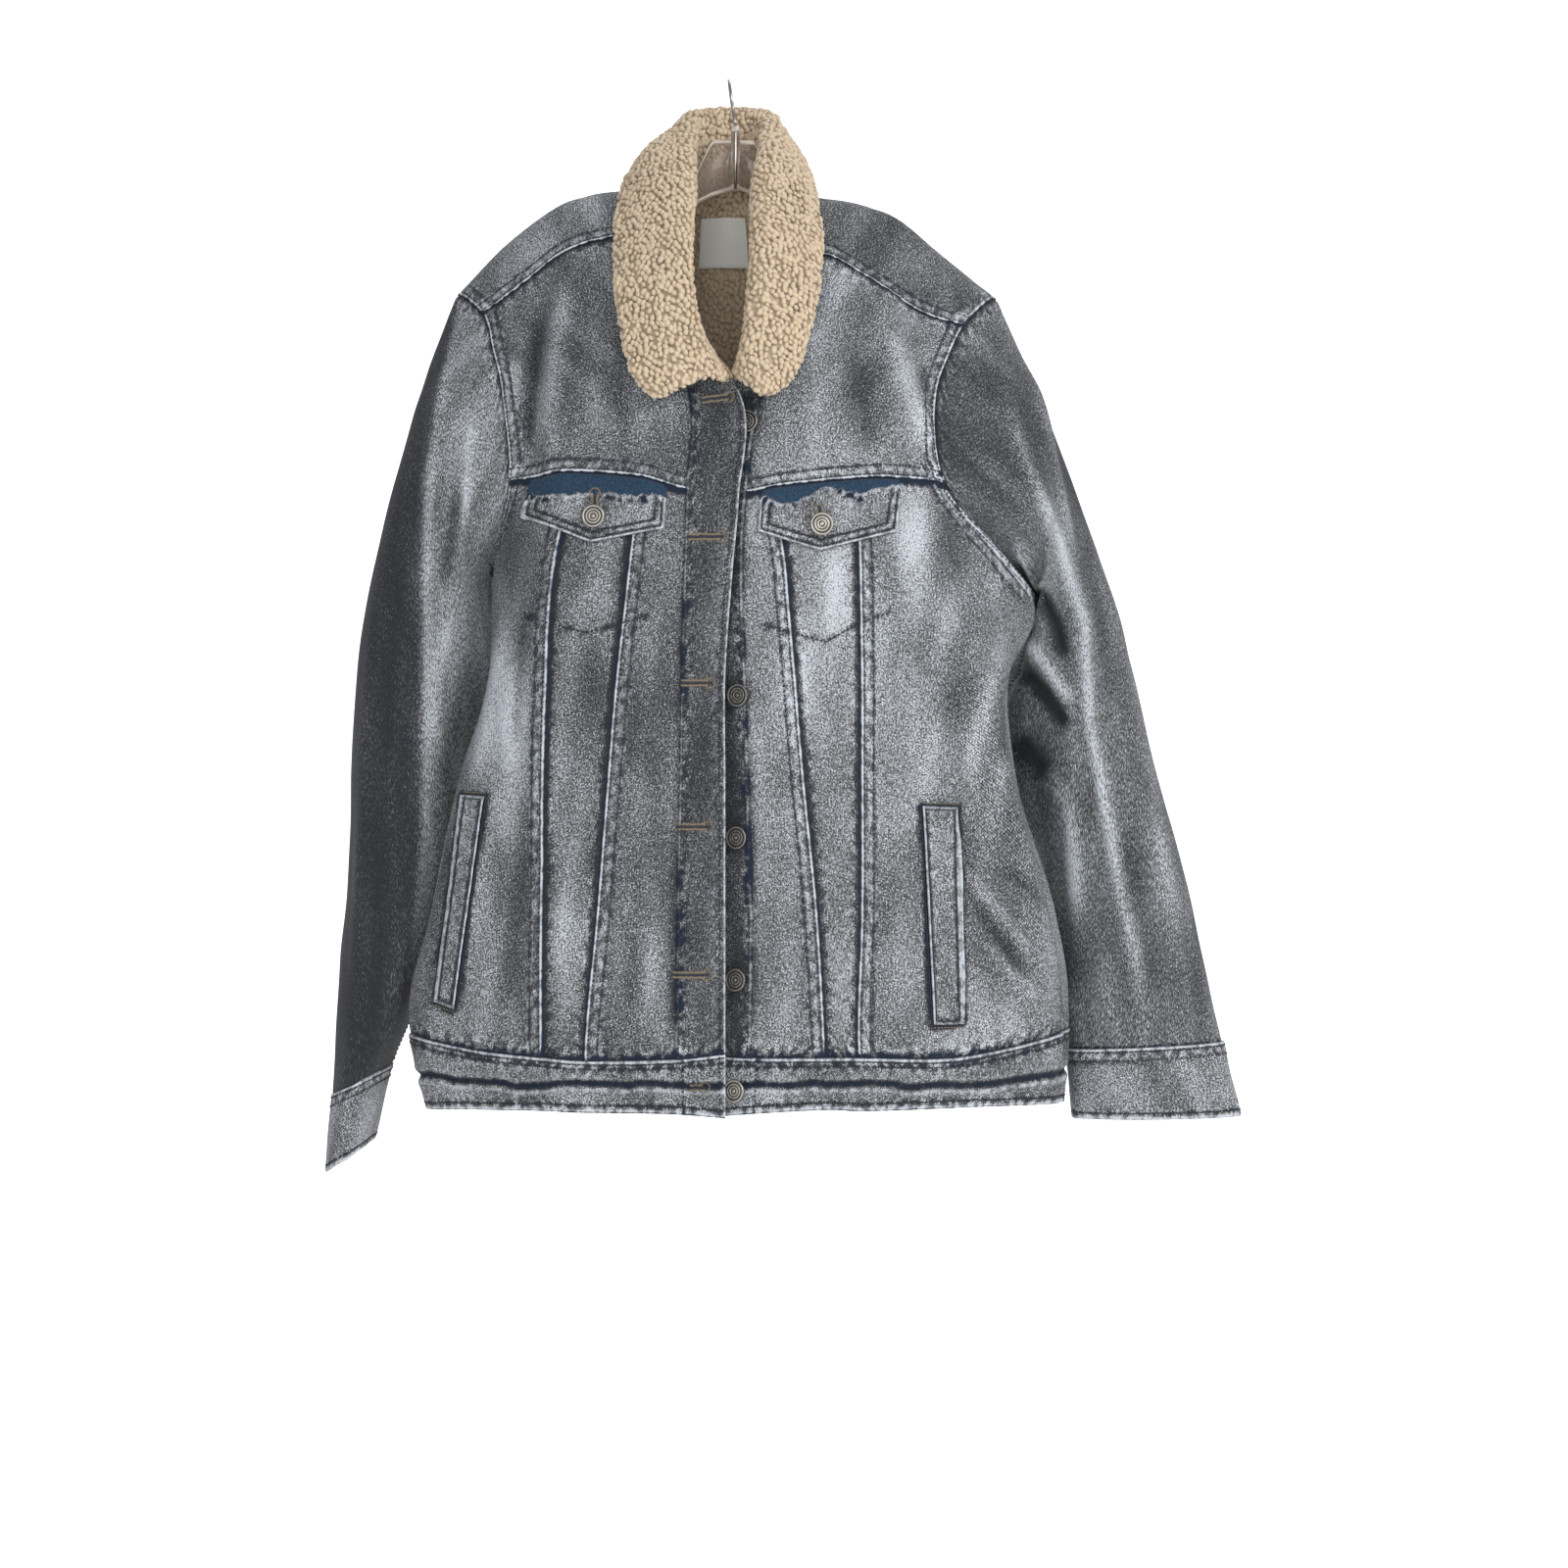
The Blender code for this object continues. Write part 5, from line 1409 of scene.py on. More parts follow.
class Thread:
    """Rows of stitches in one thread, gathered until they are sewn as one piece.

    Args:
        name: The piece's name.
        material: The thread's finish.
        size: Length, width and height of a stitch, in mm.
    """

    def __init__(self, name: str, material: Material,
                 size: tuple[float, float, float] = (2.7, 1.25, 0.9)) -> None:
        """Start a thread without rows."""
        self.name, self.material, self.size = name, material, size
        self.sunk = 0.1  # how far a stitch sits in the cloth
        self.points: list[Array] = []
        self.ways: list[Array] = []
        self.outs: list[Array] = []

    def row(self, line: Line, pitch: float = STITCH) -> None:
        """Add a row of stitches.

        Args:
            line: The points and normals that it follows.
            pitch: From one stitch to the next.
        """
        points, normals = line
        if len(points) < 3:
            return
        run = lengths(points)
        count = int(run[-1] / pitch)
        if count < 1:
            return
        at = (np.arange(count) + 0.5) * run[-1] / count
        ways = looked_up(at + 1, run, points) - looked_up(at - 1, run, points)
        self.bars(looked_up(at, run, points), ways, unit(looked_up(at, run, normals)))

    def bars(self, points: Array, ways: Array, outs: Array) -> None:
        """Add single stitches.

        Args:
            points: Where each lies on the cloth.
            ways: Which way its thread runs.
            outs: The way out of the cloth.
        """
        self.points.append(points + outs * (self.size[2] / 2 - self.sunk))
        self.ways.append(unit(ways))
        self.outs.append(unit(outs))

    def sew(self, tree: Repeat) -> None:
        """Make all the rows one piece with the tree of stitches.

        Args:
            tree: The tree of stitches.
        """
        points, ways, outs = (np.concatenate(block) for block in (self.points, self.ways, self.outs))
        data = bpy.data.meshes.new(self.name + "_points")
        data.from_pydata((points * MM).tolist(), [], [])
        for key, values in (("along", ways), ("out", outs)):
            made = data.attributes.new(key, "FLOAT_VECTOR", "POINT")
            made.data.foreach_set("vector", values.astype(np.float32).ravel())
        carrier = bpy.data.objects.new(self.name + "_points", data)
        bpy.context.scene.collection.objects.link(carrier)
        sizes = {key: side * MM for key, side in zip(("Length", "Width", "Height"), self.size)}
        piece = tree.grow(self.name, carrier, Material=self.material, **sizes)
        bpy.data.objects.remove(carrier)
        declare(piece, Slot.DENIM)
# Extra lines beside the seams, as distances in mm before and after a column or level.
INNER_BAND = (12.5, 10.8, 9.4, 8.3, 6.0, 3.4, 2.3, 1.1, 0.4)
UNDER_BAND = (0.6, 1.5)
FRONT_NEAR: Near = {0: ((), (0.6, 2.0, 3.6, 5.2)), 1: ((3.2, 1.6, 0.5), (0.6, 2.0)),
                    2: (INNER_BAND, UNDER_BAND), 3: (UNDER_BAND, INNER_BAND), 5: (INNER_BAND, ())}
LEVEL_NEAR: Near = {1: ((7.0, 0.8), (0.6, 2.0)), 4: (INNER_BAND, UNDER_BAND), 9: ((2.0, 0.6), (7.0,))}
BACK_NEAR: Near = {0: ((), INNER_BAND), 2: (UNDER_BAND, INNER_BAND), 4: (INNER_BAND, UNDER_BAND),
                   6: (INNER_BAND, ())}
BACK_LEVEL_NEAR: Near = {3: ((7.0, 0.8), (0.6, 2.0)), 9: ((2.0, 0.6), (7.0,))}
BAND_NEAR: Near = {0: ((), (0.6, 2.0, 3.6, 5.2, 30.0, 32.0)), 5: ((3.0, 1.0), ())}
BAND_LEVEL_NEAR: Near = {9: ((), (0.4, 1.0, 2.3, 3.6)), 10: ((2.5, 1.0), (1.0, 2.5)),
                         11: ((6.5, 5.0, 3.5, 1.0), ())}

# How many even steps lie between each two columns or levels.
YOKE_STEPS = (8, 8, 8, 8, 12)
YOKE_BACK_STEPS, YOKE_BACK_DOWN = (20, 24, 16, 16, 24, 20), (9, 13, 15)
FRONT_STEPS = {"right": (6, 8, 10, 10, 12), "left": (6, 8, 10, 16, 26)}
FRONT_DOWN = (15, 16, 14, 15, 18, 18, 25, 26)
BACK_STEPS, BACK_DOWN = (8, 8, 14, 14, 8, 8), (12, 14, 14, 14, 20, 20)

# Stitched lines on the fronts, as (x, z) corners: the pocket bags, and the armhole's foot under the sleeve.
POCKET_BAGS = {"right": ((-151, -405), (-134, -411), (-105, -419), (-80, -413), (-58, -406)),
               "left": ((25, -413), (71, -426), (96, -412), (118, -404))}
ARMHOLE_LOW = ((150, -290), (162, -314), (180, -337), (200, -359), (216, -377), (227, -390))


def body_surfaces() -> dict[str, Surface]:
    """The right front, the left front and the back, which share their side and shoulder lines.

    Returns:
        The surfaces by name.
    """
    right, left, back = (np.array([row[1:] for row in rows], float)
                         for rows in (FRONT_RIGHT, FRONT_LEFT, BACK))
    over_right = np.stack([back[1, 2], back[1, 2], back[1, 2], back[1, 1], back[1, 1], back[1, 0]])
    over_left = np.stack([back[1, 4], back[1, 4], back[1, 4], back[1, 5], back[1, 5], back[1, 6]])
    over_right[:, 0] = right[0, :, 0]
    over_left[:, 0] = left[0, :, 0]
    under_neck = 2 * back[0, 3] - back[1, 3]
    over_back = np.stack([right[1, 5], right[1, 3], right[1, 0], under_neck,
                          left[1, 0], left[1, 3], left[1, 5]])
    over_back[:, 0] = back[0, :, 0]
    return {
        "right": Surface(FRONT_RIGHT, 1, over_right, past_last=back[:, 1]),
        "left": Surface(FRONT_LEFT, -1, over_left, past_last=back[:, -2]),
        "back": Surface(BACK, 1, over_back, past_first=right[:, -2], past_last=left[:, -2]),
    }


# Creases and folds of the fronts: (spine in (x, z)), half width, rise, light.
FRONT_FOLDS = {
    "right": (
        (((-120, -150), (-128, -200), (-134, -250), (-138, -292)), 9.0, 1.6, 0.35),
        (((-143, -180), (-146, -230), (-150, -290)), 6.0, -1.6, -0.30),
        (((-158, -200), (-160, -250), (-156, -290)), 5.0, 1.2, 0.22),
        (((-92, -140), (-98, -190), (-100, -240), (-96, -285)), 10.0, 1.0, 0.14),
        (((-74, -190), (-80, -235), (-78, -280)), 7.0, -0.9, -0.16),
        (((-165, -400), (-172, -450), (-182, -500), (-194, -545)), 6.0, 1.5, 0.25),
        (((-150, -395), (-156, -450), (-160, -510)), 5.0, -1.3, -0.25),
        (((-178, -560), (-190, -620), (-205, -690)), 7.0, 1.4, 0.22),
        (((-150, -560), (-156, -620), (-168, -700)), 7.0, -1.2, -0.18),
        (((-120, -380), (-118, -460), (-122, -540)), 9.0, 0.9, 0.12),
        (((-118, -590), (-122, -650), (-120, -715)), 6.0, 1.0, 0.14),
        (((-60, -390), (-58, -450), (-66, -520)), 8.0, 0.9, 0.10),
        (((-70, -560), (-64, -620), (-72, -700)), 7.0, -0.8, -0.10),
        (((-54, -640), (-58, -690), (-52, -722)), 5.0, 0.9, 0.12),
    ),
    "left": (
        (((118, -185), (128, -225), (140, -265), (148, -298)), 9.0, 1.6, 0.35),
        (((90, -200), (98, -240), (104, -290)), 8.0, -1.2, -0.20),
        (((60, -175), (66, -220), (62, -280)), 9.0, 0.9, 0.14),
        (((140, -215), (150, -250), (158, -285)), 4.0, -1.1, -0.25),
        (((205, -410), (196, -450), (180, -500), (172, -540)), 8.0, 1.6, 0.25),
        (((216, -445), (206, -490), (200, -520)), 5.0, -1.3, -0.25),
        (((150, -390), (146, -440), (150, -500)), 7.0, -1.0, -0.15),
        (((170, -590), (196, -620), (226, -662)), 5.5, 1.6, 0.28),
        (((176, -612), (200, -645), (222, -676)), 4.5, -1.5, -0.30),
        (((186, -640), (208, -668), (232, -694)), 5.0, 1.4, 0.25),
        (((198, -590), (222, -606), (238, -622)), 4.0, -1.1, -0.22),
        (((120, -600), (124, -650), (118, -712)), 6.0, 1.0, 0.14),
        (((40, -400), (42, -470), (52, -540)), 8.0, 0.9, 0.10),
        (((84, -400), (80, -470), (84, -560)), 8.0, -0.7, -0.08),
        (((42, -620), (46, -670), (40, -722)), 6.0, 0.9, 0.12),
    ),
}

# Fades and painted light and shade on the fronts: x, z, reach across and down, light and indigo.
FADES_AND_SHADING = {
    "right": (
        (-160, -480, 12, 60, 0.45, 0), (-174, -558, 14, 50, 0.30, 0), (-102, -458, 20, 30, -0.15, 0),
        (-96, -400, 14, 40, 0.30, 0), (-172, -650, 12, 40, 0.40, 0), (-58, -640, 10, 50, 0.35, 0),
        (-120, -620, 14, 50, 0.30, 0), (-120, -340, 60, 40, 0.12, 0), (-132, -352, 12, 6, 0, 0.35),
        (-180, -480, 30, 60, 0.12, 0), (-192, -604, 9, 9, 0.0, 0.5), (-60, -430, 40, 90, -0.12, 0),
        (-110, -230, 50, 50, -0.12, 0), (-160, -330, 24, 40, -0.18, 0),
    ),
    "left": (
        (137, -344, 12, 36, 0.55, 0), (77, -394, 10, 36, 0.45, 0), (158, -415, 12, 30, 0.15, 0),
        (170, -458, 22, 40, -0.35, 0), (52, -470, 9, 60, 0.35, 0), (60, -220, 50, 50, -0.10, 0),
        (90, -400, 60, 90, 0.22, 0), (110, -640, 50, 50, -0.10, 0), (186, -620, 40, 70, -0.25, 0),
        (166, -330, 30, 40, -0.22, 0), (214, -470, 30, 70, -0.20, 0), (110, -250, 60, 60, -0.22, 0),
    ),
}
# Folds of the back, given as those of the fronts.
BACK_FOLDS = (
    (((-150, -270), (-140, -340), (-120, -420)), 12.0, 2.0, 0.20),
    (((-165, -290), (-152, -350), (-140, -400)), 8.0, -1.8, -0.20),
    (((150, -275), (142, -345), (126, -430)), 12.0, 2.2, 0.20),
    (((166, -300), (158, -360), (148, -410)), 8.0, -1.8, -0.20),
    (((-60, -260), (-54, -340), (-62, -430)), 14.0, 1.4, 0.12),
    (((40, -262), (46, -350), (38, -440)), 14.0, 1.4, 0.12),
    (((-20, -420), (-10, -520), (-18, -640)), 16.0, 1.5, 0.10),
    (((70, -430), (78, -540), (72, -660)), 14.0, -1.3, -0.12),
    (((-90, -450), (-84, -560), (-92, -690)), 14.0, 1.5, 0.12),
    (((-180, -600), (-160, -650), (-150, -710)), 9.0, 1.6, 0.18),
    (((190, -590), (170, -650), (160, -712)), 9.0, 1.6, 0.18),
    (((-130, -150), (-120, -185), (-100, -225)), 9.0, 1.0, 0.12),
    (((120, -150), (112, -190), (96, -230)), 9.0, 1.0, 0.12),
)


@dataclass
class Finishes:
    """The materials, made once."""

    denim: Material
    sherpa: Material
    label: Material
    navy: Material
    tan: Material
    fringe: Material
    silver: Material
    clear: Material
    steel: Material

    @classmethod
    def make(cls) -> "Finishes":
        """Make every finish.

        Returns:
            The finishes.
        """
        return cls(
            denim=Denim().make(),
            sherpa=Pile().make(),
            label=Plain("label_weave", (0.84, 0.84, 0.78, 1.0), 0.8, grain=1600.0, vary=0.10).make(),
            navy=Plain("thread_navy", (0.020, 0.024, 0.038, 1.0), 0.75, vary=0.5).make(),
            tan=Plain("thread_tan", (0.22, 0.175, 0.115, 1.0), 0.75, vary=0.4).make(),
            fringe=Plain("thread_indigo", (0.015, 0.08, 0.20, 1.0), 0.8, vary=0.5).make(),
            silver=Antique().make(),
            clear=Clear().make(),
            steel=Plain("steel_wire", (0.36, 0.33, 0.31, 1.0), 0.28, metallic=1.0, grain=260.0, vary=0.08,
                        relief=0.00005).make(),
        )


@dataclass
class Body:
    """Yoke, fronts, back and waistband.

    Args:
        surfaces: The body's surfaces.
        finishes: The materials.
    """

    surfaces: dict[str, Surface]
    finishes: Finishes
    wall: float = DENIM
    band_wall: float = DOUBLED
    edge_row: float = 4.3  # from the front edge to its row of stitches
    placket_foot: float = 31.0  # from the front edge to the placket's row across the waistband
    yoke_cut: tuple[float, float] = (0.47, 0.21)
    front_cut: tuple[float, float] = (0.262, 0.640)
    back_cut: tuple[float, float] = (0.46, 0.49)
    band_cut: tuple[float, float] = (0.275, 0.045)
    band_back_cut: tuple[float, float] = (0.52, 0.045)

    def __post_init__(self) -> None:
        """Start without patches and pieces."""
        self.patches: dict[str, Patch] = {}
        self.pieces: dict[str, Piece] = {}

    def finish(self, name: str, patches: list[Patch], wall: float, cut: tuple[float, float], slot: Slot,
               *nodes: str) -> None:
        """Make a denim piece, put it under the root and hide the solids that it shows in place of.
        """
        piece = cloth_piece(name, patches, self.finishes.denim, wall)
        self.pieces[name] = declare(piece, slot, *nodes, flat=cut)

    def front(self, side: str) -> None:
        """Make one front from the yoke seam to the waistband.

        Args:
            side: The wearer's side, right or left.
        """
        patch = Patch.on(self.surfaces[side], (0, 5), (YOKE_SEAM, BAND_SEAM), FRONT_STEPS[side], FRONT_DOWN,
                         FRONT_NEAR, LEVEL_NEAR, side == "left")
        seed = 11 if side == "right" else 51
        below_chest = ease(patch.down(CHEST_SEAM) / 1.5)
        patch.rumple(46, 1.0, seed)
        patch.rumple(17, 0.35, seed + 1)
        patch.fold(FRONT_FOLDS[side])
        fall, run = patch.fall, patch.run
        panels = below_chest * ease((-patch.down(BAND_SEAM) + 4) / 2)
        patch.band(-patch.across(2), fall, seed + 2, where=panels, wear=0.45)
        patch.band(patch.across(3), fall, seed + 3, where=panels, wear=0.45)
        outside = ease(patch.across(1) / 1.0)
        patch.band(-patch.down(CHEST_SEAM), run, seed + 4, where=outside, wear=1.1)
        armhole = ease((UNDERARM - patch.level) / 0.05)
        patch.band(-patch.across(5), fall, seed + 5, where=armhole, rise=1.2, wear=0.6)
        self.placket(patch, side, seed)
        self.seam_wear_and_shade(patch, seed, 1 - armhole)
        # random tone, with painted shade over the whole right front and painted light over the left one
        patch.tone += 0.2 * clouds(patch.base, 60, seed + 11) + (-0.10 if side == "right" else 0.07)
        patch.fade(FADES_AND_SHADING[side])
        flat, shows = patch.base[..., [0, 2]], patch.normals[..., 1] < 0
        if side == "left":
            reach = ease((-292 - flat[..., 1]) / 6) * ease((flat[..., 1] + 394) / 6)
            hidden, _ = nearest(flat, np.array(ARMHOLE_LOW, float))
            patch.band(hidden, fall, seed + 14, where=(patch.normals[..., 1] < 0.2) * reach, wear=0.7)
            # painted shadow round each front button on the stand
            for x, z in zip(FRONT_BUTTON_X, FRONT_BUTTON_HEIGHTS):
                patch.tone -= 0.45 * shows * bell(np.hypot(flat[..., 0] - x, flat[..., 1] - z), 12)
        _, _, *corners, _ = WELTS[0 if side == "right" else 1]
        welt, _ = nearest(flat, np.array([*corners, corners[0]], float))
        # painted shadow round the welt, with indigo and puckers beside it
        patch.tone -= 1.3 * shows * bell(welt - 1.2, 1.7)
        patch.indigo += 0.8 * shows * bell(welt - 1.2, 1.9)
        patch.pucker += 0.6 * shows * bell(welt, 8)
        bag, _ = nearest(flat, np.array(POCKET_BAGS[side], float))
        # painted shade along the stitched line of the pocket bag
        patch.tone -= 0.8 * below_chest * shows * bell(bag, 0.8)
        self.patches[f"front_{side}"] = patch
        self.finish(f"front_{side}", [patch], self.wall, self.front_cut, Slot.DENIM, f"front_upper_{side}",
                    f"front_center_{side}", f"front_middle_{side}", f"front_side_{side}",
                    "placket_right" if side == "right" else "button_stand_left")

    def placket(self, patch: Patch, side: str, seed: int) -> None:
        """Work in the doubled front edge, its stitches, the blots of indigo along it, the painted shade over
        it and along its step, and on the left front the painted shadow that the right front casts.

        Args:
            patch: The front's patch.
            side: Its side.
            seed: Seed of the blots.
        """
        fall, edge = patch.fall, patch.across(0)
        placket = ease((patch.level - COLLAR_POINT + 0.15) / 0.1)
        inner = -patch.across(1)
        step = ease(inner / 1.0 + 0.5) * placket
        blots = np.clip(ripple(fall, 15, seed + 6) * 1.3 + 0.15, 0, 1)
        patch.height += 1.0 * step
        patch.height += placket * (0.35 * bell(edge - 0.8, 1.2) - 0.4 * bell(edge - self.edge_row, 1.0))
        patch.pale += placket * (0.9 * bell(edge - 0.7, 0.9) + 0.25 * bell(edge - 8, 4))
        patch.indigo += placket * ((0.3 + 0.5 * blots) * bell(inner + 0.7, 1.0)
                                   + (0.05 + 0.85 * blots) * bell(inner - 3.0, 3.2)
                                   + 0.3 * bell(edge - self.edge_row, 0.8))
        patch.pucker += placket * (1.2 * bell(inner - 3.5, 4.5) + 0.5 * bell(edge - 5, 4))
        patch.pale += placket * 0.5 * (1 - blots) * bell(inner - 0.6, 1.2)
        # painted shade over the placket and along its step
        patch.tone -= placket * (step * 0.30 + (0.45 + 0.5 * blots) * bell(inner + 0.9, 1.2))
        # painted shadow that the overlapping right front casts on the button stand
        if side == "left":
            patch.tone -= 0.35 * placket * bell(inner - 12, 9)
        patch.height += 0.7 * placket * ripple(fall, 11, seed + 12) * bell(inner - 3, 5)

    def seam_wear_and_shade(self, patch: Patch, seed: int, low: Array) -> None:
        """Work in a front's puckers, wear and painted shade at the yoke, the waistband and the side.

        Args:
            patch: The front's patch.
            seed: Seed of the puckers.
            low: 1 below the armhole and 0 above.
        """
        run, yoke = patch.run, patch.down(YOKE_SEAM)
        patch.indigo += 0.9 * bell(yoke - 0.7, 1.0) + 0.30 * bell(yoke - 5, 4)
        patch.pucker += 0.8 * bell(yoke - 5, 5)
        # painted shade under the yoke seam
        patch.tone -= 0.7 * bell(yoke - 1.0, 1.6)
        patch.height -= 2.0 * ease(-yoke / 0.6 + 0.5)
        patch.height += 0.5 * ripple(run, 5.5, seed + 9) * bell(yoke - 6, 5)
        band = patch.down(BAND_SEAM)
        patch.height -= 1.6 * ease(band / 0.6 + 0.3)
        patch.indigo += 0.9 * bell(band + 0.8, 1.4) + 0.35 * bell(band + 5, 5)
        patch.pucker += bell(band + 5, 6)
        # painted shade along the waistband seam
        patch.tone -= 0.6 * bell(band + 1.0, 1.6)
        patch.height += 0.6 * ripple(run, 5.0, seed + 10) * bell(band + 6, 5)
        side_seam = patch.across(5)
        patch.indigo += low * 0.6 * bell(side_seam + 0.6, 0.8)
        patch.pale += low * 0.6 * bell(side_seam + 2.4, 1.4)

    def yoke(self) -> None:
        """Make the front yokes and the back yoke in one, folded over the shoulders."""
        patches = []
        for side in ("right", "left"):
            patch = Patch.on(self.surfaces[side], (0, 5), (0, YOKE_SEAM), YOKE_STEPS, (12,),
                             {5: (INNER_BAND, ())}, {1: (INNER_BAND, ())}, side == "left")
            seed = 91 if side == "right" else 95
            patch.band(-patch.down(YOKE_SEAM), patch.run, seed, rise=0.8)
            patch.band(-patch.across(5), patch.fall, seed + 1, rise=1.2)
            patch.height *= ease(patch.level / 0.15)
            patch.tone += 0.16 * clouds(patch.base, 50, seed) + (0.0 if side == "right" else -0.22)
            patch.pale += 0.35 * bell(patch.fall, 6.0)
            self.patches[f"yoke_{side}"] = patch
            patches.append(patch)
        back = Patch.on(self.surfaces["back"], (0, 6), (0, COLLAR_POINT), YOKE_BACK_STEPS, YOKE_BACK_DOWN,
                        {0: ((), INNER_BAND), 6: (INNER_BAND, ())}, {3: (INNER_BAND, ())}, False)
        seed = 99
        back.band(-back.down(COLLAR_POINT), back.run, seed, rise=0.8)
        back.band(back.across(0), back.fall, seed + 1, rise=1.2)
        back.band(-back.across(6), back.fall, seed + 2, rise=1.2)
        back.fold(BACK_FOLDS)
        back.height *= ease(back.level / 0.15)
        back.tone += 0.08 * clouds(back.base, 50, seed) + 0.06
        back.pale += 0.35 * bell(back.fall, 6.0)
        half = patches[0].height.shape[1]
        for key in ("base", "height", *WEAR_AND_SHADING):
            right, left, whole = (getattr(patch, key) for patch in (*patches, back))
            whole[0, :half], whole[0, -half:] = right[0, ::-1], left[0]
        patches.append(back)
        self.patches["yoke_back"] = back
        self.finish("yoke", patches, self.wall, self.yoke_cut, Slot.DENIM, "yoke")

    def back(self) -> None:
        """Make the back below its yoke, in three panels sewn as one piece."""
        patch = Patch.on(self.surfaces["back"], (0, 6), (COLLAR_POINT, BAND_SEAM), BACK_STEPS, BACK_DOWN,
                         BACK_NEAR, BACK_LEVEL_NEAR, False)
        seed = 131
        patch.rumple(60, 1.4, seed)
        patch.fold(BACK_FOLDS, behind=True)
        patch.band(patch.across(2), patch.fall, seed + 1)
        patch.band(-patch.across(4), patch.fall, seed + 2)
        armhole = ease((UNDERARM - patch.level) / 0.05)
        patch.band(patch.across(0), patch.fall, seed + 3, where=armhole, rise=1.2)
        patch.band(-patch.across(6), patch.fall, seed + 4, where=armhole, rise=1.2)
        yoke, band = patch.down(COLLAR_POINT), patch.down(BAND_SEAM)
        patch.indigo += 0.9 * bell(yoke - 0.7, 0.9) + 0.8 * bell(band + 0.8, 1.0)
        patch.height -= 2.0 * ease(-yoke / 0.6 + 0.5) + 1.6 * ease(band / 0.6 + 0.3)
        patch.height += 0.6 * ripple(patch.run, 5.0, seed + 5) * (bell(band + 6, 5) + bell(yoke - 6, 5))
        patch.tone += 0.10 * clouds(patch.base, 60, seed + 6)
        self.patches["back"] = patch
        self.finish("back", [patch], self.wall, self.back_cut, Slot.DENIM, "back_center", "back_side_right",
                    "back_side_left")

    def waistband(self, side: str) -> None:
        """Make one part of the doubled waistband: right, left or back.

        Args:
            side: The part, right, left or back.
        """
        wide = side == "back"
        steps = (10, 10, 14, 14, 10, 10) if wide else (6, 10, 8, 10, 10)
        patch = Patch.on(self.surfaces[side], (0, len(steps)), (BAND_SEAM, HEM), steps, (8, 8),
                         {} if wide else BAND_NEAR, BAND_LEVEL_NEAR, side == "left")
        seed = {"right": 151, "left": 157, "back": 163}[side]
        top, fold, bottom, run = patch.down(BAND_SEAM), patch.down(10), -patch.down(HEM), patch.run
        pucker = ripple(run, 4.4, seed) * 0.6 + ripple(run, 9.0, seed + 1) * 0.4
        drift = 2.2 * ripple(run, 30, seed + 2) + 1.6 * ripple(run, 12, seed + 4)
        patch.height += 1.9 + 0.45 * pucker * bell(top - 6, 6) + 0.4 * pucker * bell(bottom - 4, 5)
        crease = fold + drift
        patch.height -= 0.4 * (bell(top - 2.3, 0.9) + bell(bottom - 5.0, 1.0)) + 2.4 * bell(crease, 2.6)
        patch.height += 0.8 * bell(crease + 6, 3.5) + 0.9 * bell(crease - 6, 3.5)
        patch.indigo += 1.0 * bell(crease, 1.9) + 0.5 * bell(bottom - 0.1, 0.7)
        patch.indigo += 0.45 * bell(top - 5, 6) + 0.35 * bell(bottom - 4, 4)
        patch.pucker += 1.3 * bell(top - 5, 6) + 1.2 * bell(bottom - 4, 5) + 0.6 * bell(crease, 5)
        patch.pale += 0.9 * bell(top - 0.7, 0.9) + 0.8 * bell(bottom - 1.2, 1.2)
        patch.pale += 0.6 * bell(crease - 5, 2.5) + 0.4 * bell(crease + 5, 2.5)
        patch.pale += 0.6 * np.clip(pucker, 0, 1) * (bell(top - 5, 5) + bell(bottom - 4, 4))
        # random tone, a little darker overall, and painted shade in the crease
        patch.tone += 0.2 * clouds(patch.base, 40, seed + 3) - 0.05 - 1.2 * bell(crease, 2.4)
        patch.paint_stitch_shade(0.6, top - BAND_ROWS[0], top - BAND_ROWS[1], bottom - BAND_FOOT)
        if not wide:
            edge_run = patch.across(0)
            patch.pale += 0.8 * bell(edge_run - 0.7, 0.9)
            patch.indigo += 0.5 * bell(edge_run - 31, 1.0)
        self.patches[f"waistband_{side}"] = patch
        cut = self.band_back_cut if wide else self.band_cut
        self.finish(f"waistband_{side}", [patch], self.band_wall, cut, Slot.DARK, f"waistband_{side}")

    def build(self) -> None:
        """Make every piece of the body."""
        self.yoke()
        for side in ("right", "left"):
            self.front(side)
            self.waistband(side)
        self.back()
        self.waistband("back")

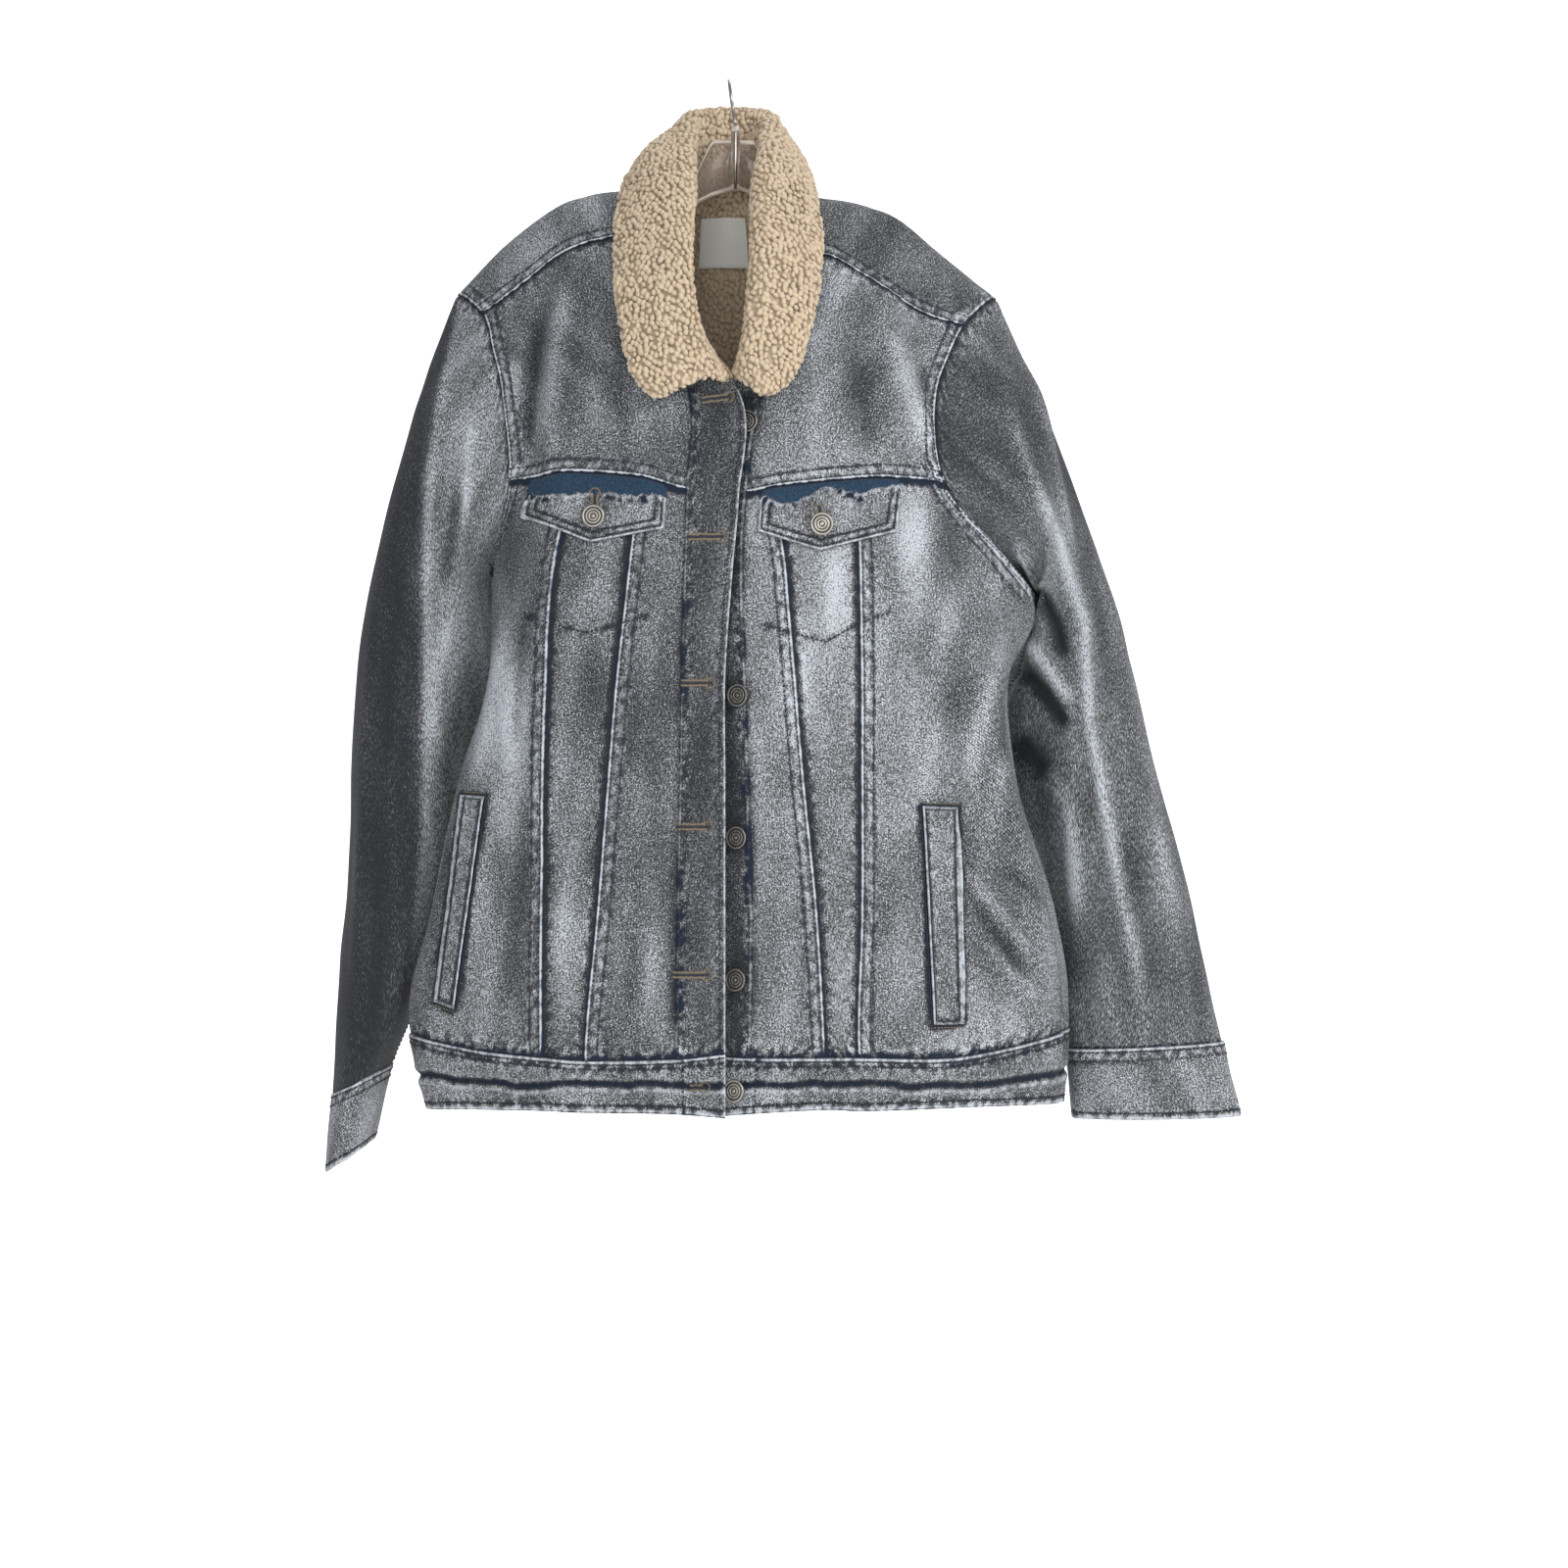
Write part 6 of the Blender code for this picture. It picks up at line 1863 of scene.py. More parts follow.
    def sew(self, navy: Thread, tan: Thread) -> None:
        """Topstitch every seam of the body.

        Args:
            navy: The thread of nearly all of them.
            tan: That of the left armhole's yoke.
        """
        for side in ("right", "left"):
            front, yoke, band = (self.patches[f"{part}_{side}"] for part in ("front", "yoke", "waistband"))
            for offset in TWIN_ROWS:
                navy.row(front.line_down(2, -offset, CHEST_SEAM, BAND_SEAM))
                navy.row(front.line_down(3, offset, CHEST_SEAM, BAND_SEAM))
                navy.row(front.line_across(CHEST_SEAM, -offset, 1.0, 5.0))
                navy.row(front.line_down(5, -offset, YOKE_SEAM, UNDERARM))
                navy.row(yoke.line_across(YOKE_SEAM, -offset, 0.0, 5.0))
                (tan if side == "left" else navy).row(yoke.line_down(5, -offset, 0.2, YOKE_SEAM))
            navy.row(front.line_down(0, self.edge_row, COLLAR_POINT, BAND_SEAM))
            navy.row(front.line_down(1, -1.6, COLLAR_POINT, BAND_SEAM))
            self.sew_band(navy, band, 5)
            for offset in (self.edge_row, self.placket_foot):
                navy.row(band.line_down(0, offset, BAND_SEAM, HEM))
        back, yoke, band = (self.patches[part] for part in ("back", "yoke_back", "waistband_back"))
        for offset in TWIN_ROWS:
            navy.row(back.line_down(2, offset, COLLAR_POINT, BAND_SEAM))
            navy.row(back.line_down(4, -offset, COLLAR_POINT, BAND_SEAM))
            for patch, top, foot in ((back, COLLAR_POINT, UNDERARM), (yoke, 0.2, COLLAR_POINT)):
                navy.row(patch.line_down(0, offset, top, foot))
                navy.row(patch.line_down(6, -offset, top, foot))
            navy.row(yoke.line_across(COLLAR_POINT, -offset, 0, 6))
        self.sew_band(navy, band, 6)

    def sew_band(self, navy: Thread, band: Patch, last: int) -> None:
        """Topstitch a part of the waistband along its top and foot, up to its last column.

        Args:
            navy: The thread.
            band: The part's patch.
            last: Its last column.
        """
        for offset in BAND_ROWS:
            navy.row(band.line_across(BAND_SEAM, offset, 0, last))
        navy.row(band.line_across(HEM, -BAND_FOOT, 0, last))


# Sleeve folds: the (x, z) spine, half width, rise and light.
SLEEVE_FOLDS = {
    "right": (
        (((-206, -165), (-215, -230), (-225, -300), (-229, -380), (-230, -460), (-231, -560)),
         6.0, 2.6, 0.24),
        (((-205, -390), (-220, -450), (-222, -520)), 6.0, 1.2, 0.22),
        (((-262, -360), (-270, -450), (-276, -560), (-282, -680)), 6.0, 1.4, 0.10),
        (((-246, -300), (-252, -400), (-258, -520), (-262, -640)), 7.0, -1.6, -0.16),
        (((-202, -300), (-206, -340), (-214, -390)), 4.5, -1.8, -0.35),
        (((-192, -250), (-196, -300), (-198, -350)), 4.0, 1.3, 0.20),
        (((-214, -240), (-218, -300), (-220, -350)), 6.0, -1.3, -0.18),
        (((-240, -600), (-246, -660), (-262, -740)), 7.0, 1.5, 0.14),
        (((-258, -620), (-266, -690), (-278, -760)), 6.0, -1.3, -0.14),
        (((-238, -470), (-244, -540), (-240, -600)), 7.0, -1.1, -0.12),
        (((-284, -520), (-290, -620), (-292, -720)), 6.0, -1.0, -0.10),
    ),
    "left": (
        (((222, -195), (236, -262), (254, -345), (262, -370)), 5.0, 2.4, 0.30),
        (((196, -190), (215, -277), (245, -350), (263, -407), (268, -483), (285, -575), (302, -660),
          (314, -745)), 6.0, 3.0, 0.42),
        (((210, -345), (226, -375), (238, -392)), 4.0, 2.6, 0.25),
        (((214, -360), (228, -386), (232, -400)), 3.0, -3.0, -0.55),
        (((228, -380), (243, -410), (251, -440)), 4.5, -4.2, -0.85),
        (((214, -437), (236, -464), (254, -492)), 4.5, -4.6, -0.95),
        (((220, -416), (236, -440), (258, -474)), 5.0, 3.2, 0.50),
        (((212, -492), (226, -512), (238, -526)), 8.0, -5.0, -0.70),
        (((238, -505), (256, -560), (262, -640)), 6.0, 1.6, 0.25),
        (((246, -560), (250, -620), (256, -700)), 6.0, -1.4, -0.20),
        (((270, -300), (290, -370), (304, -440)), 8.0, 1.4, 0.14),
        (((262, -330), (278, -400), (290, -480)), 7.0, -1.4, -0.16),
        (((312, -540), (330, -610), (344, -690)), 7.0, 1.4, 0.14),
        (((292, -560), (308, -630), (322, -700)), 6.0, -1.2, -0.14),
        (((276, -640), (284, -690), (290, -735)), 6.0, 1.2, 0.12),
        (((336, -620), (350, -680), (360, -730)), 5.0, -1.0, -0.10),
    ),
}
# Those of the sleeves' backs.
SLEEVE_BACK_FOLDS = {
    "right": (
        (((-212, -230), (-226, -320), (-236, -420)), 9.0, 2.2, 0.22),
        (((-198, -300), (-214, -380), (-232, -470)), 8.0, -2.2, -0.24),
        (((-260, -420), (-268, -520), (-270, -640)), 9.0, 1.8, 0.15),
        (((-236, -560), (-250, -660), (-272, -750)), 8.0, -1.8, -0.18),
    ),
    "left": (
        (((212, -240), (236, -330), (262, -430)), 9.0, 2.2, 0.22),
        (((226, -340), (256, -440), (280, -540)), 8.0, -2.2, -0.24),
        (((250, -520), (284, -620), (306, -720)), 9.0, 1.8, 0.16),
        (((300, -500), (322, -600), (340, -700)), 9.0, -1.8, -0.16),
    ),
}
# The sleeves' long front creases: depth below the hook, and x there.
RIDGE = {"right": ((165, 230, 300, 380, 460, 560, 760), (-206, -215, -225, -229, -230, -231, -250)),
         "left": ((165, 345, 500, 660, 760), (212, 232, 264, 300, 312))}


@dataclass
class Sleeve:
    """A sleeve from the armhole to its cuff.

    Args:
        side: Right or left.
        surfaces: The body's surfaces, whose armhole edge it starts from.
        finishes: The materials.
    """

    side: str
    surfaces: dict[str, Surface]
    finishes: Finishes
    around: int = 120  # samples round it
    cap_reach: float = 2.4  # sections over which it loses the armhole's shape
    wall: float = DENIM
    cuff_wall: float = DOUBLED
    seam_rows: tuple[float, float] = (2.0, 8.4)
    cuff_rows: tuple[float, float] = (2.3, 9.0)

    def __post_init__(self) -> None:
        """Read the sleeve's rings."""
        self.sign = 1.0 if self.side == "left" else -1.0
        self.table = RIGHT_SLEEVE if self.side == "right" else LEFT_SLEEVE
        level = np.linspace(0, UNDERARM, 90)
        front, _ = self.surfaces[self.side].grid(np.array([5.0]), level)
        back, _ = self.surfaces["back"].grid(np.array([0.0 if self.side == "right" else 6.0]), level)
        back[0], back[-1] = front[0], front[-1]
        half = self.around // 2
        share = np.arange(half) / half
        holes = []
        for line in (front[:, 0], back[::-1, 0]):
            run = lengths(line)
            holes.append(looked_up(share * run[-1], run, line))
        self.hole = np.concatenate(holes)
        self.angles = np.arange(self.around) * 2 * math.pi / self.around

    def ring(self, station: float) -> Array:
        """The ring's points at a station counted in sections, the first one lying in the armhole.

        Args:
            station: The station.

        Returns:
            The ring's points.
        """
        table = np.array([[*s[1], *s[2], s[3], s[4]] for s in self.table], float)
        knots = spacing(((table[:, :3] + table[:, 3:6]) / 2)[None])
        weight, _ = cardinal(knots, np.array([np.interp(station, np.arange(len(table)), knots)]))
        cos, sin = np.cos(self.angles)[:, None], np.sin(self.angles)[:, None]

        def oval(row: Array) -> Array:
            """A section's oval."""
            outer, inner, depth, lean = row[:3], row[3:6], row[6], row[7]
            return (outer + inner) / 2 + (outer - inner) / 2 * cos + np.array([lean, -depth, 0.0]) * sin

        quick, slow = (float(ease(1 - station / self.cap_reach * pace)) for pace in (1.7, 1.0))
        hold = np.array([quick, slow, slow])
        return oval((weight @ table)[0]) + (self.hole - oval(table[0])) * hold

    def patch(self, stations: Array) -> Patch:
        """The tube between stations as a patch closed round its rows.

        Args:
            stations: The stations.

        Returns:
            The patch.
        """
        rings = np.array([self.ring(s) for s in stations])
        rings = np.concatenate([rings, rings[:, :1]], axis=1)
        around = np.roll(rings[:, :-1], -1, axis=1) - np.roll(rings[:, :-1], 1, axis=1)
        around = np.concatenate([around, around[:, :1]], axis=1)
        normals = unit(np.cross(around, np.gradient(rings, axis=0))) * self.sign
        turn = np.broadcast_to(np.arange(self.around + 1) * 1.0, rings.shape[:2])
        level = np.broadcast_to(stations[:, None], rings.shape[:2])
        return Patch(rings, normals, turn.copy(), level.copy(), self.side == "right")

    def build(self) -> None:
        """Make the sleeve and its cuff."""
        seed = 201 if self.side == "right" else 231
        cuff = len(self.table) - 2
        stations = np.linspace(0.06, cuff - 0.03, 30 * cuff // 2 * 2)
        fine = np.concatenate([[0, 0.012, 0.03], stations, [cuff, cuff + 0.12]])
        patch = self.patch(fine)
        patch.rumple(55, 1.5, seed)
        patch.rumple(20, 0.5, seed + 1)
        patch.fold(SLEEVE_FOLDS[self.side])
        patch.fold(SLEEVE_BACK_FOLDS[self.side], behind=True)
        start = patch.fall
        patch.height *= ease(start / 16)
        run = patch.run
        patch.pucker += bell(start - 6, 6)
        # painted shade under the armhole seam
        patch.tone -= 0.5 * bell(start - 1.5, 2.0)
        inner, whole = patch.across(self.around // 2), patch.run[:, -1:]
        at_seam = np.sin(run / whole * math.pi)  # 0 where the tube's ends meet
        patch.height += 0.5 * ripple(run, 7.0, seed + 2) * bell(start - 9, 7) * at_seam
        patch.height += 0.5 * bell(inner - 4, 4)
        patch.indigo += 0.8 * bell(inner, 0.9)
        patch.pale += 0.6 * bell(inner - 2.0, 1.5)
        wrap = np.minimum(run, whole - run)
        patch.height += 0.5 * bell(wrap, 5)
        patch.pale += 0.30 * bell(wrap, 3.0)
        patch.height -= 1.3 * ease(1 - start / 2.5)
        patch.indigo += 0.8 * bell(start - 0.8, 1.1)
        end = start - np.array([np.interp(cuff, patch.level[:, 0], c) for c in start.T])[None]
        patch.height -= 1.2 * ease(end / 0.6 + 0.5)
        patch.indigo += 0.8 * bell(end + 1.0, 1.2)
        patch.height += 0.6 * ripple(run, 6.0, seed + 3) * bell(end + 7, 6) * at_seam
        patch.tone += 0.2 * clouds(patch.base, 60, seed + 4)
        ridge_x = np.interp(-patch.base[..., 2], *RIDGE[self.side])
        outside = self.sign * (patch.base[..., 0] - ridge_x)
        # painted shade: the right sleeve's outer side, and the whole left sleeve a little darker with a
        # darker band over its upper arm
        if self.side == "right":
            patch.tone -= 0.75 * ease(outside / 8 + 0.5)
        else:
            patch.tone -= 0.10 + 0.42 * bell(patch.base[..., 2] + 255, 60)
        tuck = unit(patch.base[0] - patch.base[2]) * 5.0 - patch.normals[0] * 2.2
        patch.base[0] = patch.base[0] + tuck
        self.tube = patch
        piece = cloth_piece(f"sleeve_{self.side}", [patch], self.finishes.denim, self.wall, closed=True)
        declare(piece, Slot.DENIM, f"sleeve_top_{self.side}", f"sleeve_under_{self.side}", flat=patch.cut())
        self.cuff(cuff, seed + 5)

    def cuff(self, first: int, seed: int) -> None:
        """Make the doubled cuff from the section where it starts.

        Args:
            first: The section.
            seed: Seed of its unevenness.
        """
        stations = np.concatenate([first + np.array([0, 0.008, 0.02, 0.045, 0.07, 0.1, 0.14]),
                                   np.linspace(first + 0.18, first + 0.84, 10),
                                   first + np.array([0.88, 0.91, 0.94, 0.97, 0.99, 1.0])])
        patch = self.patch(stations)
        top, bottom, run, whole = patch.fall, patch.fall[-1:] - patch.fall, patch.run, patch.run[:, -1:]
        pucker = ripple(run, 5.0, seed) * np.sin(run / whole * math.pi)
        patch.height += 1.6 + 0.5 * pucker * bell(top - 6, 6) + 0.4 * pucker * bell(bottom - 4, 5)
        patch.height -= 0.4 * (bell(top - 2.3, 0.9) + bell(top - 9.0, 0.9) + bell(bottom - 5.0, 1.0))
        patch.height += 0.7 * clouds(patch.base, 22, seed + 1)
        patch.height -= 0.9 * ease(1 - bottom / 1.2)
        patch.pale += 0.9 * bell(top - 0.8, 1.1) + 0.8 * bell(bottom - 1.4, 1.4)
        patch.pale += 0.25 * np.clip(pucker, 0, 1)
        patch.pucker += bell(top - 5, 6) + bell(bottom - 4, 5)
        patch.paint_stitch_shade(0.6, top - self.cuff_rows[0], top - self.cuff_rows[1], bottom - BAND_FOOT)
        patch.indigo += 0.35 * (bell(top - 5, 5) + bell(bottom - 4, 4))
        patch.tone += 0.10 * clouds(patch.base, 40, seed + 2)
        self.band = patch
        piece = cloth_piece(f"cuff_{self.side}", [patch], self.finishes.denim, self.cuff_wall, closed=True)
        declare(piece, Slot.DENIM, f"cuff_front_{self.side}", f"cuff_back_{self.side}", flat=patch.cut())

    def sew(self, navy: Thread) -> None:
        """Topstitch the seam inside the arm and the cuff.

        Args:
            navy: The thread.
        """
        for offset in self.seam_rows:
            points, outs = self.tube.line_down(self.around // 2, offset, 0, len(self.table))
            navy.row((points[3:-2], outs[3:-2]))
        top, foot = self.band.level[0, 0], self.band.level[-1, 0]
        for level, offset in ((top, self.cuff_rows[0]), (top, self.cuff_rows[1]), (foot, -BAND_FOOT)):
            navy.row(self.band.line_across(level, offset, 0, self.around))


# Steps between two collar stations, and up its stand, round its roll and down its fall.
COLLAR_STEPS, STAND_STEPS, ROLL_STEPS, FALL_STEPS = 2, 2, 5, 4


def belt(base: Array, roll: Array, edge: Array, radius: float, bulge: float) -> Array:
    """The section of a collar, from its base, round a roll and out to its edge.

    Args:
        base: Where it is sewn to the neck.
        roll: The top of its roll.
        edge: Its outer edge.
        radius: The roll's radius.
        bulge: How far its fall bulges out.

    Returns:
        The section's points.
    """
    to_base, to_edge = unit(base - roll), unit(edge - roll)
    into = unit(to_base + to_edge)
    side = unit(to_edge - (to_edge @ into) * into)
    centre = roll + into * radius

    def flat(point: Array) -> Array:
        """A point in the section's own plane."""
        return np.array([(point - centre) @ side, -(point - centre) @ into])

    def world(point: Array) -> Array:
        """A point of that plane in space."""
        return centre + side * point[0] - into * point[1]

    def touch(point: Array, sign: int) -> float:
        """The angle at which a line from the point touches the roll on one side."""
        reach = max(np.linalg.norm(point), radius * 1.001)
        angle = math.atan2(point[1], point[0]) + sign * math.acos(radius / reach)
        return math.pi / 2 + math.remainder(angle - math.pi / 2, 2 * math.pi)

    start, stop = touch(flat(base), -1), touch(flat(edge), 1)
    first, last = (radius * np.array([math.cos(a), math.sin(a)]) for a in (start, stop))
    points = [base + (world(first) - base) * k / STAND_STEPS for k in range(STAND_STEPS)]
    for k in range(ROLL_STEPS):
        angle = start + (stop - start) * k / ROLL_STEPS
        points.append(world(radius * np.array([math.cos(angle), math.sin(angle)])))
    run = flat(edge) - last
    away = unit(np.array([-run[1], run[0]]))
    away = -away if away @ last < 0 else away
    for k in range(FALL_STEPS + 1):
        s = k / FALL_STEPS
        points.append(world(last + run * s + away * bulge * math.sin(math.pi * s) * (1 - s / 2)))
    return np.array(points)


def refined(block: Array, axis: int, count: int) -> Array:
    """More points on the same smooth curves.

    Args:
        block: Rows and columns of points.
        axis: Along which of them more are wanted.
        count: How many.

    Returns:
        The finer block.
    """
    moved = np.moveaxis(block, axis, 1)
    knots = spacing(moved)
    weight, _ = cardinal(knots, np.linspace(0, knots[-1], count))
    return np.moveaxis(np.einsum("pk,rkj->rpj", weight, moved), 1, axis)


def plump(outer: Array, normals: Array, thickness: float, lift: Array) -> tuple[Array, Array]:
    """Points and faces of a closed pad under a grid of points, round along its whole border.

    Args:
        outer: Rows and columns of points on its showing side.
        normals: The way out at each.
        thickness: How thick it is.
        lift: Extra relief of the showing side.

    Returns:
        The points and the faces.
    """
    rows, columns = outer.shape[:2]
    run, fall = lengths(np.swapaxes(outer, 0, 1)).T, lengths(outer)
    near = np.minimum(np.minimum(run, run[:, -1:] - run), np.minimum(fall, fall[-1:] - fall))
    share = np.clip(near / (thickness / 2), 0, 1)
    full = np.sqrt(np.clip(1 - (1 - share) ** 2, 0, 1))[..., None]
    middle = outer - normals * thickness / 2
    top = middle + normals * (thickness / 2 + lift[..., None]) * full
    low = middle - normals * thickness / 2 * full
    points = np.concatenate([top.reshape(-1, 3), low.reshape(-1, 3)])
    faces = np.concatenate([quads(rows, columns, False), quads(rows, columns, True) + rows * columns])
    return points, faces


def fine_collar(coarse: Array, rows: int, columns: int) -> Line:
    """A collar's finer points and its normals, from its coarse grid."""
    points = refined(refined(coarse, 0, rows), 1, columns)
    return points, unit(np.cross(np.gradient(points, axis=0), np.gradient(points, axis=1)))


def curls(points: Array, size: float, seed: int) -> Array:
    """Round lumps packed side by side.

    Args:
        points: Points in mm.
        size: Size of a lump.
        seed: Seed of their places.

    Returns:
        0 between the lumps to 1 on top.
    """
    cell = np.floor(points / size).astype(int)
    best = np.full(points.shape[:-1], 9.0)
    for shift in np.ndindex(3, 3, 3):
        at = cell + np.array(shift) - 1
        mixed = at[..., 0] * 73856093 ^ at[..., 1] * 19349663 ^ at[..., 2] * 83492791 ^ seed * 2654435
        mixed &= 0xFFFFFF
        jitter = np.stack([(mixed * k % 997) / 997.0 for k in (131, 359, 577)], axis=-1)
        best = np.minimum(best, np.linalg.norm(points / size - at - jitter, axis=-1))
    return np.sqrt(np.clip(1 - (best / 0.95) ** 2, 0, 1))


def tuft_tree() -> Repeat:
    """Small curled tufts over a pile's surface, close together and turned at random.

    Returns:
        The tree.
    """
    inputs = {"Spacing": ("NodeSocketFloat", 0.0035), "Size": ("NodeSocketFloat", 0.002),
              "Seed": ("NodeSocketInt", 1), "Material": ("NodeSocketMaterial", None)}
    made = Repeat("tufts", inputs)
    spacing_out, seed = made.source.outputs["Spacing"], made.source.outputs["Seed"]
    density = made.node("ShaderNodeMath", {"operation": "DIVIDE"}, {0: 2.4, 1: spacing_out})
    square = made.node("ShaderNodeMath", {"operation": "POWER"}, {0: density.outputs[0], 1: 2.0})
    spread = made.node("GeometryNodeDistributePointsOnFaces", {"distribute_method": "POISSON"},
                       {"Mesh": made.source.outputs["Geometry"], "Distance Min": spacing_out,
                        "Density Max": square.outputs[0], "Seed": seed})
    ball = made.node("GeometryNodeMeshUVSphere", None, {"Segments": 6, "Rings": 4, "Radius": 1.0})
    shape = made.node("GeometryNodeTransform", None, {"Geometry": ball.outputs[0], "Scale": (1.4, 0.95, 0.95),
                                                      "Translation": (0.0, 0.0, 0.1)})
    where = made.node("GeometryNodeInputPosition")
    parts = made.node("ShaderNodeSeparateXYZ", None, {0: where.outputs[0]})
    # each tuft's height is stored as its depth, which paints its top lighter and its sides darker
    high = made.node("ShaderNodeMapRange", None, {0: parts.outputs[2], 1: 0.1, 2: 1.0, 3: 0.0, 4: 1.0})
    strand = made.node("GeometryNodeStoreNamedAttribute", {"data_type": "FLOAT", "domain": "POINT"},
                       {"Geometry": shape.outputs[0], "Name": "depth", "Value": high.outputs[0]})
    spin = made.node("FunctionNodeRandomValue", {"data_type": "FLOAT_VECTOR"}, None)
    spin.inputs[0].default_value, spin.inputs[1].default_value = (-0.3, -0.45, -0.9), (0.3, 0.25, 0.9)
    lie = made.node("FunctionNodeAlignRotationToVector", {"axis": "X", "pivot_axis": "Z"},
                    {"Rotation": spread.outputs["Rotation"], "Vector": (0.25, 0.0, -1.0)})
    turned = made.node("FunctionNodeRotateRotation", {"rotation_space": "LOCAL"},
                       {"Rotation": lie.outputs[0], "Rotate By": spin.outputs[0]})
    grow = made.node("FunctionNodeRandomValue", {"data_type": "FLOAT"}, None)
    grow.inputs[2].default_value, grow.inputs[3].default_value = 0.75, 1.25
    size = made.node("ShaderNodeMath", {"operation": "MULTIPLY"},
                     {0: grow.outputs[1], 1: made.source.outputs["Size"]})
    placed = made.node("GeometryNodeInstanceOnPoints", None,
                       {"Points": spread.outputs["Points"], "Instance": strand.outputs[0],
                        "Rotation": turned.outputs[0], "Scale": size.outputs[0]})
    made.close(placed.outputs[0])
    return made


# The lining above and below the yoke seam: columns, levels, and even steps between them.
LINING_PARTS = (
    ((2, 4), (0, 1), (34, 34), (18,)),
    ((1, 5), (1, 9), (16, 34, 34, 16), (30, 24, 14, 14, 12, 12, 16, 16)),
)


@dataclass
class Collar:
    """The sherpa collar, the denim under its fall, the back lining and the bare neck label.

    Args:
        surfaces: The body's surfaces.
        finishes: The materials.
    """

    surfaces: dict[str, Surface]
    finishes: Finishes
    wall: float = SHERPA
    roll: float = 9.5  # radius of the roll
    seam: float = 1.3  # from the neck edge to the collar's base
    clear: float = 1.2  # least distance of the fall from the body
    samples: tuple[int, int] = (220, 64)  # round the collar, and from its base to its edge
    under_samples: tuple[int, int] = (200, 26)
    tuft_samples: tuple[int, int] = (180, 46)
    collar_cut: tuple[float, float] = (0.62, 0.125)
    lining_cut: tuple[float, float] = (0.30, 0.66)
    label_cut: tuple[float, float] = (0.044, 0.040)
    label_samples: tuple[int, int] = (19, 23)
    label_wall: float = 0.8
    lining_wall: float = 2.6

    def neck_edge(self) -> tuple[Array, ...]:
        """Run, points, normals, ways out and station places along the neck edge.

        Returns:
            The five arrays, one value for each place along the edge.
        """
        low, fine = 3.5, 42
        levels = np.linspace(0, low, fine)
        around = np.linspace(2, 4, 24)[1:-1]
        parts = []
        for side, columns, level in (("right", np.zeros(fine), levels[::-1]), ("back", around, np.zeros(22)),
                                     ("left", np.zeros(fine), levels)):
            surface = self.surfaces[side]
            points, normals = surface.sample(columns, level)
            inside, _ = (surface.sample(columns, level + 0.2) if side == "back"
                         else surface.sample(columns + 0.25, level))
            parts.append((points, normals, inside))
        points, normals, inside = (np.concatenate([part[k] for part in parts]) for k in range(3))
        along = unit(np.gradient(points, axis=0))
        into = inside - points
        into = into - (into * along).sum(axis=1, keepdims=True) * along
        run = lengths(points)
        stations = []
        for _, (where, at), *_ in COLLAR:
            if where == "right":
                stations.append(np.interp(-at, -levels[::-1], run[:fine]))
            elif where == "back":
                stations.append(np.interp(at, np.linspace(2, 4, 24), run[fine - 1: fine + 23]))
            else:
                stations.append(np.interp(at, levels, run[-fine:]))
        return run, points, normals, -unit(into), np.array(stations)

    def layers(self) -> tuple[Array, Array]:
        """The showing side of the collar and the top of the undercollar, as coarse grids.

        Returns:
            The two grids.
        """
        run, edge, normals, outs, stations = self.neck_edge()
        table = np.array([[*roll, *outer, bulge] for _, _, roll, outer, bulge in COLLAR], float)
        knots = spacing(table[None, :, :3])
        fine = np.linspace(0, len(COLLAR) - 1, COLLAR_STEPS * (len(COLLAR) - 1) + 1)
        weight, _ = cardinal(knots, np.interp(fine, np.arange(len(COLLAR)), knots))
        rows = weight @ table
        where = np.interp(fine, np.arange(len(COLLAR)), stations)

        edge, outs, normals = (looked_up(where, run, values) for values in (edge, outs, normals))
        base = edge + unit(outs) * self.seam - unit(normals) * self.wall
        points = np.array([belt(b, r[:3], r[3:6], self.roll, r[6]) for b, r in zip(base, rows)])
        cloud, facings = [], []
        for surface in self.surfaces.values():
            columns = np.linspace(0, surface.columns - 1, 70)
            found, facing = surface.grid(columns, np.linspace(0, CHEST_SEAM, 60))
            cloud.append(found.reshape(-1, 3))
            facings.append(facing.reshape(-1, 3))
        cloud, facings = np.concatenate(cloud), np.concatenate(facings)
        under = self.wall + 3 * SEAM
        for _ in range(4):
            facing = unit(np.cross(np.gradient(points, axis=0), np.gradient(points, axis=1)))
            low = points - facing * (under + UNDERCOLLAR)
            moves = np.zeros(points.shape)
            for index in np.ndindex(points.shape[:-1]):
                offsets = low[index] - cloud
                squares = (offsets**2).sum(axis=1)
                closest = np.argmin(squares)
                height = offsets[closest] @ facings[closest]
                if height < self.clear and squares[closest] < 14.0**2:
                    moves[index] = facings[closest] * (self.clear - height)
            moves[:, : STAND_STEPS + 1] = 0
            moves[1:-1] = (moves[:-2] + 2 * moves[1:-1] + moves[2:]) / 4
            points = points + moves
        top = (points - facing * under)[:, STAND_STEPS + ROLL_STEPS + 1:]
        top[:, -1] += unit(points[:, -1] - points[:, -2]) * 1.2
        return points, top

    def build(self) -> None:
        """Make the collar, its underside, the lining and the label."""
        self.showing, top = self.layers()
        outer, facing = fine_collar(self.showing, *self.samples)
        shape = 0.6 * curls(outer, 7.5, 5) + 0.4 * curls(outer, 3.4, 9)
        points, faces = plump(outer, facing, self.wall, 2.6 * (shape - 0.9) + 0.8 * clouds(outer, 26, 4))
